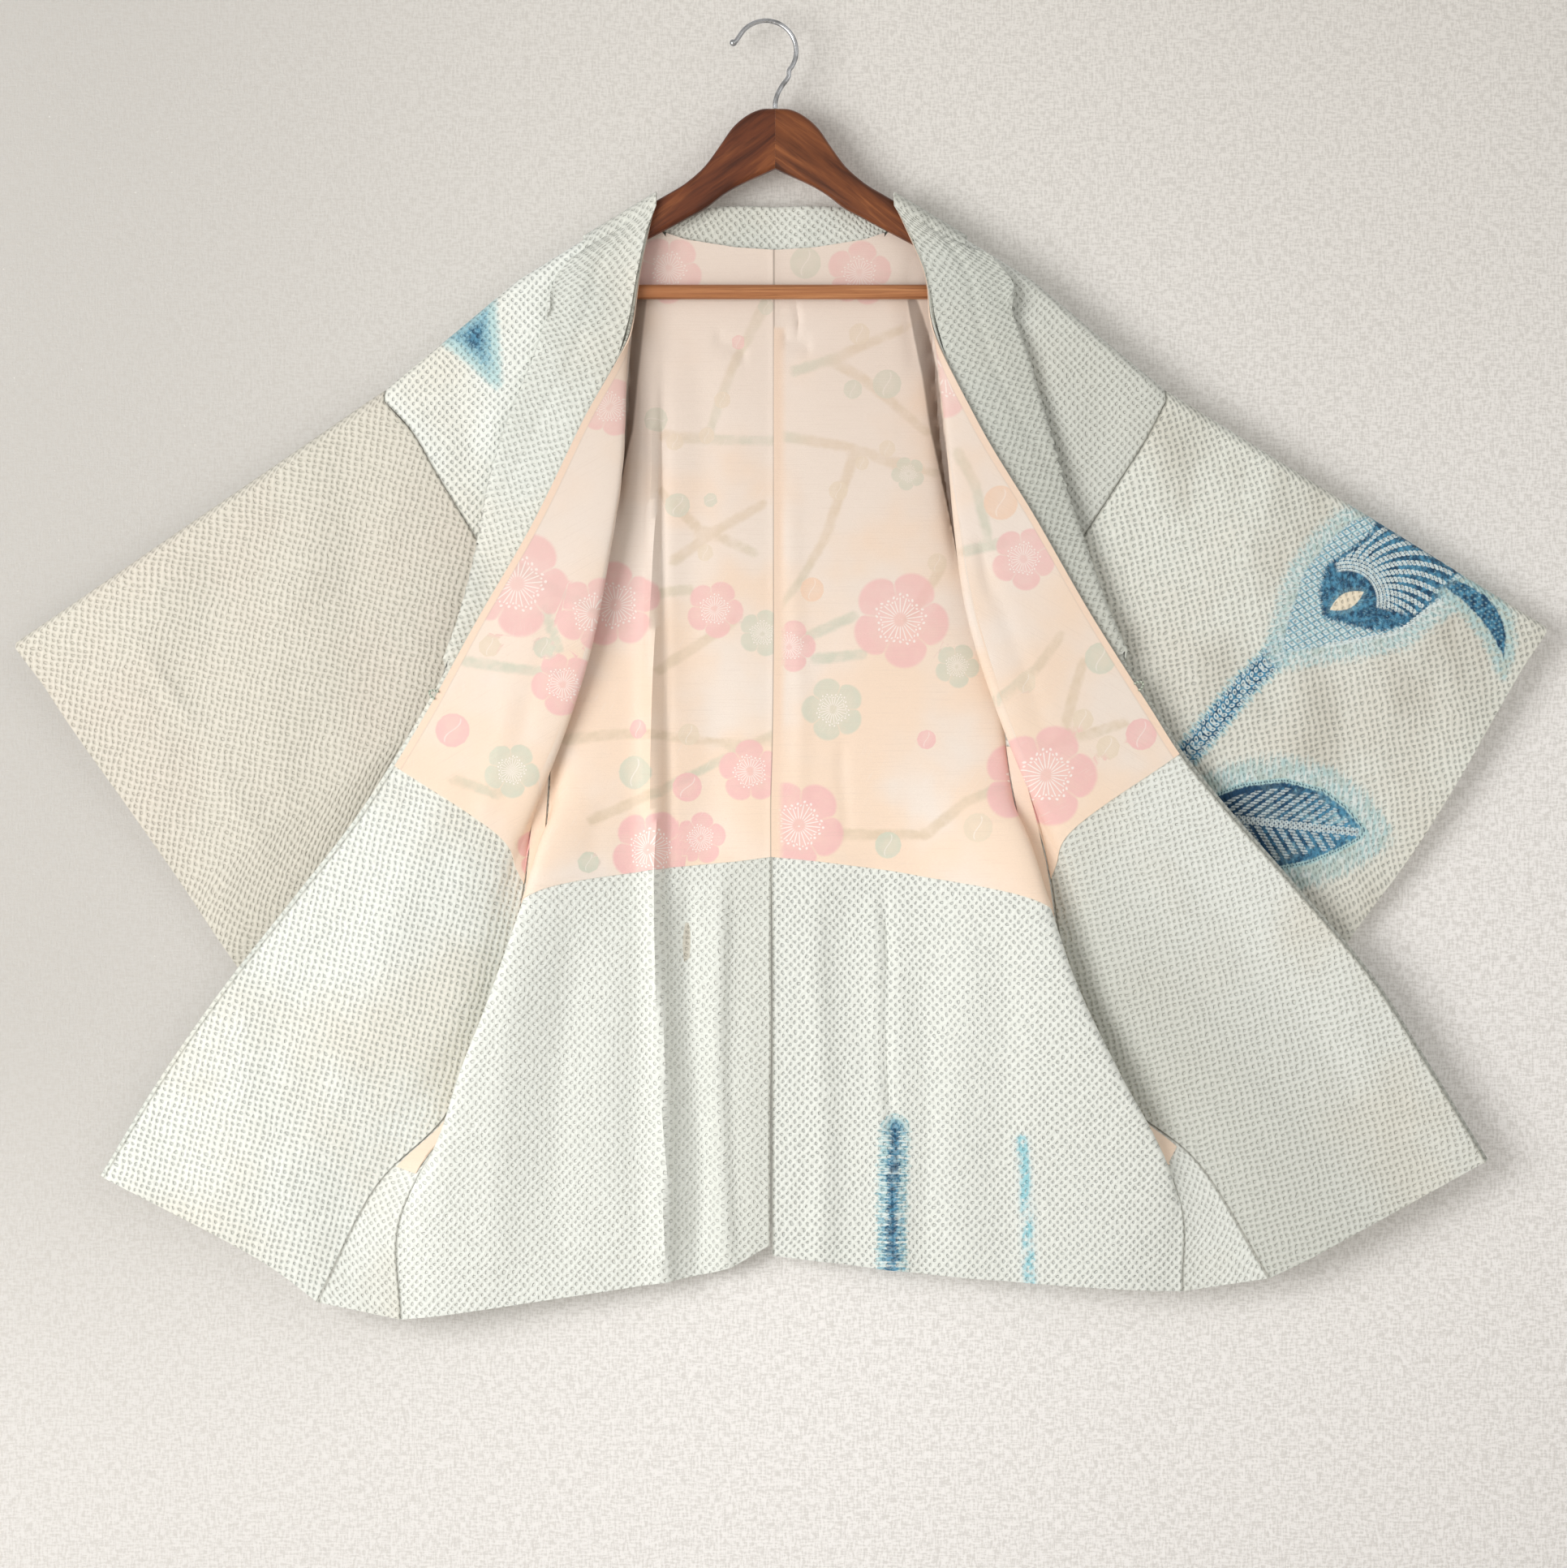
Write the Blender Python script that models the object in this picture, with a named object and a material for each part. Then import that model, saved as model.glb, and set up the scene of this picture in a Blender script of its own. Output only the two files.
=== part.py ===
"""Haori jacket hanging open on a wooden clothes hanger.

The hook's inner crown is the origin. X runs along the shoulders, +Y points away from the viewer and +Z is up.
Each cloth piece is a wall between two offsets of its outer face. An outer face is a grid: sections run across
the piece, and a smooth curve joins the sections from the shoulder down. "Left" and "right" are as seen from
the front. All tables are in millimetres. LEFT and RIGHT pieces share one set of functions, with a sign for
their side.
"""

import math

import bmesh
import bpy
import numpy as np

MM = 0.001
LEFT, RIGHT = "left", "right"
SIGN = {LEFT: -1, RIGHT: 1}

# Cloth, counted inwards from the outer face
CLOTH = 1.5
LINING_NEAR, LINING_FAR = 1.9, 2.9
SEAM_GAP = 0.3
SHARPEST_MITRE = 0.45

# Hanger and shoulders
MIDDLE_X = 7.0
SHOULDER_RADIUS = 9.3
# The shoulder fold. Columns: distance from the middle, height.
SHOULDER = (
    (60.0, -112.0), (91.5, -131.4), (144.0, -163.6), (195.0, -195.0), (250.0, -241.0), (295.5, -278.0),
)
NECK_POINT = 91.5
# The back's neck seam. Columns: distance from the middle, height.
NECK = ((0.0, -171.0), (30.0, -169.0), (68.0, -163.0), (83.0, -158.0))
NECK_DEPTH = 9.5
NECK_ALLOWANCE = 3.0

# A front. Each row is a section at t, from the shoulder (0) to the hem (1), as points (x, y, z).
# Columns: t, collar edge, roll line, middle, side seam.
FRONT = {
    LEFT: (
        (0.05, (-94, -13, -184), (-106, -11.5, -192), (-186, -10, -242), (-270, -9, -307)),
        (0.10, (-102, -16, -229), (-108, -12, -236), (-171, -9, -291), (-249, -7, -342)),
        (0.20, (-139, -20, -305), (-110, -16, -331), (-156, -8, -364), (-210, -5, -406)),
        (0.30, (-176, -21, -381), (-121, -16, -402), (-143, -8, -435), (-171, -1.5, -471)),
        (0.40, (-218, -19, -454), (-139, -15, -482), (-153, -7, -515), (-174, 0.5, -545)),
        (0.50, (-259, -16, -528), (-174, -10, -573), (-179, 0, -600), (-183, 6, -616)),
        (0.55, (-281, -14, -564), (-199, -5, -622), (-192, 3, -640), (-185, 7.5, -654)),
        (0.60, (-304, -12, -599), (-216, -3, -672), (-202, 3.5, -682), (-190, 8, -690)),
        (0.70, (-356, -10, -666), (-238, -3, -745), (-222, 3, -756), (-209, 8, -765)),
        (0.80, (-408, -9, -732), (-283, -5, -808), (-263, 1, -820), (-245, 5, -831)),
        (0.90, (-457, -8, -802), (-341, -9, -860), (-318, -6, -872), (-296, -2, -883)),
        (1.00, (-501, -7, -874), (-392, -12, -930), (-367, -11, -946), (-339, -9, -968)),
    ),
    RIGHT: (
        (0.05, (118, -13, -184), (130, -11.5, -192), (200, -10, -242), (288, -9, -315)),
        (0.10, (126, -16, -226), (131, -12, -234), (185, -9, -291), (269, -7, -345)),
        (0.20, (160, -20, -304), (139, -16, -316), (171, -8, -364), (228, -5, -408)),
        (0.30, (203, -21, -376), (148, -16, -383), (160, -8, -435), (186, -1.5, -471)),
        (0.40, (245, -19, -449), (161, -15, -454), (174, -6.5, -505), (195, 1.5, -545)),
        (0.50, (291, -16, -521), (201, -10, -566), (208, 0, -596), (213, 6, -616)),
        (0.55, (313, -14, -555), (229, -5, -618), (223, 3, -636), (218, 7.5, -650)),
        (0.60, (338, -12, -586), (250, -3, -670), (236, 3.5, -680), (223, 8, -689)),
        (0.70, (397, -10, -653), (268, -3, -740), (252, 3, -750), (240, 8, -757)),
        (0.80, (455, -9, -721), (314, -5, -796), (293, 1, -806), (273, 5, -818)),
        (0.90, (499, -8, -789), (374, -9, -844), (350, -6, -854), (328, -2, -865)),
        (1.00, (544, -7, -862), (436, -12, -921), (409, -11, -936), (380, -9, -950)),
    ),
}
# Where the four lines of a front meet the shoulder fold, as distances from the middle
FRONT_TOP = (91.5, 118.5, 203.0, 295.5)
FRONT_LINING_END = 0.54

# A back. Columns: t, centre seam, inner line, outer line, ridge of the side fold, side seam.
BACK = {
    LEFT: (
        (0.10, (6, 10, -246), (-24, 9, -247), (-81, 9, -252), (-157, 9, -289), (-250, 9, -341)),
        (0.30, (6, 10, -397), (-24, 9, -400), (-84, 8, -413), (-129, 7, -437), (-171, 6.5, -471)),
        (0.40, (6, 10, -474), (-25, 9, -478), (-86, 7, -487), (-137, 4, -505), (-164, 7.5, -545)),
        (0.50, (5, 10, -551), (-26, 9, -555), (-87, 7, -564), (-154, -1, -588), (-165, 6, -616)),
        (0.55, (4, 10, -588), (-27, 9, -593), (-87, 7, -599), (-167, -9, -620), (-166, 6, -654)),
        (0.60, (4, 10, -626), (-28, 9, -630), (-88, 7, -636), (-178, -15, -657), (-170, 6, -690)),
        (0.70, (4, 10, -702), (-28, 9, -707), (-87, 7, -715), (-206, -20, -738), (-190, 6, -765)),
        (0.80, (4, 10, -778), (-29, 9, -783), (-84, 6, -792), (-231, -20, -805), (-224, -1, -833)),
        (0.86, (3, 10, -823), (-30, 8, -829), (-81, 6, -839), (-240, -19, -846), (-254, -8.5, -863)),
        (0.90, (3, 10, -852), (-30, 8, -861), (-79, 6, -871), (-246, -16, -882), (-273, -10, -898)),
        (1.00, (3, 9, -927), (-30, 7, -945), (-76, 5, -954), (-247, -11, -978), (-276, -9, -981)),
    ),
    RIGHT: (
        (0.10, (6, 10, -246), (38, 9, -247), (96, 9, -252), (180, 9, -289), (270, 9, -343)),
        (0.30, (6, 10, -397), (39, 9, -400), (99, 8, -411), (152, 7, -434), (186, 6.5, -471)),
        (0.40, (6, 10, -474), (41, 9, -478), (102, 7, -488), (168, 5, -505), (181, 7.5, -545)),
        (0.50, (5, 10, -551), (43, 9, -555), (105, 7, -564), (179, 1, -582), (191, 6.5, -616)),
        (0.55, (4, 10, -588), (44, 9, -593), (107, 7, -601), (195, -8, -618), (197, 6, -652)),
        (0.60, (4, 10, -626), (44, 9, -630), (110, 7, -639), (210, -15, -664), (204, 6, -690)),
        (0.70, (5, 10, -702), (46, 9, -707), (116, 7, -718), (232, -20, -729), (222, 6, -760)),
        (0.80, (5, 10, -779), (47, 9, -784), (121, 6, -796), (266, -20, -799), (257, 0, -830)),
        (0.86, (5, 10, -825), (48, 8, -830), (123, 6, -843), (285, -18, -836), (294, -9, -861)),
        (0.90, (5, 10, -857), (48, 8, -861), (125, 6, -875), (295, -15, -864), (310, -9, -889)),
        (1.00, (5, 9, -935), (48, 7, -940), (127, 5, -949), (261, -8, -958), (315, -5, -960)),
    ),
}
CENTRE_TOP_X = 6.0
BACK_NECK_LINE = 2.0
BACK_LINING_END = 0.60
UNDERARM = 0.30
GUSSET_TOP_CLEAR = 0.08
# The gusset's lining: t of its lower end, cells left out, t of its upper end, share drawn in at the seams.
GUSSET_LINING = (0.885, (), 0.60, 0.2)

# The largest folds in the backs, as soft ridges (or troughs, below zero) on the face that the viewer sees.
# Columns: x and z of the upper end, x and z of the lower end, half width, height.
BACK_FOLDS = (
    (-88, -300, -80, -1000, 11, 6.0),
    (-44, -380, -40, -1000, 20, -3.0),
    (-140, -640, -190, -1000, 22, -2.5),
    (88, -640, 97, -1000, 9, 3.5),
    (46, -600, 66, -1000, 16, -2.0),
)

# Share of a fold's length over which it grows, then the flat zones at the centre seam (mm) and the ridge (u).
FOLD_GROWTH, SEAM_FLAT, RIDGE_FLAT = 0.35, 25.0, 0.6

# A sleeve below the underarm, where its two layers pass behind the body, and its outer edge.
# Columns: v, inner edge (x, y, z), half the distance between the outer faces there, and the same two for the
# outer edge.
SLEEVE = {
    LEFT: (
        (0.00, None, None, (-569, 6, -469), 5.0),
        (0.10, None, None, (-527, 7, -534), 4.6),
        (0.20, None, None, (-484, 8.5, -595), 4.0),
        (0.30, None, None, (-440, 10.5, -659), 2.4),
        (0.34, (-176, 15, -498), 3.8, (-423, 11, -685), 1.75),
        (0.50, (-131, 15, -550), 3.8, (-391, 12, -731), 1.75),
        (0.75, (-72, 15, -614), 3.2, (-342, 12.5, -801), 1.75),
        (1.00, (-13, 15, -678), 1.75, (-293, 13, -871), 1.75),
    ),
    RIGHT: (
        (0.00, None, None, (592, 6, -457), 5.0),
        (0.10, None, None, (555, 7, -522), 4.6),
        (0.20, None, None, (518, 8.5, -587), 4.0),
        (0.30, None, None, (479, 10.5, -647), 2.4),
        (0.34, (191, 15, -498), 3.8, (458, 11, -675), 1.75),
        (0.50, (150, 15, -555), 3.8, (430, 12, -721), 1.75),
        (0.75, (101, 15, -624), 3.2, (381, 12.5, -795), 1.75),
        (1.00, (51, 15, -692), 1.75, (332, 13, -869), 1.75),
    ),
}
SLEEVE_FULLNESS = 1.2

# The collar's folded outer edge where it lies open over a front. Columns: t of the front's edge, (x, y, z).
COLLAR_WIDTH = 63.0
COLLAR_HALF = 1.1
COLLAR_FOLD = 1.35
PIPING = 3.0
COLLAR_OPEN = {
    LEFT: (
        (0.018, (-139, -11.6, -171)),
        (0.05, (-153, -13.8, -195)),
        (0.10, (-161, -15, -219)),
        (0.15, (-170, -15, -245)),
        (0.20, (-183, -15, -279)),
        (0.25, (-198, -16, -317)),
        (0.30, (-210, -17, -359)),
        (0.35, (-218, -18, -404)),
        (0.40, (-229, -18, -448)),
        (0.45, (-243, -17.5, -488)),
    ),
    RIGHT: (
        (0.018, (152, -11.6, -164)),
        (0.05, (169, -13.8, -191)),
        (0.10, (182, -16, -219)),
        (0.15, (195, -18, -251)),
        (0.20, (205, -18, -285)),
        (0.25, (216, -18, -321)),
        (0.30, (228, -18, -362)),
        (0.35, (241, -18, -401)),
        (0.40, (256, -18, -443)),
        (0.45, (273, -17.5, -482)),
    ),
}
# The collar starts this far inside a front's edge, and lies this far above it, on its middle surface.
COLLAR_OVERLAP = 2.0
LIFT = 0.5 + COLLAR_HALF
# The collar's outer edge starts to fold under at this t, and is folded flat after the growth.
COLLAR_FOLD_START, COLLAR_FOLD_GROWTH = 0.06, 0.08
LEAST_BEND, LEAST_LEAF, INNER_LEAF_FOLDED = 0.03, 1.5, 6.0
# How far the open collar reaches down the shoulder's slope, and the angle of its first section over the top.
SHOULDER_RUN, COLLAR_TOP_ANGLE = 0.85, 4.0
COLLAR_SHARES = (0.0, 0.307, 0.613, 0.92, 0.94, 0.955, 0.97, 0.985, 1.0)
# The collar round the neck. Columns: distance from the middle, y, z of its seam, height of the inner leaf,
# direction of the outer leaf (x, z) on the left side.
COLLAR_NECK = (
    (91.5, 0.0, -131.4, 0.0, (-0.853, -0.522)),
    (91.5, 4.65, -132.6, 0.0, (-0.853, -0.522)),
    (91.5, 8.05, -136.0, 0.0, (-0.853, -0.522)),
    (91.3, 9.3, -140.7, 1.5, (-0.83, -0.56)),
    (88.5, 9.5, -150.0, 7.0, (-0.72, -0.69)),
    (81.0, 9.5, -158.7, 14.0, (-0.52, -0.85)),
    (60.0, 9.5, -164.5, 24.0, (-0.22, -0.975)),
    (30.0, 9.5, -169.0, 30.0, (-0.06, -0.998)),
    (0.0, 9.5, -171.0, 31.0, (0.0, -1.0)),
)

# A tie loop: half its length, its reach past the edge, its cord's radius, and t of its middle.
LOOP_HALF, LOOP_REACH, LOOP_CORD = 3.0, 6.0, 0.9
LOOP_T = 0.475
LOOP_SUNK = 1.0

# Hanger
HOOK_RADIUS, HOOK_WIRE = 23.0, 1.8
# The hook's wire from its tip to the wood, as (x, z); the crown between them is an arc.
HOOK_CENTRE_Z = -HOOK_RADIUS - HOOK_WIRE
HOOK_ARC, HOOK_KNOTS, HOOK_STEPS = (172.0, -40.0), 22, 46
HOOK_TIP = ((-27.0, -18.5), (-23.6, -18.0))
HOOK_STEM = ((17.0, -41.0), (12.0, -48.0), (8.6, -54.5), (7.2, -60.0), (7.0, -64.5))
# Columns: distance from the middle, height.
WOOD_UPPER = (
    (0.3, -65.0), (11, -65.5), (22, -70.5), (33, -80.3), (42, -93.2), (52, -107.0), (66, -120.0),
    (83, -130.6), (91.5, -135.5), (136, -162.8), (198, -202.6),
)
WOOD_LOWER = (
    (0.3, -110.6), (39, -130.0), (52, -139.8), (68, -148.7), (102, -166.6), (149, -193.4), (198, -220.6),
)
# The wood's section at each station. Columns: depth, height above an edge, which edge (0 upper, 1 lower).
WOOD_STATIONS = (0.3, 6, 11, 16, 22, 28, 33, 42, 52, 60, 67, 76, 84, 91.5, 103, 120, 137, 160, 180, 198)
WOOD_SECTION = (
    (0.0, 0.0, 0), (4.2, -1.8, 0), (6.0, -6.0, 0), (6.0, 3.0, 1), (3.6, 0.0, 1),
    (-3.6, 0.0, 1), (-6.0, 3.0, 1), (-6.0, -6.0, 0), (-4.2, -1.8, 0),
)
BAR_RADIUS, BAR_Z, BAR_END = 5.5, -203.8, 182.0
BAR_SEAT_DEPTH = 60.0
ROUND_SIDES = 24

# Where the surfaces are sampled. T runs from the shoulder (0) to the hem (1), U across a panel from its first
# guide line, S along a sleeve from the armhole to the cuff, and V down a sleeve.
ARC_T = 0.018
ARC_STEPS = 4
ARC_ROWS = tuple(np.linspace(0.0, ARC_T, ARC_STEPS))
FRONT_U = (0, 0.12, 0.3, 0.55, 0.8, 0.92, 1, 1.08, 1.2, 1.5, 2, 2.5, 3)
BACK_U = (0, 0.3, 0.7, 1, 1.4, 1.8, 2, 2.12, 2.25, 2.5, 2.75, 2.9, 3, 3.1, 3.25, 3.55, 4)
UPPER_T = (*ARC_ROWS, 0.05, 0.09, 0.13, 0.17, 0.24)
SIDE_T = (0.30, 0.36, 0.42, 0.48, 0.51, 0.54, 0.545, 0.60, 0.605, 0.66, 0.73, 0.79, 0.82, 0.85, 0.885, 0.89,
          1.0)
PANEL_T = (*UPPER_T, *SIDE_T)
SLEEVE_S = (0, 0.06, 0.15, 0.3, 0.5, 0.7, 0.88, 1.0)
SLEEVE_V = (0.05, 0.09, 0.13, 0.17, 0.24, 0.30, 0.32, 0.34, 0.42, 0.5, 0.65, 0.82, 1.0)
COLLAR_T = (0.03, 0.05, 0.075, 0.1, 0.13, 0.16, 0.2, 0.25, 0.3, 0.35, 0.4, 0.45, 0.5, 0.55, 0.6, 0.66, 0.72,
            0.79, 0.86, 0.93, 1.0)
COLLAR_NECK_AT = (*range(5), 4.5, 5, 5.5, 6, 7, 8)
T_STEP = 0.01
CREASE_ANGLE = 40.0

COLOURS = {
    "silk": ((0.74, 0.78, 0.71), 0.75, 0.0),
    "lining": ((0.92, 0.72, 0.58), 0.45, 0.0),
    "cord": ((0.80, 0.72, 0.62), 0.7, 0.0),
    "wood": ((0.24, 0.08, 0.03), 0.4, 0.0),
    "steel": ((0.55, 0.55, 0.55), 0.3, 1.0),
}


def material(name):
    """A Principled material for one of the COLOURS."""
    made = bpy.data.materials.get(name)
    if made is None:
        made = bpy.data.materials.new(name)
        made.use_nodes = True
        colour, roughness, metallic = COLOURS[name]
        shader = made.node_tree.nodes["Principled BSDF"]
        shader.inputs["Base Color"].default_value = (*colour, 1.0)
        shader.inputs["Roughness"].default_value = roughness
        shader.inputs["Metallic"].default_value = metallic
    return made


def curve_through(knots, points, at):
    """Points at the values `at` on the smooth curve that passes through `points` at `knots`."""
    knots, points, at = (np.asarray(v, float) for v in (knots, points, at))
    flat = points.reshape(len(knots), -1)
    step = np.diff(knots)[:, None]
    slope = np.diff(flat, axis=0) / step
    tangent = np.empty_like(flat)
    tangent[0], tangent[-1] = slope[0], slope[-1]
    if len(knots) > 2:
        tangent[1:-1] = (slope[:-1] * step[1:] + slope[1:] * step[:-1]) / (step[1:] + step[:-1])
    i = np.clip(np.searchsorted(knots, at, side="right") - 1, 0, len(knots) - 2)
    h = step[i]
    s = ((at - knots[i]) / h[:, 0])[:, None]
    value = (
        flat[i] * (1 + 2 * s) * (1 - s) ** 2
        + tangent[i] * h * s * (1 - s) ** 2
        + flat[i + 1] * s**2 * (3 - 2 * s)
        + tangent[i + 1] * h * s**2 * (s - 1)
    )
    return value.reshape((len(at),) + points.shape[1:])


def shoulder_height(distance):
    """Height of the shoulder fold at a distance from the middle."""
    return np.interp(distance, *zip(*SHOULDER))


def shoulder_rows(side, distances, y_sign, steps):
    """The outer face over the shoulder, from its top towards the front (y_sign -1) or the back (+1)."""
    distances = np.asarray(distances, float)
    x = MIDDLE_X + SIGN[side] * distances
    z = shoulder_height(distances)
    first = SEAM_GAP / 2 / SHOULDER_RADIUS
    rows = []
    for angle in np.linspace(first, math.pi / 2, steps):
        y = np.full_like(x, y_sign * SHOULDER_RADIUS * math.sin(angle))
        rows.append(np.stack([x, y, z - SHOULDER_RADIUS * (1 - math.cos(angle))], axis=1))
    return np.array(rows)


def across(table, u):
    """Every section of a table at the guide positions u: an array of (section, u, xyz)."""
    sections = []
    for _, *points in table:
        lengths = np.linalg.norm(np.diff(points, axis=0), axis=1)
        knots = np.concatenate([[0], np.cumsum(np.sqrt(lengths))])
        sections.append(curve_through(knots, points, np.interp(u, range(len(points)), knots)))
    return np.array(sections)


def panel(table, top, over_shoulder, side, y_sign, u, t):
    """The outer face of a front or back on the grid (t, u).

    `top` gives each column's upper end. Columns marked in `over_shoulder` start on the shoulder fold and bend
    down over it; the others start at the neck seam.
    """
    sections = across(table, u)
    knots = [row[0] for row in table]
    t = np.asarray(t, float)
    face = np.empty((len(t), len(u), 3))
    distances = np.abs(top[:, 0] - MIDDLE_X)
    arc = shoulder_rows(side, distances, y_sign, ARC_STEPS)
    for k in range(len(u)):
        first = arc[-1, k] if over_shoulder[k] else top[k] - (0, 0, NECK_ALLOWANCE)
        column = curve_through([ARC_T] + knots, [first] + list(sections[:, k]), np.maximum(t, ARC_T))
        upper = np.flatnonzero(t < ARC_T)
        if over_shoulder[k]:
            column[upper] = curve_through(ARC_ROWS, arc[:, k], t[upper])
        else:
            column[upper, 2] += NECK_ALLOWANCE * (1 - t[upper] / ARC_T)
        face[:, k] = column
    return face


def front_face(side, u, t):
    """The outer face of a front; u runs from the collar edge (0) to the side seam (3)."""
    distance = curve_through(range(4), np.array(FRONT_TOP)[:, None], u)[:, 0]
    x = MIDDLE_X + SIGN[side] * distance
    top = np.stack([x, np.zeros_like(x), shoulder_height(distance)], axis=1)
    return panel(FRONT[side], top, np.ones(len(u), bool), side, -1, u, t)


def back_top(side, u):
    """The upper end of each column of a back, and whether it starts on the shoulder fold."""
    u = np.asarray(u, float)
    neck = u <= BACK_NECK_LINE
    neck_x = np.interp(u, (0, 1, BACK_NECK_LINE), (MIDDLE_X - CENTRE_TOP_X, NECK[1][0], NECK[-1][0]))
    shoulder_x = np.interp(u, (BACK_NECK_LINE, 3, 4), (NECK_POINT, SHOULDER[3][0], SHOULDER[-1][0]))
    distance = np.where(neck, neck_x, shoulder_x)
    x = MIDDLE_X + SIGN[side] * distance
    x[u == 0] = CENTRE_TOP_X
    z = np.where(neck, np.interp(neck_x, *zip(*NECK)), shoulder_height(shoulder_x))
    return np.stack([x, np.where(neck, NECK_DEPTH, 0.0), z], axis=1), ~neck


def fold_height(x, z):
    """How far the folds of the backs stand towards the viewer at a place."""
    height = np.zeros_like(x)
    for x0, z0, x1, z1, half_width, most in BACK_FOLDS:
        along = (z - z0) / (z1 - z0)
        middle = x0 + (x1 - x0) * along
        grow = np.clip(along / FOLD_GROWTH, 0, 1)
        height += most * grow**2 * (3 - 2 * grow) * np.exp(-(((x - middle) / half_width) ** 2))
    return height


def back_face(side, u, t):
    """The outer face of a back; u runs from the centre seam (0) to the side seam (4)."""
    top, over_shoulder = back_top(side, u)
    face = panel(BACK[side], top, over_shoulder, side, 1, u, t)
    keep_seam = np.clip(np.abs(face[..., 0] - MIDDLE_X) / SEAM_FLAT, 0, 1)
    keep_seam = keep_seam * np.clip((3.0 - np.asarray(u)) / RIDGE_FLAT, 0, 1)
    face[..., 1] -= fold_height(face[..., 0], face[..., 2]) * keep_seam
    return face


def normals(face, outward):
    """Unit normals at the points of a grid: the mean of the cells round each point. `outward` is +1 or -1."""
    cells = np.cross(face[1:, 1:] - face[:-1, :-1], face[1:, :-1] - face[:-1, 1:]) * outward
    cells /= np.linalg.norm(cells, axis=-1, keepdims=True)
    n = np.zeros_like(face)
    for corner in (n[:-1, :-1], n[:-1, 1:], n[1:, :-1], n[1:, 1:]):
        corner += cells
    return n / np.linalg.norm(n, axis=-1, keepdims=True)


def inset(face, first=SEAM_GAP / 2, last=SEAM_GAP / 2):
    """The same grid with its first and last columns drawn in for the seams."""
    face = face.copy()
    for column, neighbour, gap in ((0, 1, first), (-1, -2, last)):
        step = face[:, neighbour] - face[:, column]
        face[:, column] += step * gap / np.linalg.norm(step, axis=1, keepdims=True)
    return face


def make_object(name, verts, faces, slot):
    """A closed mesh object, with its faces turned outwards."""
    mesh = bpy.data.meshes.new(name)
    mesh.from_pydata([tuple(float(c) for c in v) for v in np.asarray(verts) * MM], [], faces)
    work = bmesh.new()
    work.from_mesh(mesh)
    bmesh.ops.recalc_face_normals(work, faces=work.faces)
    work.to_mesh(mesh)
    work.free()
    mesh.shade_smooth()
    mesh.set_sharp_from_angle(angle=math.radians(CREASE_ANGLE))
    mesh.materials.append(material(slot))
    item = bpy.data.objects.new(name, mesh)
    PARTS.objects.link(item)
    return item


def diagonals(grid):
    """For each cell of a grid, whether its flatter split runs from its first corner to its third."""
    a, b, c, d = grid[:-1, :-1], grid[:-1, 1:], grid[1:, 1:], grid[1:, :-1]
    return np.linalg.norm(c - a, axis=-1) <= np.linalg.norm(d - b, axis=-1)


def wall(name, near, far, slot, split=None, left_out=()):
    """A closed wall between two grids of points of the same size, without the cells (row, column) `left_out`.

    `split` is the answer of diagonals(); layers that share it nest.
    """
    rows, columns = near.shape[:2]
    split = diagonals(near) if split is None else split
    verts = np.concatenate([near.reshape(-1, 3), far.reshape(-1, 3)])
    half = rows * columns
    faces, edges = [], set()
    for j in range(rows - 1):
        for k in range(columns - 1):
            if (j, k) in left_out:
                continue
            a, b, c, d = (v + j * columns + k for v in (0, 1, columns + 1, columns))
            pair = ((a, b, c), (a, c, d)) if split[j, k] else ((a, b, d), (b, c, d))
            faces += pair
            faces += [tuple(half + v for v in face) for face in pair]
            edges ^= {frozenset(edge) for edge in ((a, b), (b, c), (c, d), (d, a))}
    for edge in sorted(sorted(edge) for edge in edges):
        low, high = edge
        faces += [(low, high, half + high), (low, half + high, half + low)]
    used = sorted({v for face in faces for v in face})
    number = {v: k for k, v in enumerate(used)}
    return make_object(name, verts[used], [tuple(number[v] for v in face) for face in faces], slot)


def seam_mitre(a, b):
    """The inward direction shared by two walls at their seam, from their unit normals."""
    lean = np.maximum(1 + (a * b).sum(axis=-1, keepdims=True), SHARPEST_MITRE)
    return (a + b) / lean


def lined_panel(name, face, n, t, lining_end, left_out=(), lining_start=0.0, clear=0.0):
    """The cloth of a panel, with its turned-up hem, and the lining inside it down to where the hem begins.

    `clear` draws the lining in from the side seams by that share of its outer cells.
    """
    t = np.asarray(t)
    depth = np.where(t <= lining_end, CLOTH, LINING_FAR)[:, None, None]
    split = diagonals(face)
    wall(name, face, face - n * depth, "silk", split, left_out)
    lined = (t >= lining_start) & (t <= lining_end)
    face, n, split = face[lined], n[lined], split[lined[:-1]]
    for column, neighbour in ((0, 1), (-1, -2)):
        face[:, column] += (face[:, neighbour] - face[:, column]) * clear
        n[:, column] += (n[:, neighbour] - n[:, column]) * clear
    wall(f"lining_{name}", face - n * LINING_NEAR, face - n * LINING_FAR, "lining", split, left_out)


def level(n):
    """Takes the depth out of the directions along a shoulder fold, so front and back stay apart there."""
    n[:, 1] = 0
    n /= np.linalg.norm(n, axis=-1, keepdims=True)


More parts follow.
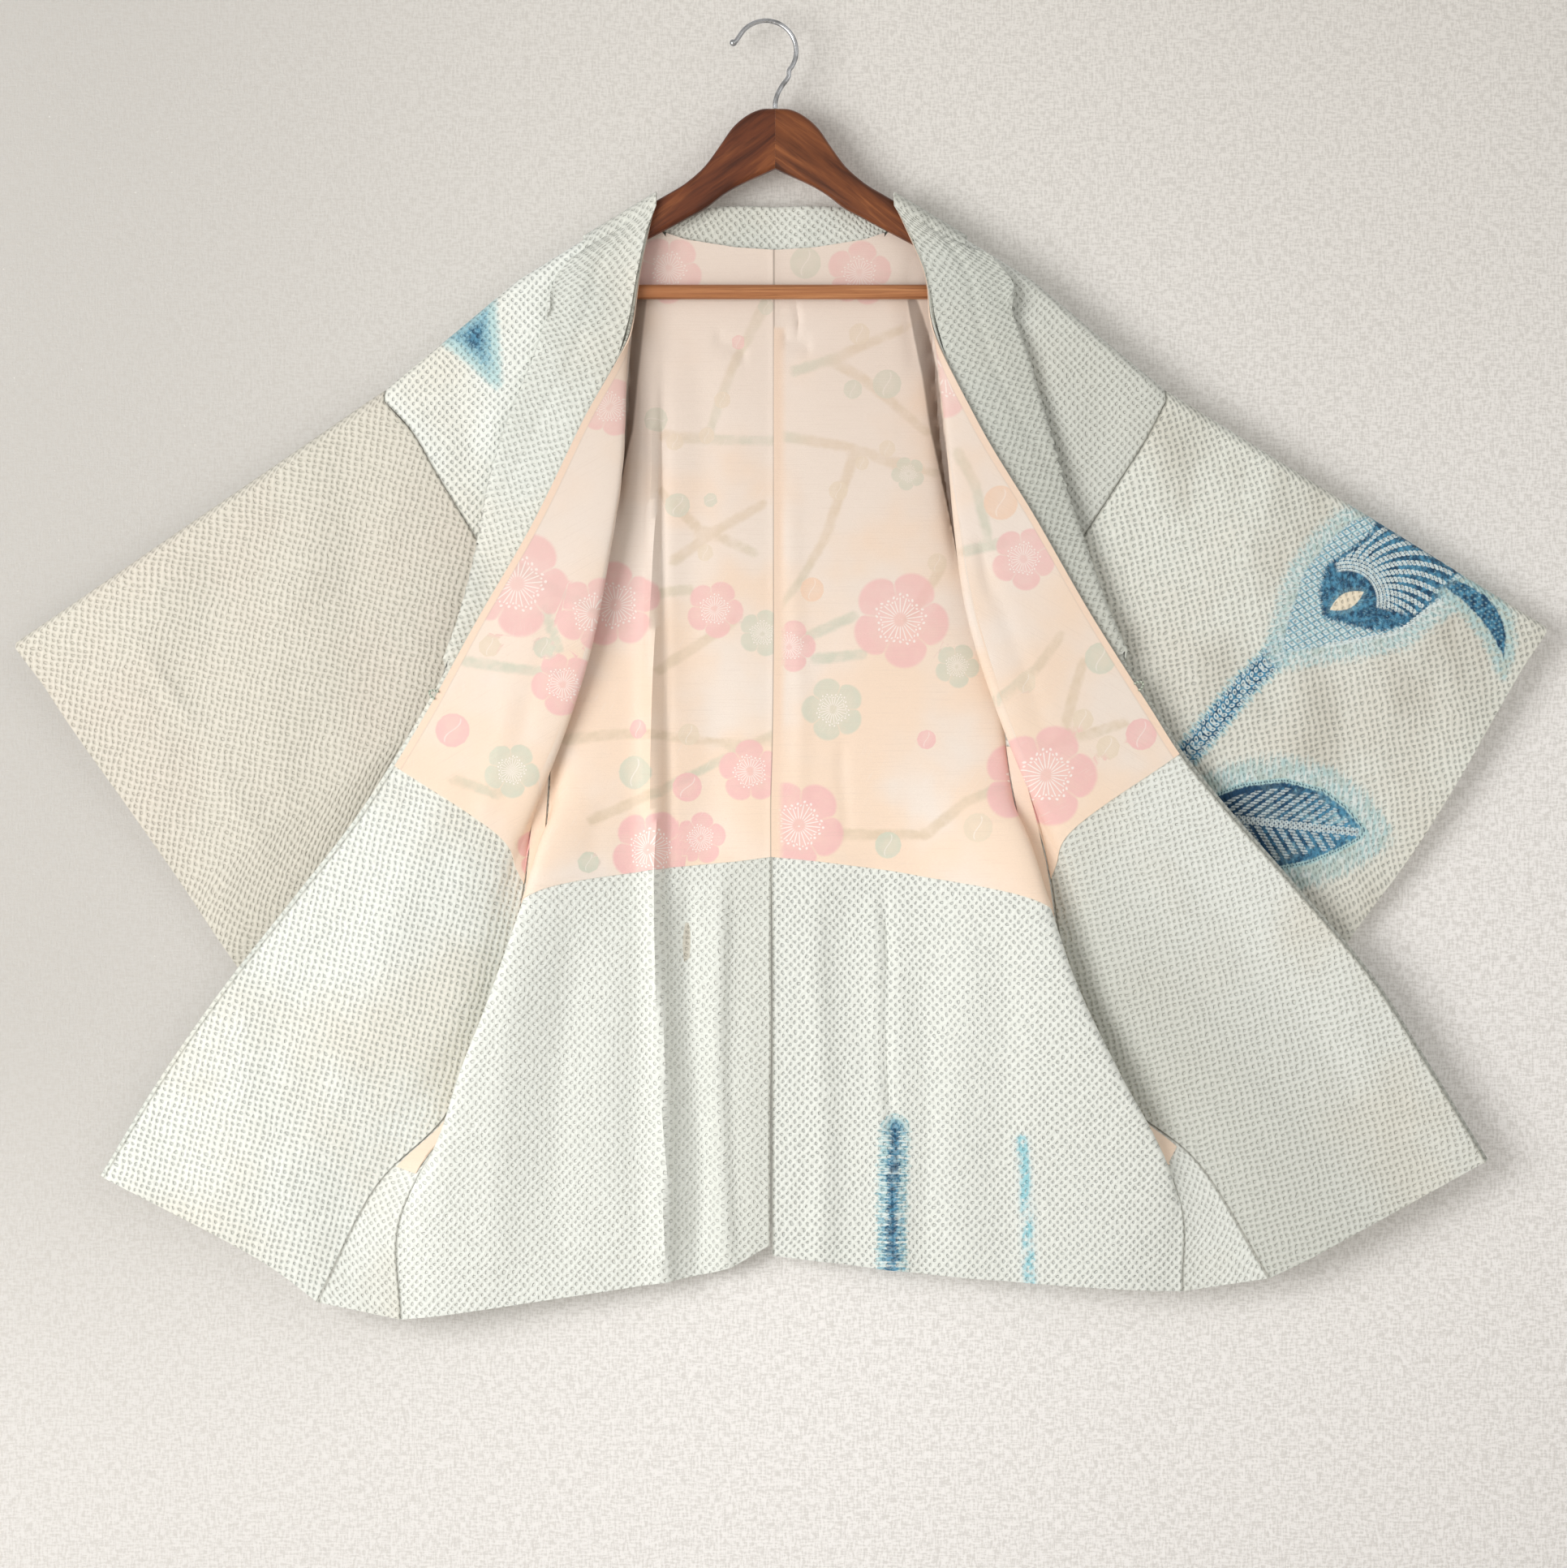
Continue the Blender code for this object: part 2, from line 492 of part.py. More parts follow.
def side_panels(side):
    """The faces and inward directions of one side's back, gusset and front, mitred where they meet."""
    sign = SIGN[side]
    back = back_face(side, BACK_U, PANEL_T)
    front = front_face(side, FRONT_U, PANEL_T)
    back_n = normals(back, sign)
    front_n = normals(front, -sign)
    split = BACK_U.index(BACK_NECK_LINE) + 1
    over = normals(back[:, split:], sign)
    back_n[:ARC_STEPS, split:] = over[:ARC_STEPS]
    back_n[:ARC_STEPS, :split] = (0, 1, 0)
    level(back_n[0, split:])
    level(front_n[0])
    first = len(UPPER_T)
    edge_b, edge_f = back[first:, -1], front[first:, -1]
    gusset = np.stack([edge_b, (edge_b + edge_f) / 2, edge_f], axis=1)
    gusset_n = normals(gusset, sign)
    meet_b = seam_mitre(back_n[first:, -1], gusset_n[:, 0])
    meet_f = seam_mitre(front_n[first:, -1], gusset_n[:, -1])
    gusset_n[:, 0], gusset_n[:, -1] = meet_b, meet_f
    back_n[first:, -1], front_n[first:, -1] = meet_b, meet_f
    return (back, back_n), (gusset, gusset_n), (front, front_n)


def body(side):
    """The back, front and gusset of one side, with their linings."""
    (back, back_n), (gusset, gusset_n), (front, front_n) = side_panels(side)
    back, gusset, front = inset(back), inset(gusset), inset(front)
    gusset[0] += (gusset[1] - gusset[0]) * GUSSET_TOP_CLEAR
    beside_neck = BACK_U.index(BACK_NECK_LINE)
    neck_notch = {(j, beside_neck) for j in range(ARC_STEPS - 1)}
    lined_panel(f"back_{side}", back, back_n, PANEL_T, BACK_LINING_END, neck_notch)
    lined_panel(f"front_{side}", front, front_n, PANEL_T, FRONT_LINING_END)
    lined_panel(f"gusset_{side}", gusset, gusset_n, SIDE_T, *GUSSET_LINING)


def sleeve_layer(side, y_sign, s, v):
    """The outer face of a sleeve's front (y_sign -1) or back (+1) layer on (v, s), below its top fold."""
    table = SLEEVE[side]
    v, s = np.asarray(v, float), np.asarray(s, float)
    seam = front_face(side, (3,), v)[:, 0] if y_sign < 0 else back_face(side, (4,), v)[:, 0]
    low = [row for row in table if row[1]]
    under = seam[np.flatnonzero(v == UNDERARM)[0]]
    knots = [UNDERARM] + [row[0] for row in low]
    points = [under] + [np.array(row[1]) + (0, y_sign * row[2], 0) for row in low]
    below = curve_through(knots, points, np.maximum(v, UNDERARM))
    inner = np.where((v <= UNDERARM)[:, None], seam, below)
    outer_knots = [row[0] for row in table]
    outer_points = [np.array(row[3]) + (0, y_sign * row[4], 0) for row in table]
    outer = curve_through(outer_knots, outer_points, v)
    grid = inner[:, None] * (1 - s)[None, :, None] + outer[:, None] * s[None, :, None]
    full = SLEEVE_FULLNESS * 4 * s * (1 - s)
    grid[..., 1] += y_sign * full[None, :] * np.sin(np.pi * np.clip(v, 0, 1))[:, None]
    return grid


def sleeve(side):
    """A sleeve: one width of cloth folded at the top, open at the cuff, the armhole and the inner edge."""
    s = np.asarray(SLEEVE_S, float)
    inner_x = MIDDLE_X + SIGN[side] * SHOULDER[-1][0]
    inner_top = np.array((inner_x, 0.0, SHOULDER[-1][1]))
    outer_top = np.array(SLEEVE[side][0][3], float)
    top = inner_top[None] * (1 - s)[:, None] + outer_top[None] * s[:, None]
    radius = SHOULDER_RADIUS * (1 - s) + SLEEVE[side][0][4] * s
    layers = {y_sign: sleeve_layer(side, y_sign, s, SLEEVE_V) for y_sign in (-1, 1)}
    rows = list(layers[-1][::-1])
    for angle in np.linspace(-math.pi / 2, math.pi / 2, 2 * ARC_STEPS - 1):
        row = top.copy()
        row[:, 1] += radius * math.sin(angle)
        row[:, 2] -= radius * (1 - math.cos(angle))
        rows.append(row)
    rows += list(layers[1])
    face = np.array(rows)
    n = normals(face, SIGN[side])
    face = inset(face, first=SEAM_GAP, last=0.0)
    return wall(f"sleeve_{side}", face, face - n * CLOTH, "silk")


def ribbon(name, middle, slot):
    """A closed wall of the collar's thickness round a grid of points on its middle surface."""
    n = normals(middle, 1)
    return wall(name, middle + n * COLLAR_HALF, middle - n * COLLAR_HALF, slot)


def bend_steps(ahead, towards, angle, fractions):
    """Steps along the collar's fold, which starts `ahead` and bends `towards` through an angle."""
    radius = math.pi * COLLAR_FOLD / angle
    return [
        ahead * radius * math.sin(angle * f) + towards * radius * (1 - math.cos(angle * f)) for f in fractions
    ]


def collar_over_front(side):
    """The collar on one front: open at the shoulder, its outer edge folding under further down, and
    behind the front below the tie loop."""
    sign = SIGN[side]
    stations = []
    fine = np.linspace(0, 2.2, 45)
    leaf = np.linspace(0, 1, 4)
    for angle in np.linspace(math.radians(COLLAR_TOP_ANGLE), math.pi / 2, ARC_STEPS):
        along = np.array(COLLAR_SHARES) * COLLAR_WIDTH - COLLAR_OVERLAP
        distance = NECK_POINT + along * SHOULDER_RUN
        height = shoulder_height(distance)
        lift = SHOULDER_RADIUS + LIFT
        row = [
            (MIDDLE_X + sign * d, -lift * math.sin(angle), z - SHOULDER_RADIUS + lift * math.cos(angle))
            for d, z in zip(distance, height)
        ]
        stations.append(np.array(row))
    table = COLLAR_OPEN[side]
    open_t = [row[0] for row in table]
    edge_points = [row[1] for row in table]
    for t in COLLAR_T:
        at = np.array((t - T_STEP, t, t + T_STEP))
        at -= max(at[-1] - 1, 0)
        face = front_face(side, fine, at)
        n_all = normals(face, -sign)
        pick = int(np.argmin(abs(at - t)))
        face, n_all = face[pick], n_all[pick]
        edge, n = face[0], n_all[0]
        out = edge - face[1]
        out /= np.linalg.norm(out)
        length = np.concatenate([[0], np.cumsum(np.linalg.norm(np.diff(face, axis=0), axis=1))])
        start = edge - out * COLLAR_OVERLAP + n * LIFT
        piping = edge + out * (PIPING - COLLAR_FOLD - COLLAR_HALF) + n * LIFT
        if t <= open_t[-1]:
            fold = curve_through(open_t, edge_points, [t])[0]
        else:
            fold = piping
        reach = fold - start
        visible = np.linalg.norm(reach)
        reach = reach / visible
        down = np.cross(np.cross(reach, n), reach)
        down /= np.linalg.norm(down)
        rest = max(COLLAR_WIDTH - visible - math.pi * COLLAR_FOLD, LEAST_LEAF)
        bend = math.pi * np.clip((t - COLLAR_FOLD_START) / COLLAR_FOLD_GROWTH, LEAST_BEND, 1)
        points = [start + reach * visible * f for f in leaf]
        points += [fold + step for step in bend_steps(reach, down, bend, (1 / 3, 2 / 3))]
        turned = fold + bend_steps(reach, down, bend, (1,))[0]
        onward = reach * math.cos(bend) + down * math.sin(bend)
        for f in (0.0, 0.5, 1.0):
            back = rest * f
            if visible - back < 0:
                q = back - visible + COLLAR_OVERLAP
                on = np.array([np.interp(q, length, face[:, c]) for c in range(3)])
                on_n = np.array([np.interp(q, length, n_all[:, c]) for c in range(3)])
                points.append(on + on_n * (LIFT + 2 * COLLAR_FOLD))
            else:
                points.append(turned + onward * back)
        stations.append(np.array(points))
    return ribbon(f"collar_{side}", np.array(stations), "silk")


def collar_round_neck():
    """The collar round the back of the neck: folded outwards in half in the middle, open on the shoulders."""
    knots = np.arange(len(COLLAR_NECK))
    flat_rows = [(*row[:4], *row[4]) for row in COLLAR_NECK]
    half = curve_through(knots, flat_rows, COLLAR_NECK_AT)
    stations = []
    for sign, rows in ((-1, half), (1, half[-2::-1])):
        for distance, y, z, inner, rx, rz in rows:
            down = np.array((-sign * rx, 0.0, rz))
            down /= np.linalg.norm(down)
            bend = math.pi * np.clip(inner / INNER_LEAF_FOLDED, LEAST_BEND, 1)
            inner = max(inner, LEAST_LEAF)
            above = z - (shoulder_height(distance) - SHOULDER_RADIUS)
            tilt = np.array((0.0, y, max(above, 0.0)))
            n = tilt / np.linalg.norm(tilt) if above > 0 else np.array((0.0, 1.0, 0.0))
            seam = np.array((MIDDLE_X + sign * distance, y, z)) + n * LIFT
            rise = down * math.cos(bend) + n * math.sin(bend)
            over = n * math.cos(bend) * -1 + down * math.sin(bend)
            points = [seam + rise * inner * f for f in (0.0, 0.5, 1.0)]
            points += [points[2] + step for step in bend_steps(rise, over, bend, (1 / 3, 2 / 3))]
            turned = points[2] + bend_steps(rise, over, bend, (1,))[0]
            rest = COLLAR_WIDTH - inner - math.pi * COLLAR_FOLD
            points += [turned + down * rest * f for f in (0.0, 0.25, 0.5, 1.0)]
            stations.append(np.array(points))
    middle = np.array(stations)
    middle[0, :, 1] += SEAM_GAP
    middle[-1, :, 1] += SEAM_GAP
    return ribbon("collar_neck", middle, "silk")


def curve_object(name, points, radius, slot, cap_rings=2):
    """A tube of one radius along a list of points."""
    data = bpy.data.curves.new(name, "CURVE")
    data.dimensions = "3D"
    data.bevel_depth = radius * MM
    data.bevel_resolution = cap_rings
    data.use_fill_caps = True
    spline = data.splines.new("POLY")
    spline.points.add(len(points) - 1)
    for slot_point, (x, y, z) in zip(spline.points, points):
        slot_point.co = (x * MM, y * MM, z * MM, 1.0)
    data.materials.append(material(slot))
    item = bpy.data.objects.new(name, data)
    PARTS.objects.link(item)
    return item


def tie_loop(side):
    """The small cord loop for a front tie, just in front of the collar seam."""
    face = front_face(side, (0, 0.1), (LOOP_T - T_STEP / 2, LOOP_T, LOOP_T + T_STEP / 2))
    edge = face[1, 0]
    along = face[2, 0] - face[0, 0]
    along /= np.linalg.norm(along)
    out = edge - face[1, 1]
    out -= along * (out @ along)
    out /= np.linalg.norm(out)
    towards_viewer = np.array((0.0, -(LINING_FAR + SEAM_GAP + LOOP_CORD), 0.0))
    points = []
    for angle in np.linspace(0, math.pi, 9):
        reach = LOOP_REACH * math.sin(angle) - LOOP_SUNK
        points.append(edge + towards_viewer + out * reach + along * LOOP_HALF * math.cos(angle))
    curve_object(f"tie_loop_{side}", points, LOOP_CORD, "cord", 1)


def hanger_hook():
    """The wire hook: a round crown, open on one side, and a bent stem down to the wood."""
    start, end = (math.radians(a) for a in HOOK_ARC)
    crown = [
        (HOOK_RADIUS * math.cos(a), HOOK_CENTRE_Z + 2 * HOOK_WIRE + HOOK_RADIUS * math.sin(a))
        for a in np.linspace(start, end, HOOK_KNOTS)
    ]
    path = [(x, 0.0, z) for x, z in (*HOOK_TIP, *crown, *HOOK_STEM)]
    smooth = curve_through(range(len(path)), path, np.linspace(0, len(path) - 1, HOOK_STEPS))
    return curve_object("hanger_hook", smooth, HOOK_WIRE, "steel", 2)


def outline_height(table, distance):
    """A height of the wood's outline on the smooth curve through a table."""
    knots, heights = zip(*table)
    return curve_through(knots, np.array(heights)[:, None], np.atleast_1d(distance))[:, 0]


def hanger_arm(side):
    """One wooden arm: rounded along its top for the cloth, its lower edges chamfered, cut out for the bar."""
    upper = outline_height(WOOD_UPPER, WOOD_STATIONS)
    lower = outline_height(WOOD_LOWER, WOOD_STATIONS)
    verts = []
    for distance, top, bottom in zip(WOOD_STATIONS, upper, lower):
        for y, dz, edge in WOOD_SECTION:
            verts.append((MIDDLE_X + SIGN[side] * distance, y, (bottom if edge else top) + dz))
    ring = len(WOOD_SECTION)
    faces = [tuple(range(ring)), tuple((len(WOOD_STATIONS) - 1) * ring + k for k in range(ring))]
    for j in range(len(WOOD_STATIONS) - 1):
        for k in range(ring):
            a, b = j * ring + k, j * ring + (k + 1) % ring
            faces.append((a, b, b + ring, a + ring))
    arm = make_object(f"hanger_arm_{side}", verts, faces, "wood")
    bpy.ops.mesh.primitive_cylinder_add(
        vertices=ROUND_SIDES, radius=(BAR_RADIUS + SEAM_GAP) * MM, depth=BAR_SEAT_DEPTH * MM,
        location=((MIDDLE_X + SIGN[side] * (BAR_END + SEAM_GAP - BAR_SEAT_DEPTH / 2)) * MM, 0, BAR_Z * MM),
        rotation=(0, math.pi / 2, 0),
    )
    cutter = bpy.context.object
    cutter.name = f"bar_seat_{side}"
    cutter.hide_render = True
    cutter.display_type = "WIRE"
    for collection in list(cutter.users_collection):
        collection.objects.unlink(cutter)
    CUTTERS.objects.link(cutter)
    cut = arm.modifiers.new("bar seat", "BOOLEAN")
    cut.operation, cut.solver, cut.object = "DIFFERENCE", "EXACT", cutter


def hanger_bar():
    """The round trouser bar, seated in both arms."""
    bpy.ops.mesh.primitive_cylinder_add(
        vertices=ROUND_SIDES, radius=BAR_RADIUS * MM, depth=2 * BAR_END * MM,
        location=(MIDDLE_X * MM, 0, BAR_Z * MM), rotation=(0, math.pi / 2, 0),
    )
    bar = bpy.context.object
    bar.name = "hanger_bar"
    bar.data.materials.append(material("wood"))
    bar.data.shade_smooth()
    bar.data.set_sharp_from_angle(angle=math.radians(CREASE_ANGLE))
    for collection in list(bar.users_collection):
        collection.objects.unlink(bar)
    PARTS.objects.link(bar)


def collection(name):
    """A collection linked to the scene."""
    made = bpy.data.collections.new(name)
    bpy.context.scene.collection.children.link(made)
    return made


for old in list(bpy.data.objects):
    bpy.data.objects.remove(old, do_unlink=True)
PARTS = collection("haori jacket on a hanger")
CUTTERS = collection("cutters")

for part_side in (LEFT, RIGHT):
    body(part_side)
    sleeve(part_side)
    collar_over_front(part_side)
    tie_loop(part_side)
    hanger_arm(part_side)
collar_round_neck()
hanger_bar()
hanger_hook()
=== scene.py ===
"""Haori jacket on a wooden hanger: silk, dyed motifs, printed lining, wood and steel on the CAD frame.

X runs along the shoulders, +Y points away from the viewer and +Z is up. Tables are in millimetres. Each cloth piece
is a thin closed shell on its solid's form: sections run across a piece, and smooth curves join them downwards.
"""

import math

import bpy
import numpy as np
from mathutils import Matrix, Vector


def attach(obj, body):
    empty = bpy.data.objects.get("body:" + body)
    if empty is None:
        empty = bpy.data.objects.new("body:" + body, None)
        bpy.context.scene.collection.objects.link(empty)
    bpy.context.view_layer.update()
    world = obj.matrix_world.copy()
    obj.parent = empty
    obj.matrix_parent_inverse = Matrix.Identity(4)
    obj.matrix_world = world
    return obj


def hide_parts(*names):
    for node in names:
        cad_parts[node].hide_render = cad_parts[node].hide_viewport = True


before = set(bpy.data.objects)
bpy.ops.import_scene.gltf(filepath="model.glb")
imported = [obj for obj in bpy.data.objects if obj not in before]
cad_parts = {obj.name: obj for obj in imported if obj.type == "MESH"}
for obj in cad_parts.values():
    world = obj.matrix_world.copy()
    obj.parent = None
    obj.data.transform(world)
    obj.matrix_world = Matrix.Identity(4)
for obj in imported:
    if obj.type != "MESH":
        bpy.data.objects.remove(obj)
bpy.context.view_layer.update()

bl_info = {
    "name": "Haori jacket on a hanger",
    "version": (1, 0, 0),
    "blender": (4, 5, 0),
    "location": "3D View > Sidebar > Haori",
    "description": "Builds the silk, lining, collar, hanger and stage of a haori jacket on its CAD frame",
    "category": "Object",
}

MM = 0.001
TINY = 1e-9
SMOOTH_ANGLE = 50.0
DEPTH, UP = np.array((0.0, 1.0, 0.0)), np.array((0.0, 0.0, 1.0))
LEFT, RIGHT = "left", "right"
SIGN = {LEFT: -1, RIGHT: 1}

# How deep the lining reaches under the outer face, the gap at a seam, and the sharpest mitre there.
LINING_FAR = 2.9
SEAM_GAP = 0.3
SHARPEST_MITRE = 0.45

# Hanger and shoulders
MIDDLE_X = 7.0
SHOULDER_RADIUS = 9.3
# The shoulder fold. Columns: distance from the middle, height.
SHOULDER = (
    (60.0, -112.0), (91.5, -131.4), (144.0, -163.6), (195.0, -195.0), (250.0, -241.0), (295.5, -278.0),
)
NECK_POINT = 91.5
# The back's neck seam. Columns: distance from the middle, height.
NECK = ((0.0, -171.0), (30.0, -169.0), (68.0, -163.0), (83.0, -158.0))
NECK_DEPTH = 9.5
NECK_ALLOWANCE = 3.0

# A front. Each row is a section at t, from the shoulder (0) to the hem (1), as points (x, y, z).
# Columns: t, collar edge, roll line, middle, side seam.
FRONT = {
    LEFT: (
        (0.05, (-94, -13, -184), (-106, -11.5, -192), (-186, -10, -242), (-270, -9, -307)),
        (0.10, (-102, -16, -229), (-108, -12, -236), (-171, -9, -291), (-249, -7, -342)),
        (0.20, (-139, -20, -305), (-110, -16, -331), (-156, -8, -364), (-210, -5, -406)),
        (0.30, (-176, -21, -381), (-121, -16, -402), (-143, -8, -435), (-171, -1.5, -471)),
        (0.40, (-218, -19, -454), (-139, -15, -482), (-153, -7, -515), (-174, 0.5, -545)),
        (0.50, (-259, -16, -528), (-174, -10, -573), (-179, 0, -600), (-183, 6, -616)),
        (0.55, (-281, -14, -564), (-199, -5, -622), (-192, 3, -640), (-185, 7.5, -654)),
        (0.60, (-304, -12, -599), (-216, -3, -672), (-202, 3.5, -682), (-190, 8, -690)),
        (0.70, (-356, -10, -666), (-238, -3, -745), (-222, 3, -756), (-209, 8, -765)),
        (0.80, (-408, -9, -732), (-283, -5, -808), (-263, 1, -820), (-245, 5, -831)),
        (0.90, (-457, -8, -802), (-341, -9, -860), (-318, -6, -872), (-296, -2, -883)),
        (1.00, (-501, -7, -874), (-392, -12, -930), (-367, -11, -946), (-339, -9, -968)),
    ),
    RIGHT: (
        (0.05, (118, -13, -184), (130, -11.5, -192), (200, -10, -242), (288, -9, -315)),
        (0.10, (126, -16, -226), (131, -12, -234), (185, -9, -291), (269, -7, -345)),
        (0.20, (160, -20, -304), (139, -16, -316), (171, -8, -364), (228, -5, -408)),
        (0.30, (203, -21, -376), (148, -16, -383), (160, -8, -435), (186, -1.5, -471)),
        (0.40, (245, -19, -449), (161, -15, -454), (174, -6.5, -505), (195, 1.5, -545)),
        (0.50, (291, -16, -521), (201, -10, -566), (208, 0, -596), (213, 6, -616)),
        (0.55, (313, -14, -555), (229, -5, -618), (223, 3, -636), (218, 7.5, -650)),
        (0.60, (338, -12, -586), (250, -3, -670), (236, 3.5, -680), (223, 8, -689)),
        (0.70, (397, -10, -653), (268, -3, -740), (252, 3, -750), (240, 8, -757)),
        (0.80, (455, -9, -721), (314, -5, -796), (293, 1, -806), (273, 5, -818)),
        (0.90, (499, -8, -789), (374, -9, -844), (350, -6, -854), (328, -2, -865)),
        (1.00, (544, -7, -862), (436, -12, -921), (409, -11, -936), (380, -9, -950)),
    ),
}
# Where the four lines of a front meet the shoulder fold, as distances from the middle
FRONT_TOP = (91.5, 118.5, 203.0, 295.5)
FRONT_LINING_END = 0.54

# A back. Columns: t, centre seam, inner line, outer line, ridge of the side fold, side seam.
BACK = {
    LEFT: (
        (0.10, (6, 10, -246), (-24, 9, -247), (-81, 9, -252), (-157, 9, -289), (-250, 9, -341)),
        (0.30, (6, 10, -397), (-24, 9, -400), (-84, 8, -413), (-129, 7, -437), (-171, 6.5, -471)),
        (0.40, (6, 10, -474), (-25, 9, -478), (-86, 7, -487), (-137, 4, -505), (-164, 7.5, -545)),
        (0.50, (5, 10, -551), (-26, 9, -555), (-87, 7, -564), (-154, -1, -588), (-165, 6, -616)),
        (0.55, (4, 10, -588), (-27, 9, -593), (-87, 7, -599), (-167, -9, -620), (-166, 6, -654)),
        (0.60, (4, 10, -626), (-28, 9, -630), (-88, 7, -636), (-178, -15, -657), (-170, 6, -690)),
        (0.70, (4, 10, -702), (-28, 9, -707), (-87, 7, -715), (-206, -20, -738), (-190, 6, -765)),
        (0.80, (4, 10, -778), (-29, 9, -783), (-84, 6, -792), (-231, -20, -805), (-224, -1, -833)),
        (0.86, (3, 10, -823), (-30, 8, -829), (-81, 6, -839), (-240, -19, -846), (-254, -8.5, -863)),
        (0.90, (3, 10, -852), (-30, 8, -861), (-79, 6, -871), (-246, -16, -882), (-273, -10, -898)),
        (1.00, (3, 9, -927), (-30, 7, -945), (-76, 5, -954), (-247, -11, -978), (-276, -9, -981)),
    ),
    RIGHT: (
        (0.10, (6, 10, -246), (38, 9, -247), (96, 9, -252), (180, 9, -289), (270, 9, -343)),
        (0.30, (6, 10, -397), (39, 9, -400), (99, 8, -411), (152, 7, -434), (186, 6.5, -471)),
        (0.40, (6, 10, -474), (41, 9, -478), (102, 7, -488), (168, 5, -505), (181, 7.5, -545)),
        (0.50, (5, 10, -551), (43, 9, -555), (105, 7, -564), (179, 1, -582), (191, 6.5, -616)),
        (0.55, (4, 10, -588), (44, 9, -593), (107, 7, -601), (195, -8, -618), (197, 6, -652)),
        (0.60, (4, 10, -626), (44, 9, -630), (110, 7, -639), (210, -15, -664), (204, 6, -690)),
        (0.70, (5, 10, -702), (46, 9, -707), (116, 7, -718), (232, -20, -729), (222, 6, -760)),
        (0.80, (5, 10, -779), (47, 9, -784), (121, 6, -796), (266, -20, -799), (257, 0, -830)),
        (0.86, (5, 10, -825), (48, 8, -830), (123, 6, -843), (285, -18, -836), (294, -9, -861)),
        (0.90, (5, 10, -857), (48, 8, -861), (125, 6, -875), (295, -15, -864), (310, -9, -889)),
        (1.00, (5, 9, -935), (48, 7, -940), (127, 5, -949), (261, -8, -958), (315, -5, -960)),
    ),
}
CENTRE_TOP_X = 6.0
BACK_NECK_LINE = 2.0
BACK_LINING_END = 0.60
UNDERARM = 0.30
GUSSET_TOP_CLEAR = 0.08
# The share of its width by which a gusset's lining is drawn in at the seams.
GUSSET_DRAWN_IN = 0.2

# The largest folds in the backs, as soft ridges (or troughs, below zero) on the face that the viewer sees.
# Columns: x and z of the upper end, x and z of the lower end, half width, height.
BACK_FOLDS = (
    (-88, -300, -80, -1000, 11, 6.0), (-44, -380, -40, -1000, 20, -3.0), (-140, -640, -190, -1000, 22, -2.5),
    (88, -640, 97, -1000, 9, 3.5), (46, -600, 66, -1000, 16, -2.0),
)

# Share of a fold's length over which it grows, then the flat zones at the centre seam (mm) and the ridge (u).
FOLD_GROWTH, SEAM_FLAT, RIDGE_FLAT = 0.35, 25.0, 0.6

# A sleeve below the underarm, where its two layers pass behind the body, and its outer edge.
# Columns: v, inner edge (x, y, z), half the distance between the outer faces there, and the same two for the
# outer edge.
SLEEVE = {
    LEFT: (
        (0.00, None, None, (-569, 6, -469), 5.0),
        (0.10, None, None, (-527, 7, -534), 4.6),
        (0.20, None, None, (-484, 8.5, -595), 4.0),
        (0.30, None, None, (-440, 10.5, -659), 2.4),
        (0.34, (-176, 15, -498), 3.8, (-423, 11, -685), 1.75),
        (0.50, (-131, 15, -550), 3.8, (-391, 12, -731), 1.75),
        (0.75, (-72, 15, -614), 3.2, (-342, 12.5, -801), 1.75),
        (1.00, (-13, 15, -678), 1.75, (-293, 13, -871), 1.75),
    ),
    RIGHT: (
        (0.00, None, None, (592, 6, -457), 5.0),
        (0.10, None, None, (555, 7, -522), 4.6),
        (0.20, None, None, (518, 8.5, -587), 4.0),
        (0.30, None, None, (479, 10.5, -647), 2.4),
        (0.34, (191, 15, -498), 3.8, (458, 11, -675), 1.75),
        (0.50, (150, 15, -555), 3.8, (430, 12, -721), 1.75),
        (0.75, (101, 15, -624), 3.2, (381, 12.5, -795), 1.75),
        (1.00, (51, 15, -692), 1.75, (332, 13, -869), 1.75),
    ),
}
SLEEVE_FULLNESS = 1.2
# The back layer's creases stand this far aside, and a trough keeps this share of its depth.
SLEEVE_BACK_SHIFT, SLEEVE_TROUGH = 28.0, 0.6
# Where a sleeve's straight rows start, below the fold over its top.
SLEEVE_FIRST_V = 0.05

# The collar's folded outer edge where it lies open over a front. Columns: t of the front's edge, (x, y, z).
COLLAR_WIDTH = 63.0
COLLAR_HALF = 1.1
COLLAR_FOLD = 1.35
PIPING = 3.0
COLLAR_OPEN = {
    LEFT: (
        (0.018, (-139, -11.6, -171)), (0.05, (-153, -13.8, -195)), (0.10, (-161, -15, -219)),
        (0.15, (-170, -15, -245)), (0.20, (-183, -15, -279)), (0.25, (-198, -16, -317)), (0.30, (-210, -17, -359)),
        (0.35, (-218, -18, -404)), (0.40, (-229, -18, -448)), (0.45, (-243, -17.5, -488)),
    ),
    RIGHT: (
        (0.018, (152, -11.6, -164)), (0.05, (169, -13.8, -191)), (0.10, (182, -16, -219)), (0.15, (195, -18, -251)),
        (0.20, (205, -18, -285)), (0.25, (216, -18, -321)), (0.30, (228, -18, -362)), (0.35, (241, -18, -401)),
        (0.40, (256, -18, -443)), (0.45, (273, -17.5, -482)),
    ),
}
# The collar starts this far inside a front's edge, and lies this far above it, on its middle surface.
COLLAR_OVERLAP = 2.0
LIFT = 0.5 + COLLAR_HALF
# The collar's outer edge starts to fold under at this t, and is folded flat after the growth.
COLLAR_FOLD_START, COLLAR_FOLD_GROWTH = 0.06, 0.08
LEAST_BEND, LEAST_LEAF, INNER_LEAF_FOLDED = 0.03, 1.5, 6.0
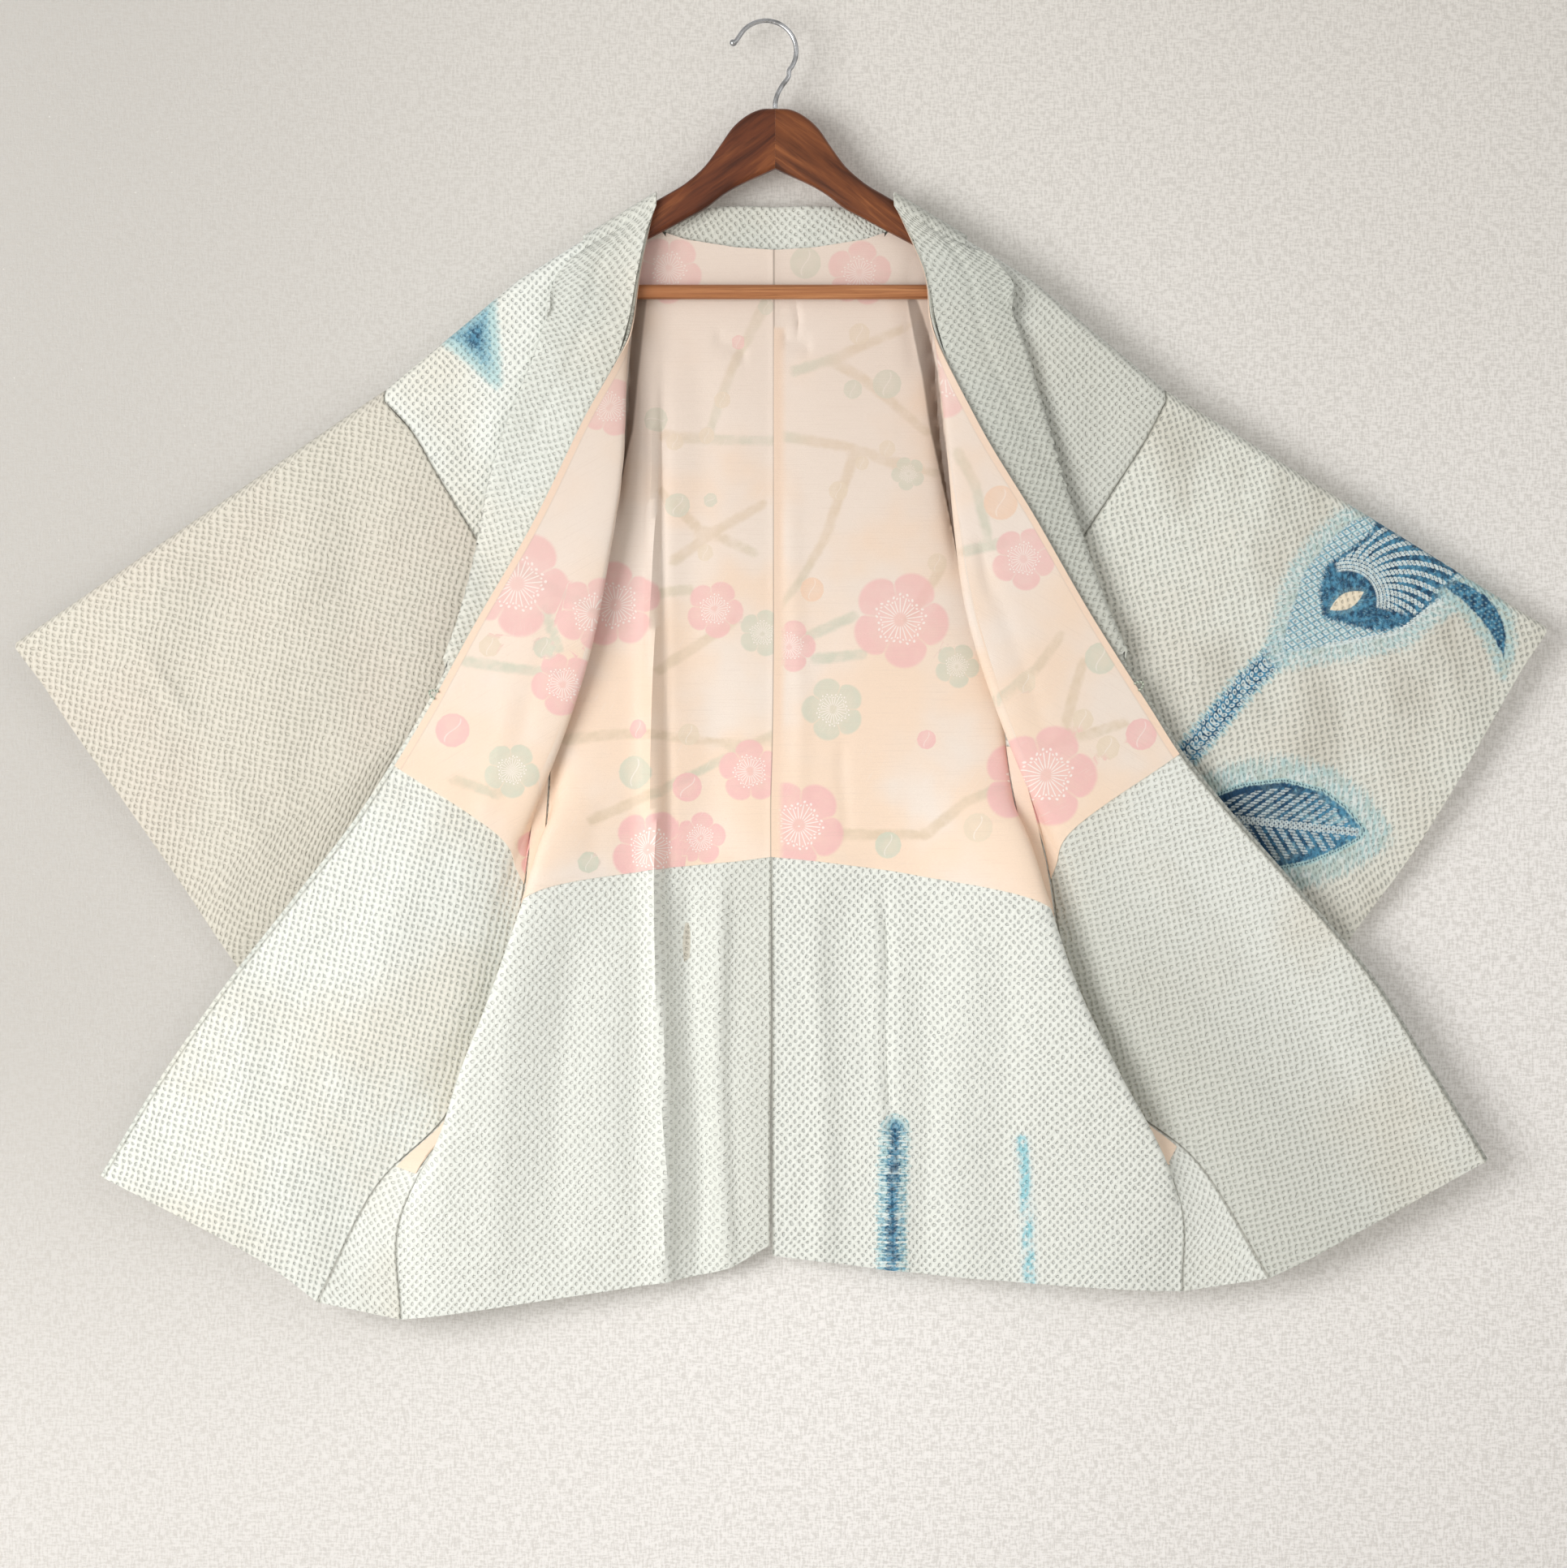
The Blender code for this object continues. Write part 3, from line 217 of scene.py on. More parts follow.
# How far the open collar reaches down the shoulder's slope, and the angle of its first section over the top.
SHOULDER_RUN, COLLAR_TOP_ANGLE = 0.85, 4.0
COLLAR_SHARES = (0.0, 0.307, 0.613, 0.92, 0.94, 0.955, 0.97, 0.985, 1.0)
# The collar round the neck. Columns: distance from the middle, y, z of its seam, height of the inner leaf,
# direction of the outer leaf (x, z) on the left side.
COLLAR_NECK = (
    (91.5, 0.0, -131.4, 0.0, (-0.853, -0.522)), (91.5, 4.65, -132.6, 0.0, (-0.853, -0.522)),
    (91.5, 8.05, -136.0, 0.0, (-0.853, -0.522)), (91.3, 9.3, -140.7, 1.5, (-0.83, -0.56)),
    (88.5, 9.5, -150.0, 7.0, (-0.72, -0.69)), (81.0, 9.5, -158.7, 14.0, (-0.52, -0.85)),
    (60.0, 9.5, -164.5, 24.0, (-0.22, -0.975)), (30.0, 9.5, -169.0, 30.0, (-0.06, -0.998)),
    (0.0, 9.5, -171.0, 31.0, (0.0, -1.0)),
)

# A tie loop: half its length, its reach past the edge, its cord's radius, and t of its middle.
LOOP_HALF, LOOP_REACH, LOOP_CORD = 3.0, 6.0, 0.9
LOOP_T, LOOP_STEP, LOOP_SUNK = 0.475, 0.005, 1.0
# Its cord's sides and turns, and how far the strands swell it.
LOOP_SIDES, LOOP_TURNS, LOOP_SWELL = 16, 14.0, 0.14

# Hanger
HOOK_RADIUS, HOOK_WIRE = 23.0, 1.8
# The hook's wire from its tip to the wood, as (x, z); the crown between them is an arc.
HOOK_CENTRE_Z = -HOOK_RADIUS - HOOK_WIRE
HOOK_ARC, HOOK_KNOTS = (150.0, -40.0), 22
HOOK_TIP = ((-27.5, -15.3), (-23.4, -14.3))
HOOK_STEM = ((17.0, -41.0), (12.0, -48.0), (8.6, -54.5), (7.2, -60.0), (7.0, -64.5))
# Columns: distance from the middle, height.
WOOD_UPPER = (
    (0.3, -65.0), (11, -65.5), (22, -70.5), (33, -80.3), (42, -93.2), (52, -107.0), (66, -120.0),
    (83, -130.6), (91.5, -135.5), (136, -162.8), (198, -202.6),
)
WOOD_LOWER = (
    (0.3, -110.6), (39, -130.0), (52, -139.8), (68, -148.7), (102, -166.6), (149, -193.4), (198, -220.6),
)
BAR_RADIUS, BAR_Z, BAR_END = 5.5, -203.8, 182.0

# Sampling. T runs from the shoulder (0) to the hem (1), U across a panel, S along a sleeve and V down it. Above
# ARC_T a panel passes over the shoulder.
ARC_T, NEAR_SHARE = 0.018, 0.3
PANEL_ROWS, PANEL_COLUMNS_PER_GUIDE = 150, 20
SLEEVE_ROWS, SLEEVE_COLUMNS, SLEEVE_FOLD_ROWS = 84, 96, 15

# Soft creases on a panel, as ridges towards the viewer (troughs below zero).
# Columns: x and z of one end, x and z of the other, half width, height.
BACK_CREASES = (
    (120, -200, 147, -425, 4.5, -5.0), (-97, -180, -114, -390, 4, -5.0), (-87, -230, -84, -770, 3.0, 4.2),
    (-79, -230, -76, -770, 5.0, -3.2), (-84, -620, -74, -985, 4.5, 5.5), (-60, -620, -54, -990, 11.0, -6.0),
    (-51, -216, -56, -536, 14, -1.6), (9, -235, 37, -248, 3, -2.6), (-41, -233, -12, -255, 3.5, -2.4),
    (23, -211, 25, -236, 2.5, -1.8), (108, -167, 113, -272, 6, -1.8), (-84, -168, -87, -210, 3, -1.2),
    (88, -640, 97, -870, 5, -5.0), (71, -615, 73, -830, 20, -3.0), (-25, -612, -22, -955, 16, -3.2),
    (-36, -620, -32, -985, 6, 4.0), (145, -651, 151, -985, 14, 2.8), (176, -664, 190, -985, 10, -2.4),
    (41, -633, 42, -985, 9, 2.2), (118, -690, 124, -985, 8, -1.8), (-112, -640, -110, -985, 13, 2.4),
    (-150, -645, -158, -985, 12, -2.4), (-187, -690, -211, -967, 10, 2.0), (22, -327, 25, -622, 7, 0.9),
    (59, -536, 60, -628, 5, -1.0), (-125, -585, -132, -647, 8, -1.0),
)
SLEEVE_CREASES = {
    LEFT: (
        (-497, -449, -424, -540, 6, 2.5), (-397, -364, -458, -499, 14, -1.6), (-323, -327, -378, -474, 16, 1.5),
        (-424, -540, -378, -647, 9, 1.2), (-273, -302, -292, -413, 10, 1.2),
    ),
    RIGHT: (
        (429, -376, 380, -450, 12, 1.3), (343, -327, 330, -413, 12, -1.4), (392, -474, 435, -573, 14, 1.2),
        (515, -450, 466, -573, 12, -1.3), (466, -413, 460, -474, 8, 0.8),
    ),
}
SHOULDER_CREASES = {
    LEFT: (
        (-187, -240, -212, -327, 8, 1.2), (-236, -253, -224, -351, 8, -1.2), (-169, -185, -206, -253, 9, 1.5),
    ),
    RIGHT: (
        (182, -180, 216, -243, 7, 2.5), (216, -243, 238, -351, 9, 1.2), (244, -246, 269, -327, 12, -1.6),
        (281, -271, 263, -376, 9, 1.4),
    ),
}
LAPEL_CREASES = {
    LEFT: (
        (-230, -560, -330, -780, 10, 1.0), (-300, -640, -420, -880, 12, -1.2), (-150, -420, -190, -560, 6, -1.0),
        (-260, -700, -380, -900, 9, 1.0), (-190, -490, -215, -620, 5, 0.9),
    ),
    RIGHT: (
        (260, -560, 380, -800, 10, 1.0), (330, -640, 470, -860, 12, -1.2), (160, -380, 215, -560, 6, -1.0),
        (157, -388, 172, -440, 4, -1.4), (290, -700, 420, -880, 9, 1.0),
    ),
}
# A crease tapers over this share of its length, and sways by a share of its width in a wave.
CREASE_TAPER, CREASE_SWAY, CREASE_WAVE = 0.22, 0.35, 7.0
SEAM_TUCK, SEAM_TUCK_WIDTH = 0.5, 3.5
# Where creases grow in from calm edges: a front's edge and side seam (u) and the shoulder (t), a back's centre seam
# (mm) and side seam (u), and a sleeve's body seam and cuff (s), top (v) and lower edge (v).
EDGE_CALM, SIDE_CALM, SHOULDER_CALM = 0.3, 0.4, 0.07
CENTRE_CALM, BACK_SIDE_CALM = 9.0, 0.35
SLEEVE_SEAM_CALM, CUFF_CALM, SLEEVE_TOP_CALM, SLEEVE_END_CALM = 0.10, 0.05, (0.045, 0.12), 0.05
# Where a front's two sets of creases show: stretches of u (or below zero, of -u) and of t, each from none to full.
SHOULDER_PART = ((1.1, 1.6), (-0.55, -0.42))
LAPEL_PART = ((-1.0, -0.75), (0.5, 0.6))


def unit(vectors):
    """Vectors at length one."""
    return vectors / np.linalg.norm(vectors, axis=-1, keepdims=True)


def xyz(x, y, z):
    """Points from their coordinates, spread to one shape."""
    return np.stack(np.broadcast_arrays(x, y, z), axis=-1)


def run_along(points, axis=0):
    """How far each point of a line, or of a grid's lines along an axis, lies from the line's first point."""
    steps = np.linalg.norm(np.diff(points, axis=axis), axis=-1)
    return np.insert(np.cumsum(steps, axis=axis), 0, 0.0, axis=axis)


def turned(points, degrees):
    """Points (x, z) turned anticlockwise about the origin."""
    angle = math.radians(degrees)
    c, s = math.cos(angle), math.sin(angle)
    return points @ np.array(((c, s), (-s, c)))


def curve_through(knots, points, at):
    """Points at the values `at` on the smooth curve that passes through `points` at `knots`: cubic pieces whose
    slope at each knot is the mean of its neighbours', weighted by the other's length."""
    knots, points, at = (np.asarray(v, float) for v in (knots, points, at))
    flat = points.reshape(len(knots), -1)
    step = np.diff(knots)[:, None]
    slope = np.diff(flat, axis=0) / step
    tangent = np.empty_like(flat)
    tangent[0], tangent[-1] = slope[0], slope[-1]
    if len(knots) > 2:
        tangent[1:-1] = (slope[:-1] * step[1:] + slope[1:] * step[:-1]) / (step[1:] + step[:-1])
    i = np.clip(np.searchsorted(knots, at, side="right") - 1, 0, len(knots) - 2)
    h = step[i]
    s = ((at - knots[i]) / h[:, 0])[:, None]
    value = (
        flat[i] * (1 + 2 * s) * (1 - s) ** 2
        + tangent[i] * h * s * (1 - s) ** 2
        + flat[i + 1] * s**2 * (3 - 2 * s)
        + tangent[i + 1] * h * s**2 * (s - 1)
    )
    return value.reshape((len(at),) + points.shape[1:])


def shoulder_height(distance):
    """Height of the shoulder fold at a distance from the middle."""
    return np.interp(distance, *zip(*SHOULDER))


def across(table, u):
    """Every section of a table at the guide positions u, as an array of (section, u, xyz). The guide points lie
    apart on the curve by the square root of their distance."""
    sections = []
    for _, *points in table:
        lengths = np.linalg.norm(np.diff(points, axis=0), axis=1)
        knots = np.concatenate([[0], np.cumsum(np.sqrt(lengths))])
        sections.append(curve_through(knots, points, np.interp(u, range(len(points)), knots)))
    return np.array(sections)


def panel(table, top, over_shoulder, side, y_sign, u, t):
    """The outer face of a front or back on the grid (t, u). Above ARC_T a column that starts on the shoulder is a
    quarter circle over the fold; the others drop from the neck seam. Below, smooth curves join the sections."""
    t = np.asarray(t, float)
    sections = across(table, u)
    reach = MIDDLE_X + SIGN[side] * np.abs(top[:, 0] - MIDDLE_X)
    fold_z = shoulder_height(np.abs(top[:, 0] - MIDDLE_X))
    fold_end = xyz(reach, y_sign * SHOULDER_RADIUS, fold_z - SHOULDER_RADIUS)
    first = np.where(over_shoulder[:, None], fold_end, top - (0, 0, NECK_ALLOWANCE))
    knots = [ARC_T] + [row[0] for row in table]
    face = curve_through(knots, np.concatenate([first[None], sections]), np.maximum(t, ARC_T))
    upper = t < ARC_T
    least = SEAM_GAP / 2 / SHOULDER_RADIUS
    angle = (least + (math.pi / 2 - least) * t[upper] / ARC_T)[:, None]
    arc = xyz(reach, y_sign * SHOULDER_RADIUS * np.sin(angle), fold_z - SHOULDER_RADIUS * (1 - np.cos(angle)))
    drop = first + (np.array((0, 0, NECK_ALLOWANCE)) * (1 - t[upper] / ARC_T)[:, None, None])
    face[upper] = np.where(over_shoulder[None, :, None], arc, drop)
    return face


def front_face(side, u, t):
    """The outer face of a front; u runs from the collar edge (0) to the side seam (3)."""
    distance = curve_through(range(4), np.array(FRONT_TOP)[:, None], u)[:, 0]
    x = MIDDLE_X + SIGN[side] * distance
    top = xyz(x, 0.0, shoulder_height(distance))
    return panel(FRONT[side], top, np.ones(len(u), bool), side, -1, u, t)


def back_top(side, u):
    """The upper end of each column of a back, and whether it starts on the shoulder fold."""
    neck = u <= BACK_NECK_LINE
    neck_x = np.interp(u, (0, 1, BACK_NECK_LINE), (MIDDLE_X - CENTRE_TOP_X, NECK[1][0], NECK[-1][0]))
    shoulder_x = np.interp(u, (BACK_NECK_LINE, 3, 4), (NECK_POINT, SHOULDER[3][0], SHOULDER[-1][0]))
    x = MIDDLE_X + SIGN[side] * np.where(neck, neck_x, shoulder_x)
    x[u == 0] = CENTRE_TOP_X
    z = np.where(neck, np.interp(neck_x, *zip(*NECK)), shoulder_height(shoulder_x))
    return xyz(x, np.where(neck, NECK_DEPTH, 0.0), z), ~neck


def fold_height(x, z):
    """How far the largest folds of the backs stand towards the viewer: bell curves across each fold's line, growing
    over the first share of its length."""
    height = np.zeros_like(x)
    for x0, z0, x1, z1, half_width, most in BACK_FOLDS:
        along = (z - z0) / (z1 - z0)
        middle = x0 + (x1 - x0) * along
        grow = np.clip(along / FOLD_GROWTH, 0, 1)
        height += most * grow**2 * (3 - 2 * grow) * np.exp(-(((x - middle) / half_width) ** 2))
    return height


def crease_height(x, z, creases):
    """How far soft creases stand out: a bell curve across each line from end to end, tapering at both ends."""
    height = np.zeros_like(x)
    for x0, z0, x1, z1, half_width, most in creases:
        length = math.hypot(x1 - x0, z1 - z0)
        ax, az = (x1 - x0) / length, (z1 - z0) / length
        along = ((x - x0) * ax + (z - z0) * az) / length
        off = (x - x0) * az - (z - z0) * ax
        off = off + half_width * CREASE_SWAY * np.sin(along * CREASE_WAVE + x0)
        ends = np.clip(along / CREASE_TAPER, 0, 1) * np.clip((1 - along) / CREASE_TAPER, 0, 1)
        height += most * ends**2 * (3 - 2 * ends) * np.exp(-((off / half_width) ** 2))
    return height


def back_face(side, u, t):
    """The outer face of a back; u runs from the centre seam (0) to the side seam (4)."""
    top, over_shoulder = back_top(side, u)
    face = panel(BACK[side], top, over_shoulder, side, 1, u, t)
    keep_seam = np.clip(np.abs(face[..., 0] - MIDDLE_X) / SEAM_FLAT, 0, 1)
    keep_seam = keep_seam * np.clip((3.0 - u) / RIDGE_FLAT, 0, 1)
    face[..., 1] -= fold_height(face[..., 0], face[..., 2]) * keep_seam
    return face


def normals(face, outward):
    """Unit normals at the points of a grid: the mean of the cells round each point. `outward` is +1 or -1."""
    cells = np.cross(face[1:, 1:] - face[:-1, :-1], face[1:, :-1] - face[:-1, 1:]) * outward
    cells /= np.maximum(np.linalg.norm(cells, axis=-1, keepdims=True), TINY)
    n = np.zeros_like(face)
    for corner in (n[:-1, :-1], n[:-1, 1:], n[1:, :-1], n[1:, 1:]):
        corner += cells
    return n / np.maximum(np.linalg.norm(n, axis=-1, keepdims=True), TINY)


def inset(face, first=SEAM_GAP / 2, last=SEAM_GAP / 2):
    """The same grid with its first and last columns drawn in for the seams."""
    face = face.copy()
    for column, neighbour, gap in ((0, 1, first), (-1, -2, last)):
        step = face[:, neighbour] - face[:, column]
        face[:, column] += step * gap / np.linalg.norm(step, axis=1, keepdims=True)
    return face


def seam_mitre(a, b):
    """The inward direction shared by two walls at their seam, from their unit normals."""
    lean = np.maximum(1 + (a * b).sum(axis=-1, keepdims=True), SHARPEST_MITRE)
    return (a + b) / lean


def level(n):
    """Takes the depth out of the directions along a shoulder fold, so front and back stay apart there."""
    n[:, 1] = 0
    n /= np.linalg.norm(n, axis=-1, keepdims=True)


def sample(first, last, steps, exact):
    """Even positions from first to last, with the exact ones kept and near neighbours of them left out: those
    within a share of a step."""
    even = np.linspace(first, last, steps + 1)
    exact = np.array(sorted({first, last, *exact}))
    near = np.abs(even[:, None] - exact[None]).min(axis=1) < NEAR_SHARE * (last - first) / steps
    return np.sort(np.concatenate([even[~near], exact]))


def cloth_metres(face):
    """Cloth coordinates of a grid, in metres: the length along each row, and down each column."""
    return np.stack([run_along(face, 1), run_along(face)], axis=-1) * MM


def flat_metres(face, grain, arc_rows):
    """Cloth coordinates, in metres, of a panel that hangs nearly flat: its place across and along the grain, which
    leans by an angle for each point. The rows over the shoulder follow the length round the fold instead."""
    x, z = face[..., 0], face[..., 2]
    u = x * np.cos(grain) + z * np.sin(grain)
    v = x * np.sin(grain) - z * np.cos(grain)
    for row in range(arc_rows - 1, -1, -1):
        v[row] = v[row + 1] - np.linalg.norm(face[row + 1] - face[row], axis=-1)
    return np.stack([u, v], axis=-1) * MM


def closed_mesh(name, verts, faces, metres, attributes=None, smooth_angle=SMOOTH_ANGLE):
    """A closed mesh from points in millimetres and faces as index arrays, turned outwards by its volume's sign, with
    the UV map `cloth` in metres and one vector attribute for each name."""
    used, faces_flat = np.unique(np.concatenate([f.ravel() for f in faces]), return_inverse=True)
    verts, metres = np.asarray(verts)[used] * MM, np.asarray(metres)[used]
    split = np.cumsum([f.size for f in faces])[:-1]
    faces = [part.reshape(f.shape) for part, f in zip(np.split(faces_flat, split), faces)]
    volume = 0.0
    for f in faces:
        for k in range(1, f.shape[1] - 1):
            a, b, c = verts[f[:, 0]], verts[f[:, k]], verts[f[:, k + 1]]
            volume += (a * np.cross(b, c)).sum()
    if volume < 0:
        faces = [f[:, ::-1] for f in faces]
    mesh = bpy.data.meshes.new(name)
    mesh.from_pydata(verts, [], [tuple(row) for f in faces for row in f.tolist()])
    mesh.polygons.foreach_set("use_smooth", np.ones(len(mesh.polygons), bool))
    layer = mesh.uv_layers.new(name="cloth")
    corner = np.empty(len(mesh.loops), np.int32)
    mesh.loops.foreach_get("vertex_index", corner)
    layer.data.foreach_set("uv", metres[corner].astype(np.float32).ravel())
    for key, values in (attributes or {}).items():
        field = mesh.attributes.new(key, "FLOAT_VECTOR", "POINT")
        field.data.foreach_set("vector", np.asarray(values, np.float32).reshape(-1, 3)[used].ravel())
    mesh.set_sharp_from_angle(angle=math.radians(smooth_angle))
    mesh.update()
    item = bpy.data.objects.new(name, mesh)
    bpy.context.scene.collection.objects.link(item)
    return item


def shell(name, near, far, metres, attributes=None, left_out=None):
    """A closed thin shell between two grids of points: both grids' cells, and a rim wherever a cell has no
    neighbour. `left_out` marks cells that aren't there."""
    rows, columns = near.shape[:2]
    index = np.arange(rows * columns).reshape(rows, columns)
    quads = np.stack([index[:-1, :-1], index[:-1, 1:], index[1:, 1:], index[1:, :-1]], axis=-1)
    quads = quads[~left_out] if left_out is not None else quads.reshape(-1, 4)
    edges = np.concatenate([quads[:, (k, (k + 1) % 4)] for k in range(4)])
    _, inverse, count = np.unique(np.sort(edges, axis=1), axis=0, return_inverse=True, return_counts=True)
    rim = edges[count[inverse.ravel()] == 1]
    half = rows * columns
    walls = np.stack([rim[:, 1], rim[:, 0], rim[:, 0] + half, rim[:, 1] + half], axis=1)
    verts = np.concatenate([near.reshape(-1, 3), far.reshape(-1, 3)])
    both = {key: np.concatenate([v.reshape(-1, 3)] * 2) for key, v in (attributes or {}).items()}
    flat_metres = np.concatenate([metres.reshape(-1, 2)] * 2)
    return closed_mesh(name, verts, [quads, quads[:, ::-1] + half, walls], flat_metres, both)


def tube(name, path, radius, sides, up):
    """A round tube: a circle carried along a path, square to it, closed by a point at each end. The radius is one
    number, one for each point of the path, or one for each point of each circle."""
    path, radius = np.asarray(path, float), np.asarray(radius, float)
    if radius.ndim < 2:
        radius = np.broadcast_to(radius, (len(path),))[:, None]
    along = unit(np.gradient(path, axis=0))
    side = unit(np.cross(along, up))
    top = np.cross(side, along)
    angle = np.linspace(0, 2 * math.pi, sides, endpoint=False)
    ring = np.cos(angle)[None, :, None] * side[:, None] + np.sin(angle)[None, :, None] * top[:, None]
    return lofted(name, path[:, None] + ring * radius[..., None])


def lofted(name, rings, smooth_angle=SMOOTH_ANGLE):
    """A closed solid: cells between neighbouring rings of points, and a fan to the mean point at each end."""
    rows, sides = rings.shape[:2]
    index = np.arange(rows * sides).reshape(rows, sides)
    onward = np.roll(index, -1, axis=1)
    quads = np.stack([index[:-1], onward[:-1], onward[1:], index[1:]], axis=-1).reshape(-1, 4)
    first, last = rows * sides, rows * sides + 1
    caps = np.concatenate(
        [
            np.stack([onward[0], index[0], np.full(sides, first)], axis=1),
            np.stack([index[-1], onward[-1], np.full(sides, last)], axis=1),
        ]
    )
    verts = np.concatenate([rings.reshape(-1, 3), rings[0].mean(0)[None], rings[-1].mean(0)[None]])
    length = run_along(rings.mean(axis=1))
    girth = np.linalg.norm(rings - np.roll(rings, 1, axis=1), axis=2)
    girth[:, 0] = 0
    metres = np.stack([np.repeat(length[:, None], sides, axis=1), np.cumsum(girth, axis=1)], axis=-1) * MM
    flat = np.concatenate([metres.reshape(-1, 2), metres[0].mean(0)[None], metres[-1].mean(0)[None]])
    return closed_mesh(name, verts, [quads, caps], flat, smooth_angle=smooth_angle)


# The lining's print: motifs of one form and tint. Columns: x, z, radius, turn in degrees.
BLOSSOMS = {
    "back_left": {
        ("blossom", "pink"): (
            (-74, -186, 26, 20), (-39, -444, 22, 8), (-114, -441, 33, 50), (-12, -567, 24, -20), (-88, -626, 30, 12),
            (-50, -618, 20, 60),
        ),
        ("bud", "green"): (
            (-83, -300, 10, 70), (-67, -365, 10, 10), (-42, -361, 6, 40), (-99, -568, 14, 0), (-135, -636, 9, 0),
            (0, -214, 7, 0),
        ),
        ("bud", "pink"): ((-96, -535, 8, 0), (-60, -579, 12, 20), (-21, -241, 6, 0)),
        ("bud", "beige"): (
            (-46, -401, 7, 0), (-59, -539, 9, 0), (-33, -285, 7, 0), (-69, -317, 7, 0), (-45, -312, 7, 0),
        ),
        ("blossom", "green"): ((-3, -462, 18, 0),),
    },
    "back_right": {
        ("blossom", "pink"): (
            (71, -189, 25, -10), (102, -452, 37, 8), (18, -472, 20, 0), (25, -608, 35, 22), (200, -575, 36, 0),
        ),
        ("bud", "green"): ((30, -181, 13, 0), (92, -273, 12, 0), (66, -277, 8, 0), (93, -623, 11, 0)),
        ("blossom", "green"): ((108, -341, 13, 30), (51, -520, 24, 36), (145, -487, 17, 10)),
        ("bud", "pink"): ((122, -543, 8, 0),),
        ("bud", "beige"): (
            (130, -409, 8, 0), (92, -322, 7, 0), (55, -354, 8, 0), (73, -333, 6, 0), (71, -235, 9, 0),
            (161, -610, 12, 0),
        ),
        ("bud", "peach"): ((35, -429, 10, 0),),
    },
    "front_left": {
        ("blossom", "pink"): (
            (-187, -426, 40, 12), (-153, -501, 24, 30), (-131, -448, 28, 80), (-167, -628, 24, -12),
            (-118, -293, 22, 0),
        ),
        ("bud", "green"): ((-167, -474, 9, 0),),
        ("blossom", "green"): ((-192, -566, 21, 15),),
        ("bud", "beige"): ((-208, -473, 9, 0),),
        ("bud", "pink"): ((-236, -536, 14, 20),),
    },
    "front_right": {
        ("blossom", "pink"): ((136, -267, 34, 20), (194, -407, 24, 10), (212, -570, 38, 0)),
        ("bud", "green"): ((252, -482, 13, 0),),
        ("bud", "peach"): ((177, -365, 14, 0),),
        ("bud", "beige"): ((239, -528, 9, 0), (258, -549, 10, 0), (196, -500, 9, 0)),
        ("bud", "pink"): ((283, -539, 13, 0),),
    },
}
# Branches of the print, as points (x, z).
TWIGS = {
    "back_left": (
        ((-1, -213), (-25, -259), (-43, -310)), ((-80, -312), (-45, -315), (7, -316)),
        ((-80, -355), (-52, -382), (-9, -401)), ((-70, -407), (-39, -385), (-2, -364)), ((-84, -432), (-58, -429)),
        ((-82, -490), (-45, -467), (-24, -453)), ((-150, -543), (-113, -539), (-88, -539), (-39, -545), (5, -545)),
        ((-132, -604), (-88, -585), (-45, -564), (4, -539)),
    ),
    "back_right": (
        ((9, -312), (59, -320), (128, -341)), ((22, -263), (48, -255), (108, -229)),
        ((48, -255), (71, -267), (96, -287), (122, -310)),
        ((67, -327), (56, -358), (45, -390), (28, -419), (10, -444)), ((27, -467), (67, -449)),
        ((38, -482), (74, -478)), ((122, -615), (151, -591), (177, -580)), ((59, -615), (122, -615)),
        ((108, -453), (133, -413)), ((81, -327), (102, -336)),
    ),
    "front_left": (
        ((-187, -413), (-156, -432), (-125, -447)), ((-227, -484), (-187, -490), (-156, -493)),
        ((-167, -445), (-156, -475)), ((-236, -573), (-199, -585)), ((-187, -622), (-156, -598), (-125, -573)),
    ),
    "front_right": (
        ((151, -401), (179, -395)), ((176, -513), (204, -490), (222, -465)), ((226, -532), (233, -505), (239, -484)),
        ((207, -548), (244, -539), (271, -530)), ((145, -327), (158, -352), (167, -388)),
    ),
}
# Half a branch's width in mm, the share of it at the root, and how fast that share falls per mm.
TWIG_HALF_WIDTH, TWIG_ROOT, TWIG_THINNING = 2.6, 1.25, 0.004
# Deep folds in the back lining beside the fronts, darkened with painted shade. Columns: x, z, half width.
DEEP_FOLDS = {
    "back_left": (
        (-94, -205, 4.0), (-98, -240, 4.5), (-101, -265, 5.0), (-105, -306, 5.5), (-112, -347, 3.5), (-117, -388, 1.0),
    ),
    "back_right": (
        (111, -208, 4.0), (125, -265, 7.0), (130, -306, 6.5), (137, -347, 5.0), (145, -388, 3.5), (152, -432, 1.5),
    ),
}
# Linear colours of the print's tints.
TINTS = {
    "pink": (0.88, 0.50, 0.50),
    "green": (0.62, 0.66, 0.54),
    "beige": (0.80, 0.68, 0.52),
    "peach": (0.90, 0.62, 0.44),
}
FAR_AWAY = 999.0

# Dyed motifs. Outlines and lines are points (x, z).
FLOWER_EYE, FLOWER_TILT = (440, -438), 28.0
FLOWER = (
    (443, -378), (459, -372), (530, -417), (535, -426), (516, -436), (504, -443), (480, -462), (457, -467),
    (427, -472), (390, -477), (396, -452), (408, -415), (425, -394),
)
FLOWER_HEART = (
    (424, -411), (437, -402), (455, -390), (465, -376), (526, -414), (514, -431), (488, -456), (465, -461),
    (437, -455), (422, -451), (419, -429),
)
FLOWER_TAIL = ((520, -427), (544, -432), (556, -446), (563, -484), (550, -464), (539, -452), (527, -444))
LEAF = (
    (330, -592), (360, -579), (393, -575), (423, -583), (440, -596), (455, -614), (436, -625), (412, -635),
    (387, -640), (360, -632), (340, -606),
)
LEAF_RIB = ((345, -602), (455, -614))
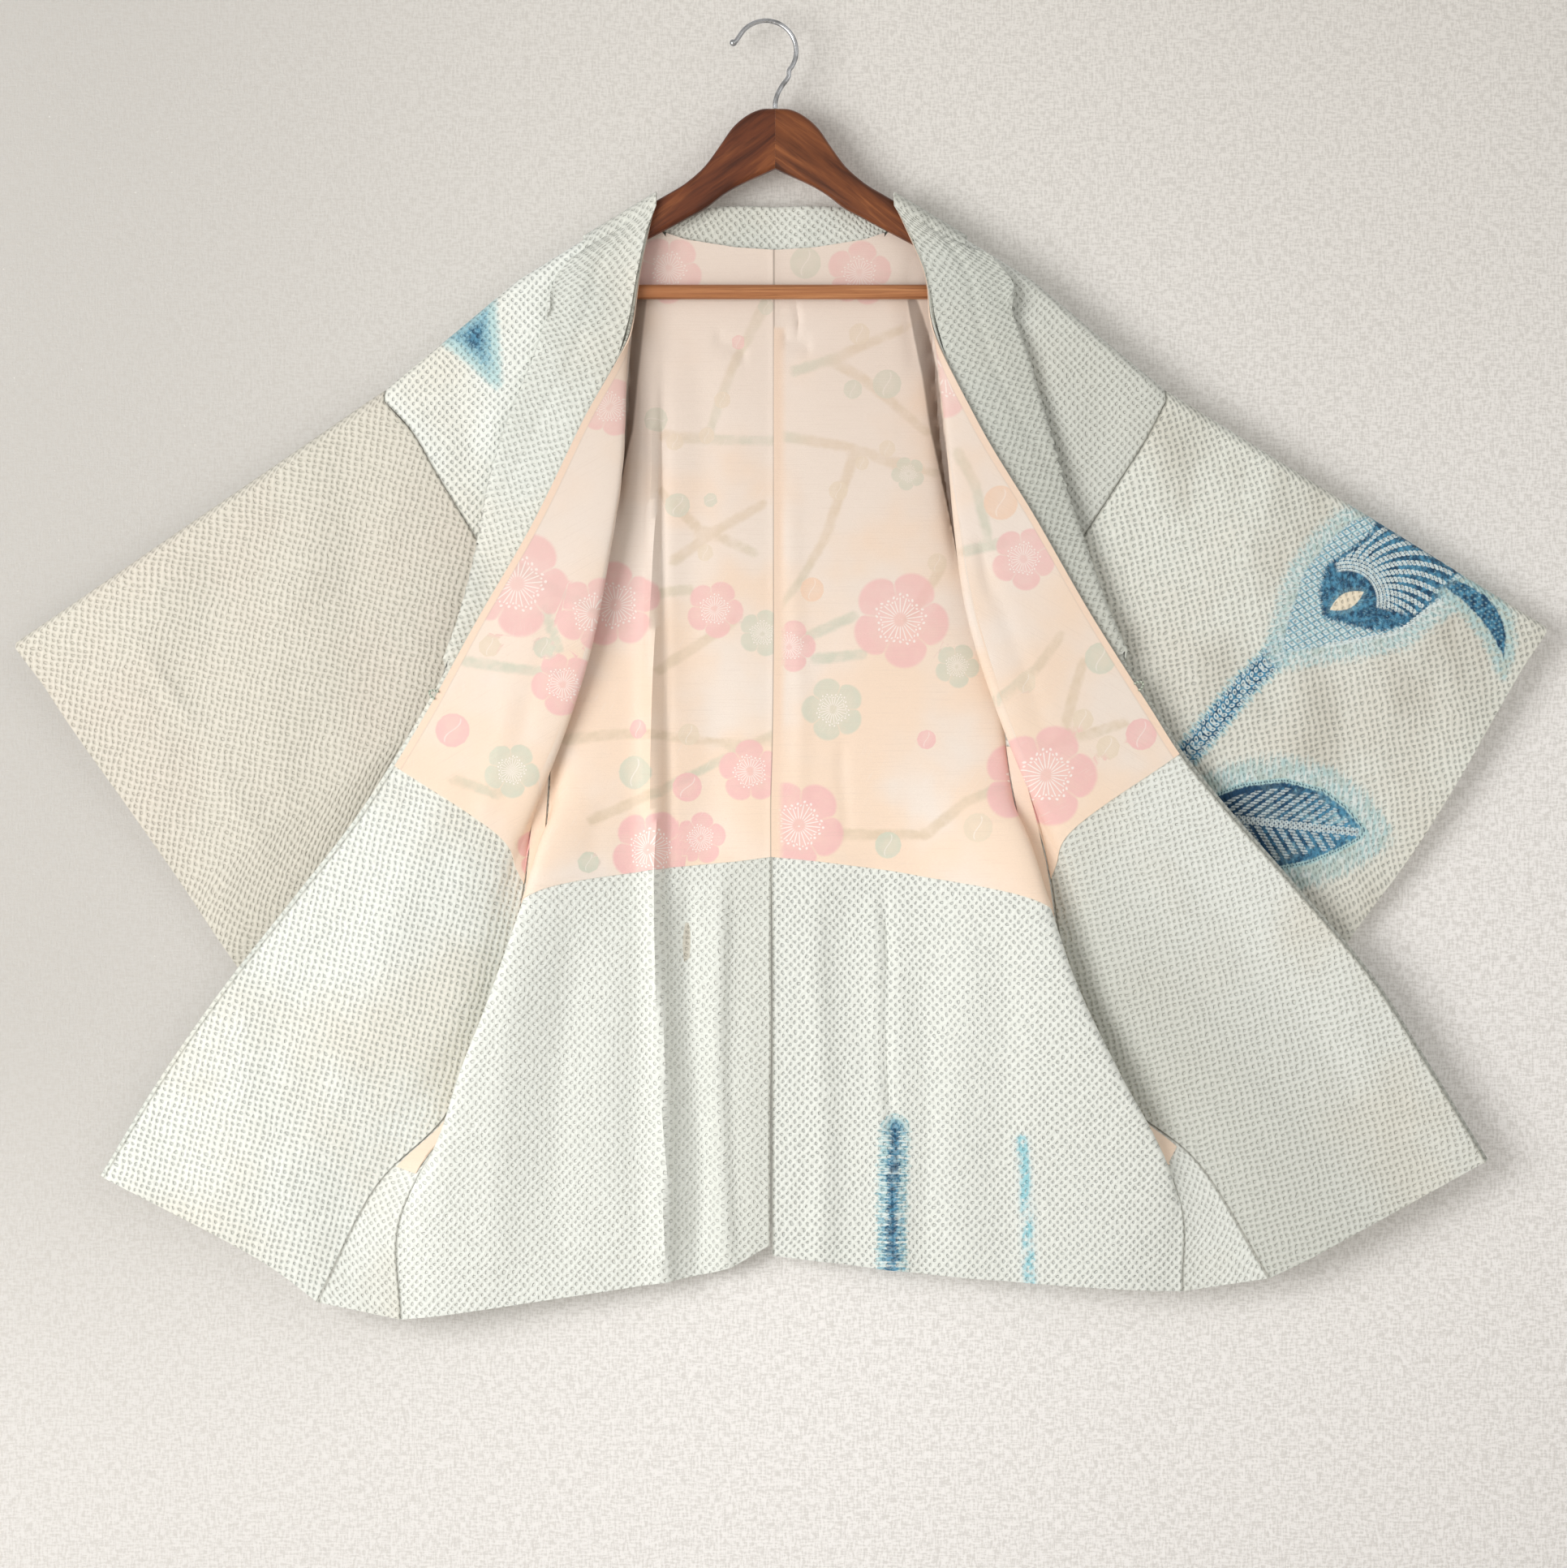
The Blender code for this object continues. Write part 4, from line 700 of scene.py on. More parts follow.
# Lines, and how deep their blue is.
DYE_LINES = {
    "sleeve_right": (((400, -462), (381, -484), (359, -506), (340, -530), (318, -556)), 1.0),
    "back_right": (((98, -838), (96, -887), (95, -975)), 0.35),
}
DYE_STREAK = ((194, -846), (198, -900), (201, -975))
DYE_TRIANGLE = ((-246, -238), (-226, -224), (-208, -210), (-205, -238), (-203, -275), (-221, -258))


def line_distance(points, line):
    """How far points lie along a polyline, and how far from it, in the same unit; the nearest stretch counts."""
    line = np.asarray(line, float)
    best = np.full(points.shape[:-1], np.inf)
    along = np.zeros(points.shape[:-1])
    run = 0.0
    for a, b in zip(line[:-1], line[1:]):
        length = np.linalg.norm(b - a)
        way = (b - a) / length
        s = np.clip((points - a) @ way, 0, length)
        to = points - (a + s[..., None] * way)
        distance = np.linalg.norm(to, axis=-1)
        closer = distance < best
        best = np.where(closer, distance, best)
        along = np.where(closer, run + s, along)
        run += length
    return along, best


def outline_distance(points, outline):
    """Distance of points from a closed outline, below zero inside it: a point is inside where a ray from it crosses
    an odd number of edges."""
    outline = np.asarray(outline, float)
    ring = np.concatenate([outline, outline[:1]])
    _, distance = line_distance(points, ring)
    inside = np.zeros(points.shape[:-1], bool)
    for (ax, ay), (bx, by) in zip(ring[:-1], ring[1:]):
        if ay == by:
            continue
        crosses = (ay > points[..., 1]) != (by > points[..., 1])
        inside ^= crosses & (points[..., 0] < (bx - ax) * (points[..., 1] - ay) / (by - ay) + ax)
    return distance * np.where(inside, -1, 1)


def edge_distances(face):
    """How far each point of a grid lies along its row from the row's first and last point, in mm."""
    distances = np.zeros(face.shape)
    distances[..., 0] = run_along(face, 1)
    distances[..., 1] = distances[:, -1:, 0] - distances[..., 0]
    return distances


def print_fields(name, face):
    """The lining's print as fields on a grid, and where painted shade falls. `bloom` is the place within the nearest
    motif, in radii, and the distance from it; `tint` its colour; `twig` the distance from the nearest branch, whether
    the motif is a blossom, and the distance from the first edge; `gap` how far a point lies outside a deep fold,
    where painted shade darkens the lining, and from the centre seam."""
    at = face[..., [0, 2]]
    shape = face.shape[:2]
    nearest = np.full(shape, np.inf)
    bloom = np.full(shape + (3,), FAR_AWAY)
    tint = np.ones(shape + (3,))
    twig = np.zeros(shape + (3,))
    motifs = BLOSSOMS.get(name, {})
    for form, colour, x, z, radius, turn in ((*key, *row) for key, rows in motifs.items() for row in rows):
        local = turned((at - (x, z)) / radius, turn)
        distance = np.linalg.norm(local, axis=-1)
        closer = distance < nearest
        nearest = np.where(closer, distance, nearest)
        bloom[closer, :2] = local[closer]
        tint[closer] = TINTS[colour]
        twig[closer, 1] = form == "blossom"
    bloom[..., 2] = np.minimum(nearest, FAR_AWAY)
    branch = np.full(shape, FAR_AWAY)
    for line in TWIGS.get(name, ()):
        along, off = line_distance(at, line)
        branch = np.minimum(branch, off - TWIG_HALF_WIDTH * (TWIG_ROOT - TWIG_THINNING * along))
    twig[..., 0] = branch
    twig[..., 2] = edge_distances(face)[..., 0]
    gap = np.full(shape + (3,), FAR_AWAY)
    if name in DEEP_FOLDS:
        fold = np.array(DEEP_FOLDS[name], float)
        along, off = line_distance(at, fold[:, :2])
        gap[..., 0] = off - np.interp(along, run_along(fold[:, :2]), fold[:, 2])
        gap[..., 1] = twig[..., 2]
    return {"bloom": bloom, "tint": tint, "twig": twig, "gap": gap}


def dye_fields(name, face):
    """The dyed motifs as fields over a piece, from the places (x, z) of its points. `dye_flower` and `dye_leaf`
    hold a place within the motif and the distance from its outline; `dye_heart` the distances from the flower's
    dark heart and from its tail, to keep the tail in its place; `dye_line` the place along and off a line, and its
    depth; `dye_patch` the distances from the shoulder's patch and the hem's streak."""
    at = face[..., [0, 2]]
    fields = {}
    if name == "sleeve_right":
        local = turned(at - FLOWER_EYE, -FLOWER_TILT)
        fields["dye_flower"] = np.concatenate([local, outline_distance(at, FLOWER)[..., None]], axis=-1)
        heart, tail = outline_distance(at, FLOWER_HEART), outline_distance(at, FLOWER_TAIL)
        fields["dye_heart"] = np.stack([heart, tail, 0 * tail], axis=-1)
        root, tip = (np.array(p, float) for p in LEAF_RIB)
        way = unit(tip - root)
        rib = np.stack([(at - root) @ way, (at - root) @ np.array((-way[1], way[0]))], axis=-1)
        fields["dye_leaf"] = np.concatenate([rib, outline_distance(at, LEAF)[..., None]], axis=-1)
    if name in DYE_LINES:
        line, depth = DYE_LINES[name]
        along, off = line_distance(at, line)
        fields["dye_line"] = np.stack([along, off, np.full_like(off, depth)], axis=-1)
    if name in ("front_left", "back_right"):
        patch = np.full(face.shape, FAR_AWAY)
        if name == "front_left":
            patch[..., 0] = outline_distance(at, DYE_TRIANGLE)
        else:
            patch[..., 1] = line_distance(at, DYE_STREAK)[1]
        fields["dye_patch"] = patch
    return fields


ARC_ROWS = 7
UNDERLAP, HEM_STEP = 0.005, 0.004
LINING_ENDS = {"back": BACK_LINING_END, "front": FRONT_LINING_END, "gusset": 0.864}
LINING_STARTS = {"back": 0.0, "front": 0.0, "gusset": 0.40}
END_STEPS = (-UNDERLAP, 0.0, HEM_STEP, 2 * HEM_STEP)
BODY_T = np.concatenate(
    [
        np.linspace(0.0, ARC_T, ARC_ROWS)[:-1],
        sample(ARC_T, 1.0, PANEL_ROWS, (UNDERARM, *(e + d for e in LINING_ENDS.values() for d in END_STEPS))),
    ]
)
FRONT_U = sample(0.0, 3.0, 3 * PANEL_COLUMNS_PER_GUIDE, (1.0,))
BACK_U = sample(0.0, 4.0, 4 * PANEL_COLUMNS_PER_GUIDE, (1.0, BACK_NECK_LINE, 3.0))
GUSSET_COLUMNS = 9
SILK_DEPTH, HEM_DEPTH = 1.5, 2.6
LINING_DEPTHS, LINING_EDGE = (2.0, 3.0), (2.66, 3.3)
ROLL_COLUMN = 1.0
COLLAR_SHARE_STEPS = 60
COLLAR_ROWS = 76
# The crease along the collar's middle, and the rows past the neck over which it comes in and (below zero) goes.
COLLAR_CREASE, COLLAR_CREASE_WIDTH = 0.9, 4.0
COLLAR_CREASE_ROWS = ((1, 8), (-34, -20))


def eased(value, start, end):
    """0 before start, 1 after end, and a smooth S-shaped rise between them."""
    s = np.clip((value - start) / (end - start), 0, 1)
    return s * s * (3 - 2 * s)


def tuck(face, n, columns):
    """Draws a panel in a little along its seams: a bell curve of the distance from the seam's column."""
    for column in columns:
        distance = np.linalg.norm(face - face[:, column : column + 1 if column >= 0 else None][:, :1], axis=-1)
        face = face - n * (SEAM_TUCK * np.exp(-((distance / SEAM_TUCK_WIDTH) ** 2)))[..., None]
    return face


def creased_front(side):
    """A front's face with its soft creases, which fade out at the seams, the shoulder and the roll line."""
    face = front_face(side, FRONT_U, BODY_T)
    u, t = FRONT_U[None], BODY_T[:, None]
    x, z = face[..., 0], face[..., 2]
    free = eased(u, 0.0, EDGE_CALM) * eased(3.0 - u, 0.0, SIDE_CALM) * eased(t, ARC_T, SHOULDER_CALM)
    shoulder = eased(u, *SHOULDER_PART[0]) * eased(-t, *SHOULDER_PART[1])
    lapel = np.maximum(eased(-u, *LAPEL_PART[0]), eased(t, *LAPEL_PART[1]))
    height = shoulder * crease_height(x, z, SHOULDER_CREASES[side])
    height = height + lapel * crease_height(x, z, LAPEL_CREASES[side])
    face[..., 1] -= height * free
    return face


def creased_back(side):
    """A back's face with its soft creases, which fade out at the seams and the shoulder."""
    face = back_face(side, BACK_U, BODY_T)
    u, t = BACK_U[None], BODY_T[:, None]
    x, z = face[..., 0], face[..., 2]
    free = eased(np.abs(x - MIDDLE_X), 0.0, CENTRE_CALM) * eased(4.0 - u, 0.0, BACK_SIDE_CALM)
    free = free * eased(t, ARC_T, SHOULDER_CALM)
    face[..., 1] -= crease_height(x, z, BACK_CREASES) * free
    return face


def side_panels(side):
    """The faces and inward directions of one side's back, gusset and front, mitred where they meet."""
    sign = SIGN[side]
    back, front = creased_back(side), creased_front(side)
    back_n, front_n = normals(back, sign), normals(front, -sign)
    split = int(np.flatnonzero(BACK_U == BACK_NECK_LINE)[0]) + 1
    over = normals(back[:, split:], sign)
    back_n[:ARC_ROWS, split:] = over[:ARC_ROWS]
    back_n[:ARC_ROWS, :split] = (0, 1, 0)
    level(back_n[0, split:])
    level(front_n[0])
    first = int(np.flatnonzero(BODY_T == UNDERARM)[0])
    share = np.linspace(0, 1, GUSSET_COLUMNS)[None, :, None]
    gusset = back[first:, -1:] * (1 - share) + front[first:, -1:] * share
    gusset_n = normals(gusset, sign)
    meet_b = seam_mitre(back_n[first:, -1], gusset_n[:, 0])
    meet_f = seam_mitre(front_n[first:, -1], gusset_n[:, -1])
    gusset_n[:, 0], gusset_n[:, -1] = meet_b, meet_f
    back_n[first:, -1], front_n[first:, -1] = meet_b, meet_f
    return {
        "back": (back, back_n, BODY_T),
        "gusset": (gusset, gusset_n, BODY_T[first:]),
        "front": (front, front_n, BODY_T),
    }


def body_faces(side):
    """The three panels of a side, drawn in for their seams, with the neck's open notch beside the shoulder."""
    panels = side_panels(side)
    result = {}
    for name, (face, n, t) in panels.items():
        face = inset(face)
        face = tuck(face, n, (0, -1) if name != "front" else (-1,))
        left_out = None
        if name == "gusset":
            face[0] += (face[1] - face[0]) * GUSSET_TOP_CLEAR
        if name == "back":
            beside = int(np.flatnonzero(BACK_U == BACK_NECK_LINE)[0])
            left_out = np.zeros((len(t) - 1, face.shape[1] - 1), bool)
            left_out[: ARC_ROWS - 1, beside] = True
        result[name] = (face, n, t, left_out)
    return result


GRAIN_LEAN = 30.0


def panel_metres(kind, side, face):
    """Cloth coordinates of a panel. A front's turned part has its grain along the collar's edge."""
    if kind == "gusset":
        return cloth_metres(face)
    grain = np.zeros(face.shape[:2])
    if kind == "front":
        turned = (FRONT_U[None] <= ROLL_COLUMN) | (BODY_T[: len(face), None] > 0.5)
        grain = np.where(turned, -SIGN[side] * math.radians(GRAIN_LEAN), 0.0)
    return flat_metres(face, grain, ARC_ROWS - 1)


def silk_panel(side, kind, face, n, t, left_out):
    """A panel of silk: a thin shell, doubled by its turned-up hem from the lining's end down."""
    name = f"{kind}_{side}"
    end = LINING_ENDS[kind]
    depth = SILK_DEPTH + (HEM_DEPTH - SILK_DEPTH) * eased(t, end, end + HEM_STEP)
    metres = panel_metres(kind, side, face)
    fields = {**dye_fields(name, face), "seam": edge_distances(face)}
    return shell(f"silk_{name}", face, face - n * depth[:, None, None], metres, fields, left_out)


def lining_panel(side, kind, face, n, t, left_out):
    """A panel's lining: a thin shell inside the silk, whose lower edge laps over the turned-up hem."""
    name = f"{kind}_{side}"
    end, start = LINING_ENDS[kind], LINING_STARTS[kind]
    keep = (t >= start) & (t <= end + END_STEPS[-1] + TINY)
    face, n, t = face[keep].copy(), n[keep].copy(), t[keep]
    if kind == "gusset":
        share = np.linspace(GUSSET_DRAWN_IN / 2, 1 - GUSSET_DRAWN_IN / 2, face.shape[1])[None, :, None]
        face = face[:, :1] * (1 - share) + face[:, -1:] * share
    rise = eased(t, end - UNDERLAP, end)[:, None, None]
    near = LINING_DEPTHS[0] + (LINING_EDGE[0] - LINING_DEPTHS[0]) * rise
    far = LINING_DEPTHS[1] + (LINING_EDGE[1] - LINING_DEPTHS[1]) * rise
    metres = panel_metres(kind, side, face)
    fields = print_fields(name, face)
    if left_out is not None:
        left_out = left_out[: keep.sum() - 1]
    return shell(f"printed_{name}", face - n * near, face - n * far, metres, fields, left_out)


def sleeve_layer(side, y_sign, s, v):
    """A sleeve's front (y_sign -1) or back (+1) layer on (v, s), below its top fold: straight lines across from the
    body's seam to the outer edge, with a little fullness between the layers and soft creases."""
    table = SLEEVE[side]
    if y_sign < 0:
        seam = front_face(side, np.array([3.0]), v)[:, 0]
    else:
        seam = back_face(side, np.array([4.0]), v)[:, 0]
    low = [row for row in table if row[1]]
    under = seam[np.flatnonzero(v == UNDERARM)[0]]
    knots = [UNDERARM] + [row[0] for row in low]
    points = [under] + [np.array(row[1]) + (0, y_sign * row[2], 0) for row in low]
    below = curve_through(knots, points, np.maximum(v, UNDERARM))
    inner = np.where((v <= UNDERARM)[:, None], seam, below)
    outer_points = [np.array(row[3]) + (0, y_sign * row[4], 0) for row in table]
    outer = curve_through([row[0] for row in table], outer_points, v)
    grid = inner[:, None] * (1 - s)[None, :, None] + outer[:, None] * s[None, :, None]
    full = SLEEVE_FULLNESS * 4 * s * (1 - s)
    grid[..., 1] += y_sign * full[None, :] * np.sin(np.pi * np.clip(v, 0, 1))[:, None]
    free = eased(s, 0.0, SLEEVE_SEAM_CALM)[None] * eased(1 - s, 0.0, CUFF_CALM)[None]
    free = free * eased(v, *SLEEVE_TOP_CALM)[:, None] * eased(1 - v, 0.0, SLEEVE_END_CALM)[:, None]
    shift = SLEEVE_BACK_SHIFT if y_sign > 0 else 0.0
    height = crease_height(grid[..., 0] + shift, grid[..., 2], SLEEVE_CREASES[side])
    height = np.where(height < 0, height * SLEEVE_TROUGH, height)
    grid[..., 1] += y_sign * height * free
    return grid


def sleeve_grid(side):
    """A sleeve from its front layer's lower edge, up over the top fold's half circle, to its back layer's."""
    s = np.linspace(0.0, 1.0, SLEEVE_COLUMNS + 1)
    v = sample(SLEEVE_FIRST_V, 1.0, SLEEVE_ROWS, (UNDERARM,))
    inner_top = np.array((MIDDLE_X + SIGN[side] * SHOULDER[-1][0], 0.0, SHOULDER[-1][1]))
    outer_top = np.array(SLEEVE[side][0][3], float)
    top = inner_top[None] * (1 - s)[:, None] + outer_top[None] * s[:, None]
    radius = SHOULDER_RADIUS * (1 - s) + SLEEVE[side][0][4] * s
    angle = np.linspace(-math.pi / 2, math.pi / 2, SLEEVE_FOLD_ROWS)[:, None]
    fold = xyz(top[:, 0], top[:, 1] + radius * np.sin(angle), top[:, 2] - radius * (1 - np.cos(angle)))
    front, back = (sleeve_layer(side, y_sign, s, v) for y_sign in (-1, 1))
    between = np.linspace(0.0, 1.0, SLEEVE_FOLD_ROWS // 2)[1:-1, None, None]
    rise = front[0] * (1 - between) + fold[0] * between
    fall = fold[-1] * (1 - between) + back[0] * between
    return np.concatenate([front[::-1], rise, fold, fall, back])


DYE_PAST_FOLD = 4.0


def sleeve_piece(side):
    """A sleeve as a thin shell on its grid. Its dyed motifs end a little past the top fold."""
    face = sleeve_grid(side)
    n = normals(face, SIGN[side])
    face = inset(face, first=SEAM_GAP, last=0.0)
    face = tuck(face, n, (0,))
    name = f"sleeve_{side}"
    fields = {**dye_fields(name, face), "seam": edge_distances(face)}
    fields["seam"][..., 1] = FAR_AWAY
    top = len(face) // 2
    run = run_along(face)
    past = 2.0 * np.maximum(run - run[top] - DYE_PAST_FOLD, 0)
    for key, parts in (("dye_flower", (2,)), ("dye_heart", (0, 1)), ("dye_leaf", (2,)), ("dye_line", (1,))):
        for part in parts if key in fields else ():
            fields[key][..., part] += past
    return shell(f"silk_{name}", face, face - n * SILK_DEPTH, cloth_metres(face), fields)


def even_steps(points, count):
    """A line of points laid out again with even spacing along its length."""
    length = run_along(points)
    at = np.linspace(0, length[-1], count)
    return np.stack([np.interp(at, length, points[:, c]) for c in range(3)], axis=-1)


def bend_steps(ahead, towards, angle, fractions):
    """Steps along the collar's fold, which starts `ahead` and bends `towards` through an angle."""
    radius = math.pi * COLLAR_FOLD / angle
    return [ahead * radius * math.sin(angle * f) + towards * radius * (1 - math.cos(angle * f)) for f in fractions]


# Sampling of the collar: its fold, its open leaf, its inner leaf, the front's face under it and the neck.
FOLD_FRACTIONS = tuple(k / 8 for k in range(1, 8))
LEAF_STEPS, INNER_STEPS = 7, 9
UNDER_COLLAR_U, UNDER_COLLAR_T = np.linspace(0, 2.2, 45), 0.01
COLLAR_TOP_T = 0.03
NECK_STATIONS, NECK_INNER_STEPS = 33, 6


def collar_on_front(side):
    """The collar's cross sections on one front, from the shoulder's top down to the hem, each from the seam out:
    open at the shoulder, its outer edge folding under further down, and behind the front below the tie loop."""
    sign = SIGN[side]
    stations = []
    for angle in np.linspace(math.radians(COLLAR_TOP_ANGLE), math.pi / 2, ARC_ROWS):
        along = np.array(COLLAR_SHARES) * COLLAR_WIDTH - COLLAR_OVERLAP
        distance = NECK_POINT + along * SHOULDER_RUN
        height = shoulder_height(distance)
        lift = SHOULDER_RADIUS + LIFT
        over = height - SHOULDER_RADIUS + lift * math.cos(angle)
        stations.append(xyz(MIDDLE_X + sign * distance, -lift * math.sin(angle), over))
    open_t = [row[0] for row in COLLAR_OPEN[side]]
    edge_points = [row[1] for row in COLLAR_OPEN[side]]
    for t in np.linspace(COLLAR_TOP_T, 1.0, COLLAR_ROWS):
        at = np.array((t - UNDER_COLLAR_T, t, t + UNDER_COLLAR_T))
        at -= max(at[-1] - 1, 0)
        around = front_face(side, UNDER_COLLAR_U, at)
        n_all = normals(around, -sign)
        pick = int(np.argmin(abs(at - t)))
        face, n_all = around[pick], n_all[pick]
        edge, n = face[0], n_all[0]
        out = unit(edge - face[1])
        length = run_along(face)
        start = edge - out * COLLAR_OVERLAP + n * LIFT
        if t <= open_t[-1]:
            fold = curve_through(open_t, edge_points, [t])[0]
        else:
            fold = edge + out * (PIPING - COLLAR_FOLD - COLLAR_HALF) + n * LIFT
        reach = fold - start
        visible = np.linalg.norm(reach)
        reach = reach / visible
        down = unit(np.cross(np.cross(reach, n), reach))
        rest = max(COLLAR_WIDTH - visible - math.pi * COLLAR_FOLD, LEAST_LEAF)
        bend = math.pi * np.clip((t - COLLAR_FOLD_START) / COLLAR_FOLD_GROWTH, LEAST_BEND, 1)
        points = [start + reach * visible * f for f in np.linspace(0, 1, LEAF_STEPS)]
        points += [fold + s for s in bend_steps(reach, down, bend, FOLD_FRACTIONS)]
        folded = fold + bend_steps(reach, down, bend, (1,))[0]
        onward = reach * math.cos(bend) + down * math.sin(bend)
        for f in np.linspace(0, 1, INNER_STEPS):
            back = rest * f
            if visible - back < 0:
                q = back - visible + COLLAR_OVERLAP
                on = np.array([np.interp(q, length, face[:, c]) for c in range(3)])
                on_n = np.array([np.interp(q, length, n_all[:, c]) for c in range(3)])
                points.append(on + on_n * (LIFT + 2 * COLLAR_FOLD))
            else:
                points.append(folded + onward * back)
        stations.append(np.array(points))
    return stations


def collar_round_neck():
    """The collar's cross sections round the back of the neck, folded outwards in half in the middle."""
    knots = np.arange(len(COLLAR_NECK))
    rows = curve_through(knots, [(*row[:4], *row[4]) for row in COLLAR_NECK], np.linspace(0, knots[-1], NECK_STATIONS))
    stations = []
    for sign, half in ((-1, rows), (1, rows[-2::-1])):
        for distance, y, z, inner, rx, rz in half:
            down = unit(np.array((-sign * rx, 0.0, rz)))
            bend = math.pi * np.clip(inner / INNER_LEAF_FOLDED, LEAST_BEND, 1)
            inner = max(inner, LEAST_LEAF)
            above = z - (shoulder_height(distance) - SHOULDER_RADIUS)
            tilt = np.array((0.0, y, max(above, 0.0)))
            n = unit(tilt) if above > 0 else np.array((0.0, 1.0, 0.0))
            seam = np.array((MIDDLE_X + sign * distance, y, z)) + n * LIFT
            rise = down * math.cos(bend) + n * math.sin(bend)
            over = down * math.sin(bend) - n * math.cos(bend)
            points = [seam + rise * inner * f for f in np.linspace(0, 1, NECK_INNER_STEPS)]
            top = points[-1]
            points += [top + s for s in bend_steps(rise, over, bend, FOLD_FRACTIONS)]
            folded = top + bend_steps(rise, over, bend, (1,))[0]
            rest = COLLAR_WIDTH - inner - math.pi * COLLAR_FOLD
            points += [folded + down * rest * f for f in np.linspace(0, 1, LEAF_STEPS)]
            stations.append(np.array(points))
    return stations


def collar_piece():
    """The collar as one folded band from hem to hem, with a soft crease along its middle on the shoulders."""
    left, right = (collar_on_front(side) for side in (LEFT, RIGHT))
    neck = collar_round_neck()
    stations = left[::-1] + neck + right
    middle = np.array([even_steps(points, COLLAR_SHARE_STEPS + 1) for points in stations])
    n = normals(middle, 1)
    width = np.linspace(0, COLLAR_WIDTH, COLLAR_SHARE_STEPS + 1)[None]
    row = np.arange(len(stations))[:, None]
    edge_rows = len(left)
    beyond = np.maximum(edge_rows - row, row - (len(stations) - edge_rows - 1))
    open_part = eased(beyond, *COLLAR_CREASE_ROWS[0]) * eased(-beyond, *COLLAR_CREASE_ROWS[1])
    crease = COLLAR_CREASE * np.exp(-(((width - COLLAR_WIDTH / 2) / COLLAR_CREASE_WIDTH) ** 2)) * open_part
    middle = middle + n * crease[..., None]
    metres = cloth_metres(middle.transpose(1, 0, 2)).transpose(1, 0, 2)
    metres[..., 1] = width * MM
    metres[..., 0] = metres[:, metres.shape[1] // 2, 0][:, None]
    return shell("collar", middle + n * COLLAR_HALF, middle - n * COLLAR_HALF, metres)


def tie_loop_piece(side):
    """A small twisted cord loop at a front's edge: a round tube whose two strands swell its radius as they turn."""
    face = front_face(side, np.array([0.0, 0.1]), LOOP_T + LOOP_STEP * np.array((-1, 0, 1)))
    edge = face[1, 0]
    along = unit(face[2, 0] - face[0, 0])
    out = edge - face[1, 1]
    out = unit(out - along * (out @ along))
    lift = np.array((0.0, -(LINING_FAR + SEAM_GAP + LOOP_CORD), 0.0))
    angle = np.linspace(0, math.pi, 49)[:, None]
    path = edge + lift + out * (LOOP_REACH * np.sin(angle) - LOOP_SUNK) + along * LOOP_HALF * np.cos(angle)
    around = np.linspace(0, 2 * math.pi, LOOP_SIDES, endpoint=False)
    twist = 2 * (around[None] + LOOP_TURNS * angle)
    radius = LOOP_CORD * (1 - LOOP_SWELL + LOOP_SWELL * np.cos(twist))
    return tube(f"cord_loop_{side}", path, radius, LOOP_SIDES, DEPTH)


HOOK_BALL, HOOK_SAMPLES, HOOK_SIDES, HOOK_POINT = 2.7, 220, 24, 0.05


def hook_piece():
    """The wire hook: a smooth path through its tip, crown and bent stem, with a small ball formed at its tip."""
    start, end = (math.radians(a) for a in HOOK_ARC)
    angle = np.linspace(start, end, HOOK_KNOTS)
    crown = np.stack(
        [HOOK_RADIUS * np.cos(angle), HOOK_CENTRE_Z + 2 * HOOK_WIRE + HOOK_RADIUS * np.sin(angle)], axis=-1
    )
    flat = np.concatenate([np.array(HOOK_TIP), crown, np.array(HOOK_STEM)])
    path = xyz(flat[:, 0], 0.0, flat[:, 1])
    path = curve_through(range(len(path)), path, np.linspace(0, len(path) - 1, HOOK_SAMPLES))
    path = even_steps(path, HOOK_SAMPLES)
    run = np.arange(HOOK_SAMPLES) * np.linalg.norm(path[1] - path[0])
    ball = np.sqrt(np.clip(HOOK_BALL**2 - (run - HOOK_BALL) ** 2, 0, None))
    radius = np.maximum(ball, np.where(run > HOOK_BALL, HOOK_WIRE, HOOK_POINT))
    return tube("hook", path, radius, HOOK_SIDES, DEPTH)


def outline_height(table, distance):
    """A height of the wood's outline on the smooth curve through a table."""
    knots, heights = zip(*table)
    return curve_through(knots, np.array(heights)[:, None], distance)[:, 0]


WOOD_HALF, WOOD_STEPS, WOOD_TOP_STEPS = 6.0, 130, 17
# The bevelled lower edge, as (y, z) above the wood's lower outline.
WOOD_BEVEL = np.array(((6.0, 3.6), (5.9, 3.0), (5.6, 2.5), (4.0, 0.5), (3.5, 0.1), (2.9, 0.0)))
ARM_JOINT, ARM_SMOOTH_ANGLE = 0.02, 40.0
BAR_STEPS, BAR_SIDES = 90, 40


def arm_piece(side):
    """One wooden arm: sections carried outwards, each a half circle on top, flat sides and bevelled lower edges."""
    distance = np.linspace(WOOD_UPPER[0][0], WOOD_UPPER[-1][0], WOOD_STEPS)
    upper, lower = outline_height(WOOD_UPPER, distance), outline_height(WOOD_LOWER, distance)
    turn = np.linspace(-math.pi / 2, math.pi / 2, WOOD_TOP_STEPS)
    top = np.stack([WOOD_HALF * np.sin(turn), WOOD_HALF * (np.cos(turn) - 1)], axis=-1)
    bottom = np.concatenate([WOOD_BEVEL, WOOD_BEVEL[::-1] * (-1, 1)])
    ring_y = np.concatenate([top[:, 0], bottom[:, 0]])
    ring_z = np.concatenate([upper[:, None] + top[None, :, 1], lower[:, None] + bottom[None, :, 1]], axis=1)
    distance[0] = ARM_JOINT
    rings = xyz((MIDDLE_X + SIGN[side] * distance)[:, None], ring_y, ring_z)
    return lofted(f"arm_{side}", rings, ARM_SMOOTH_ANGLE)


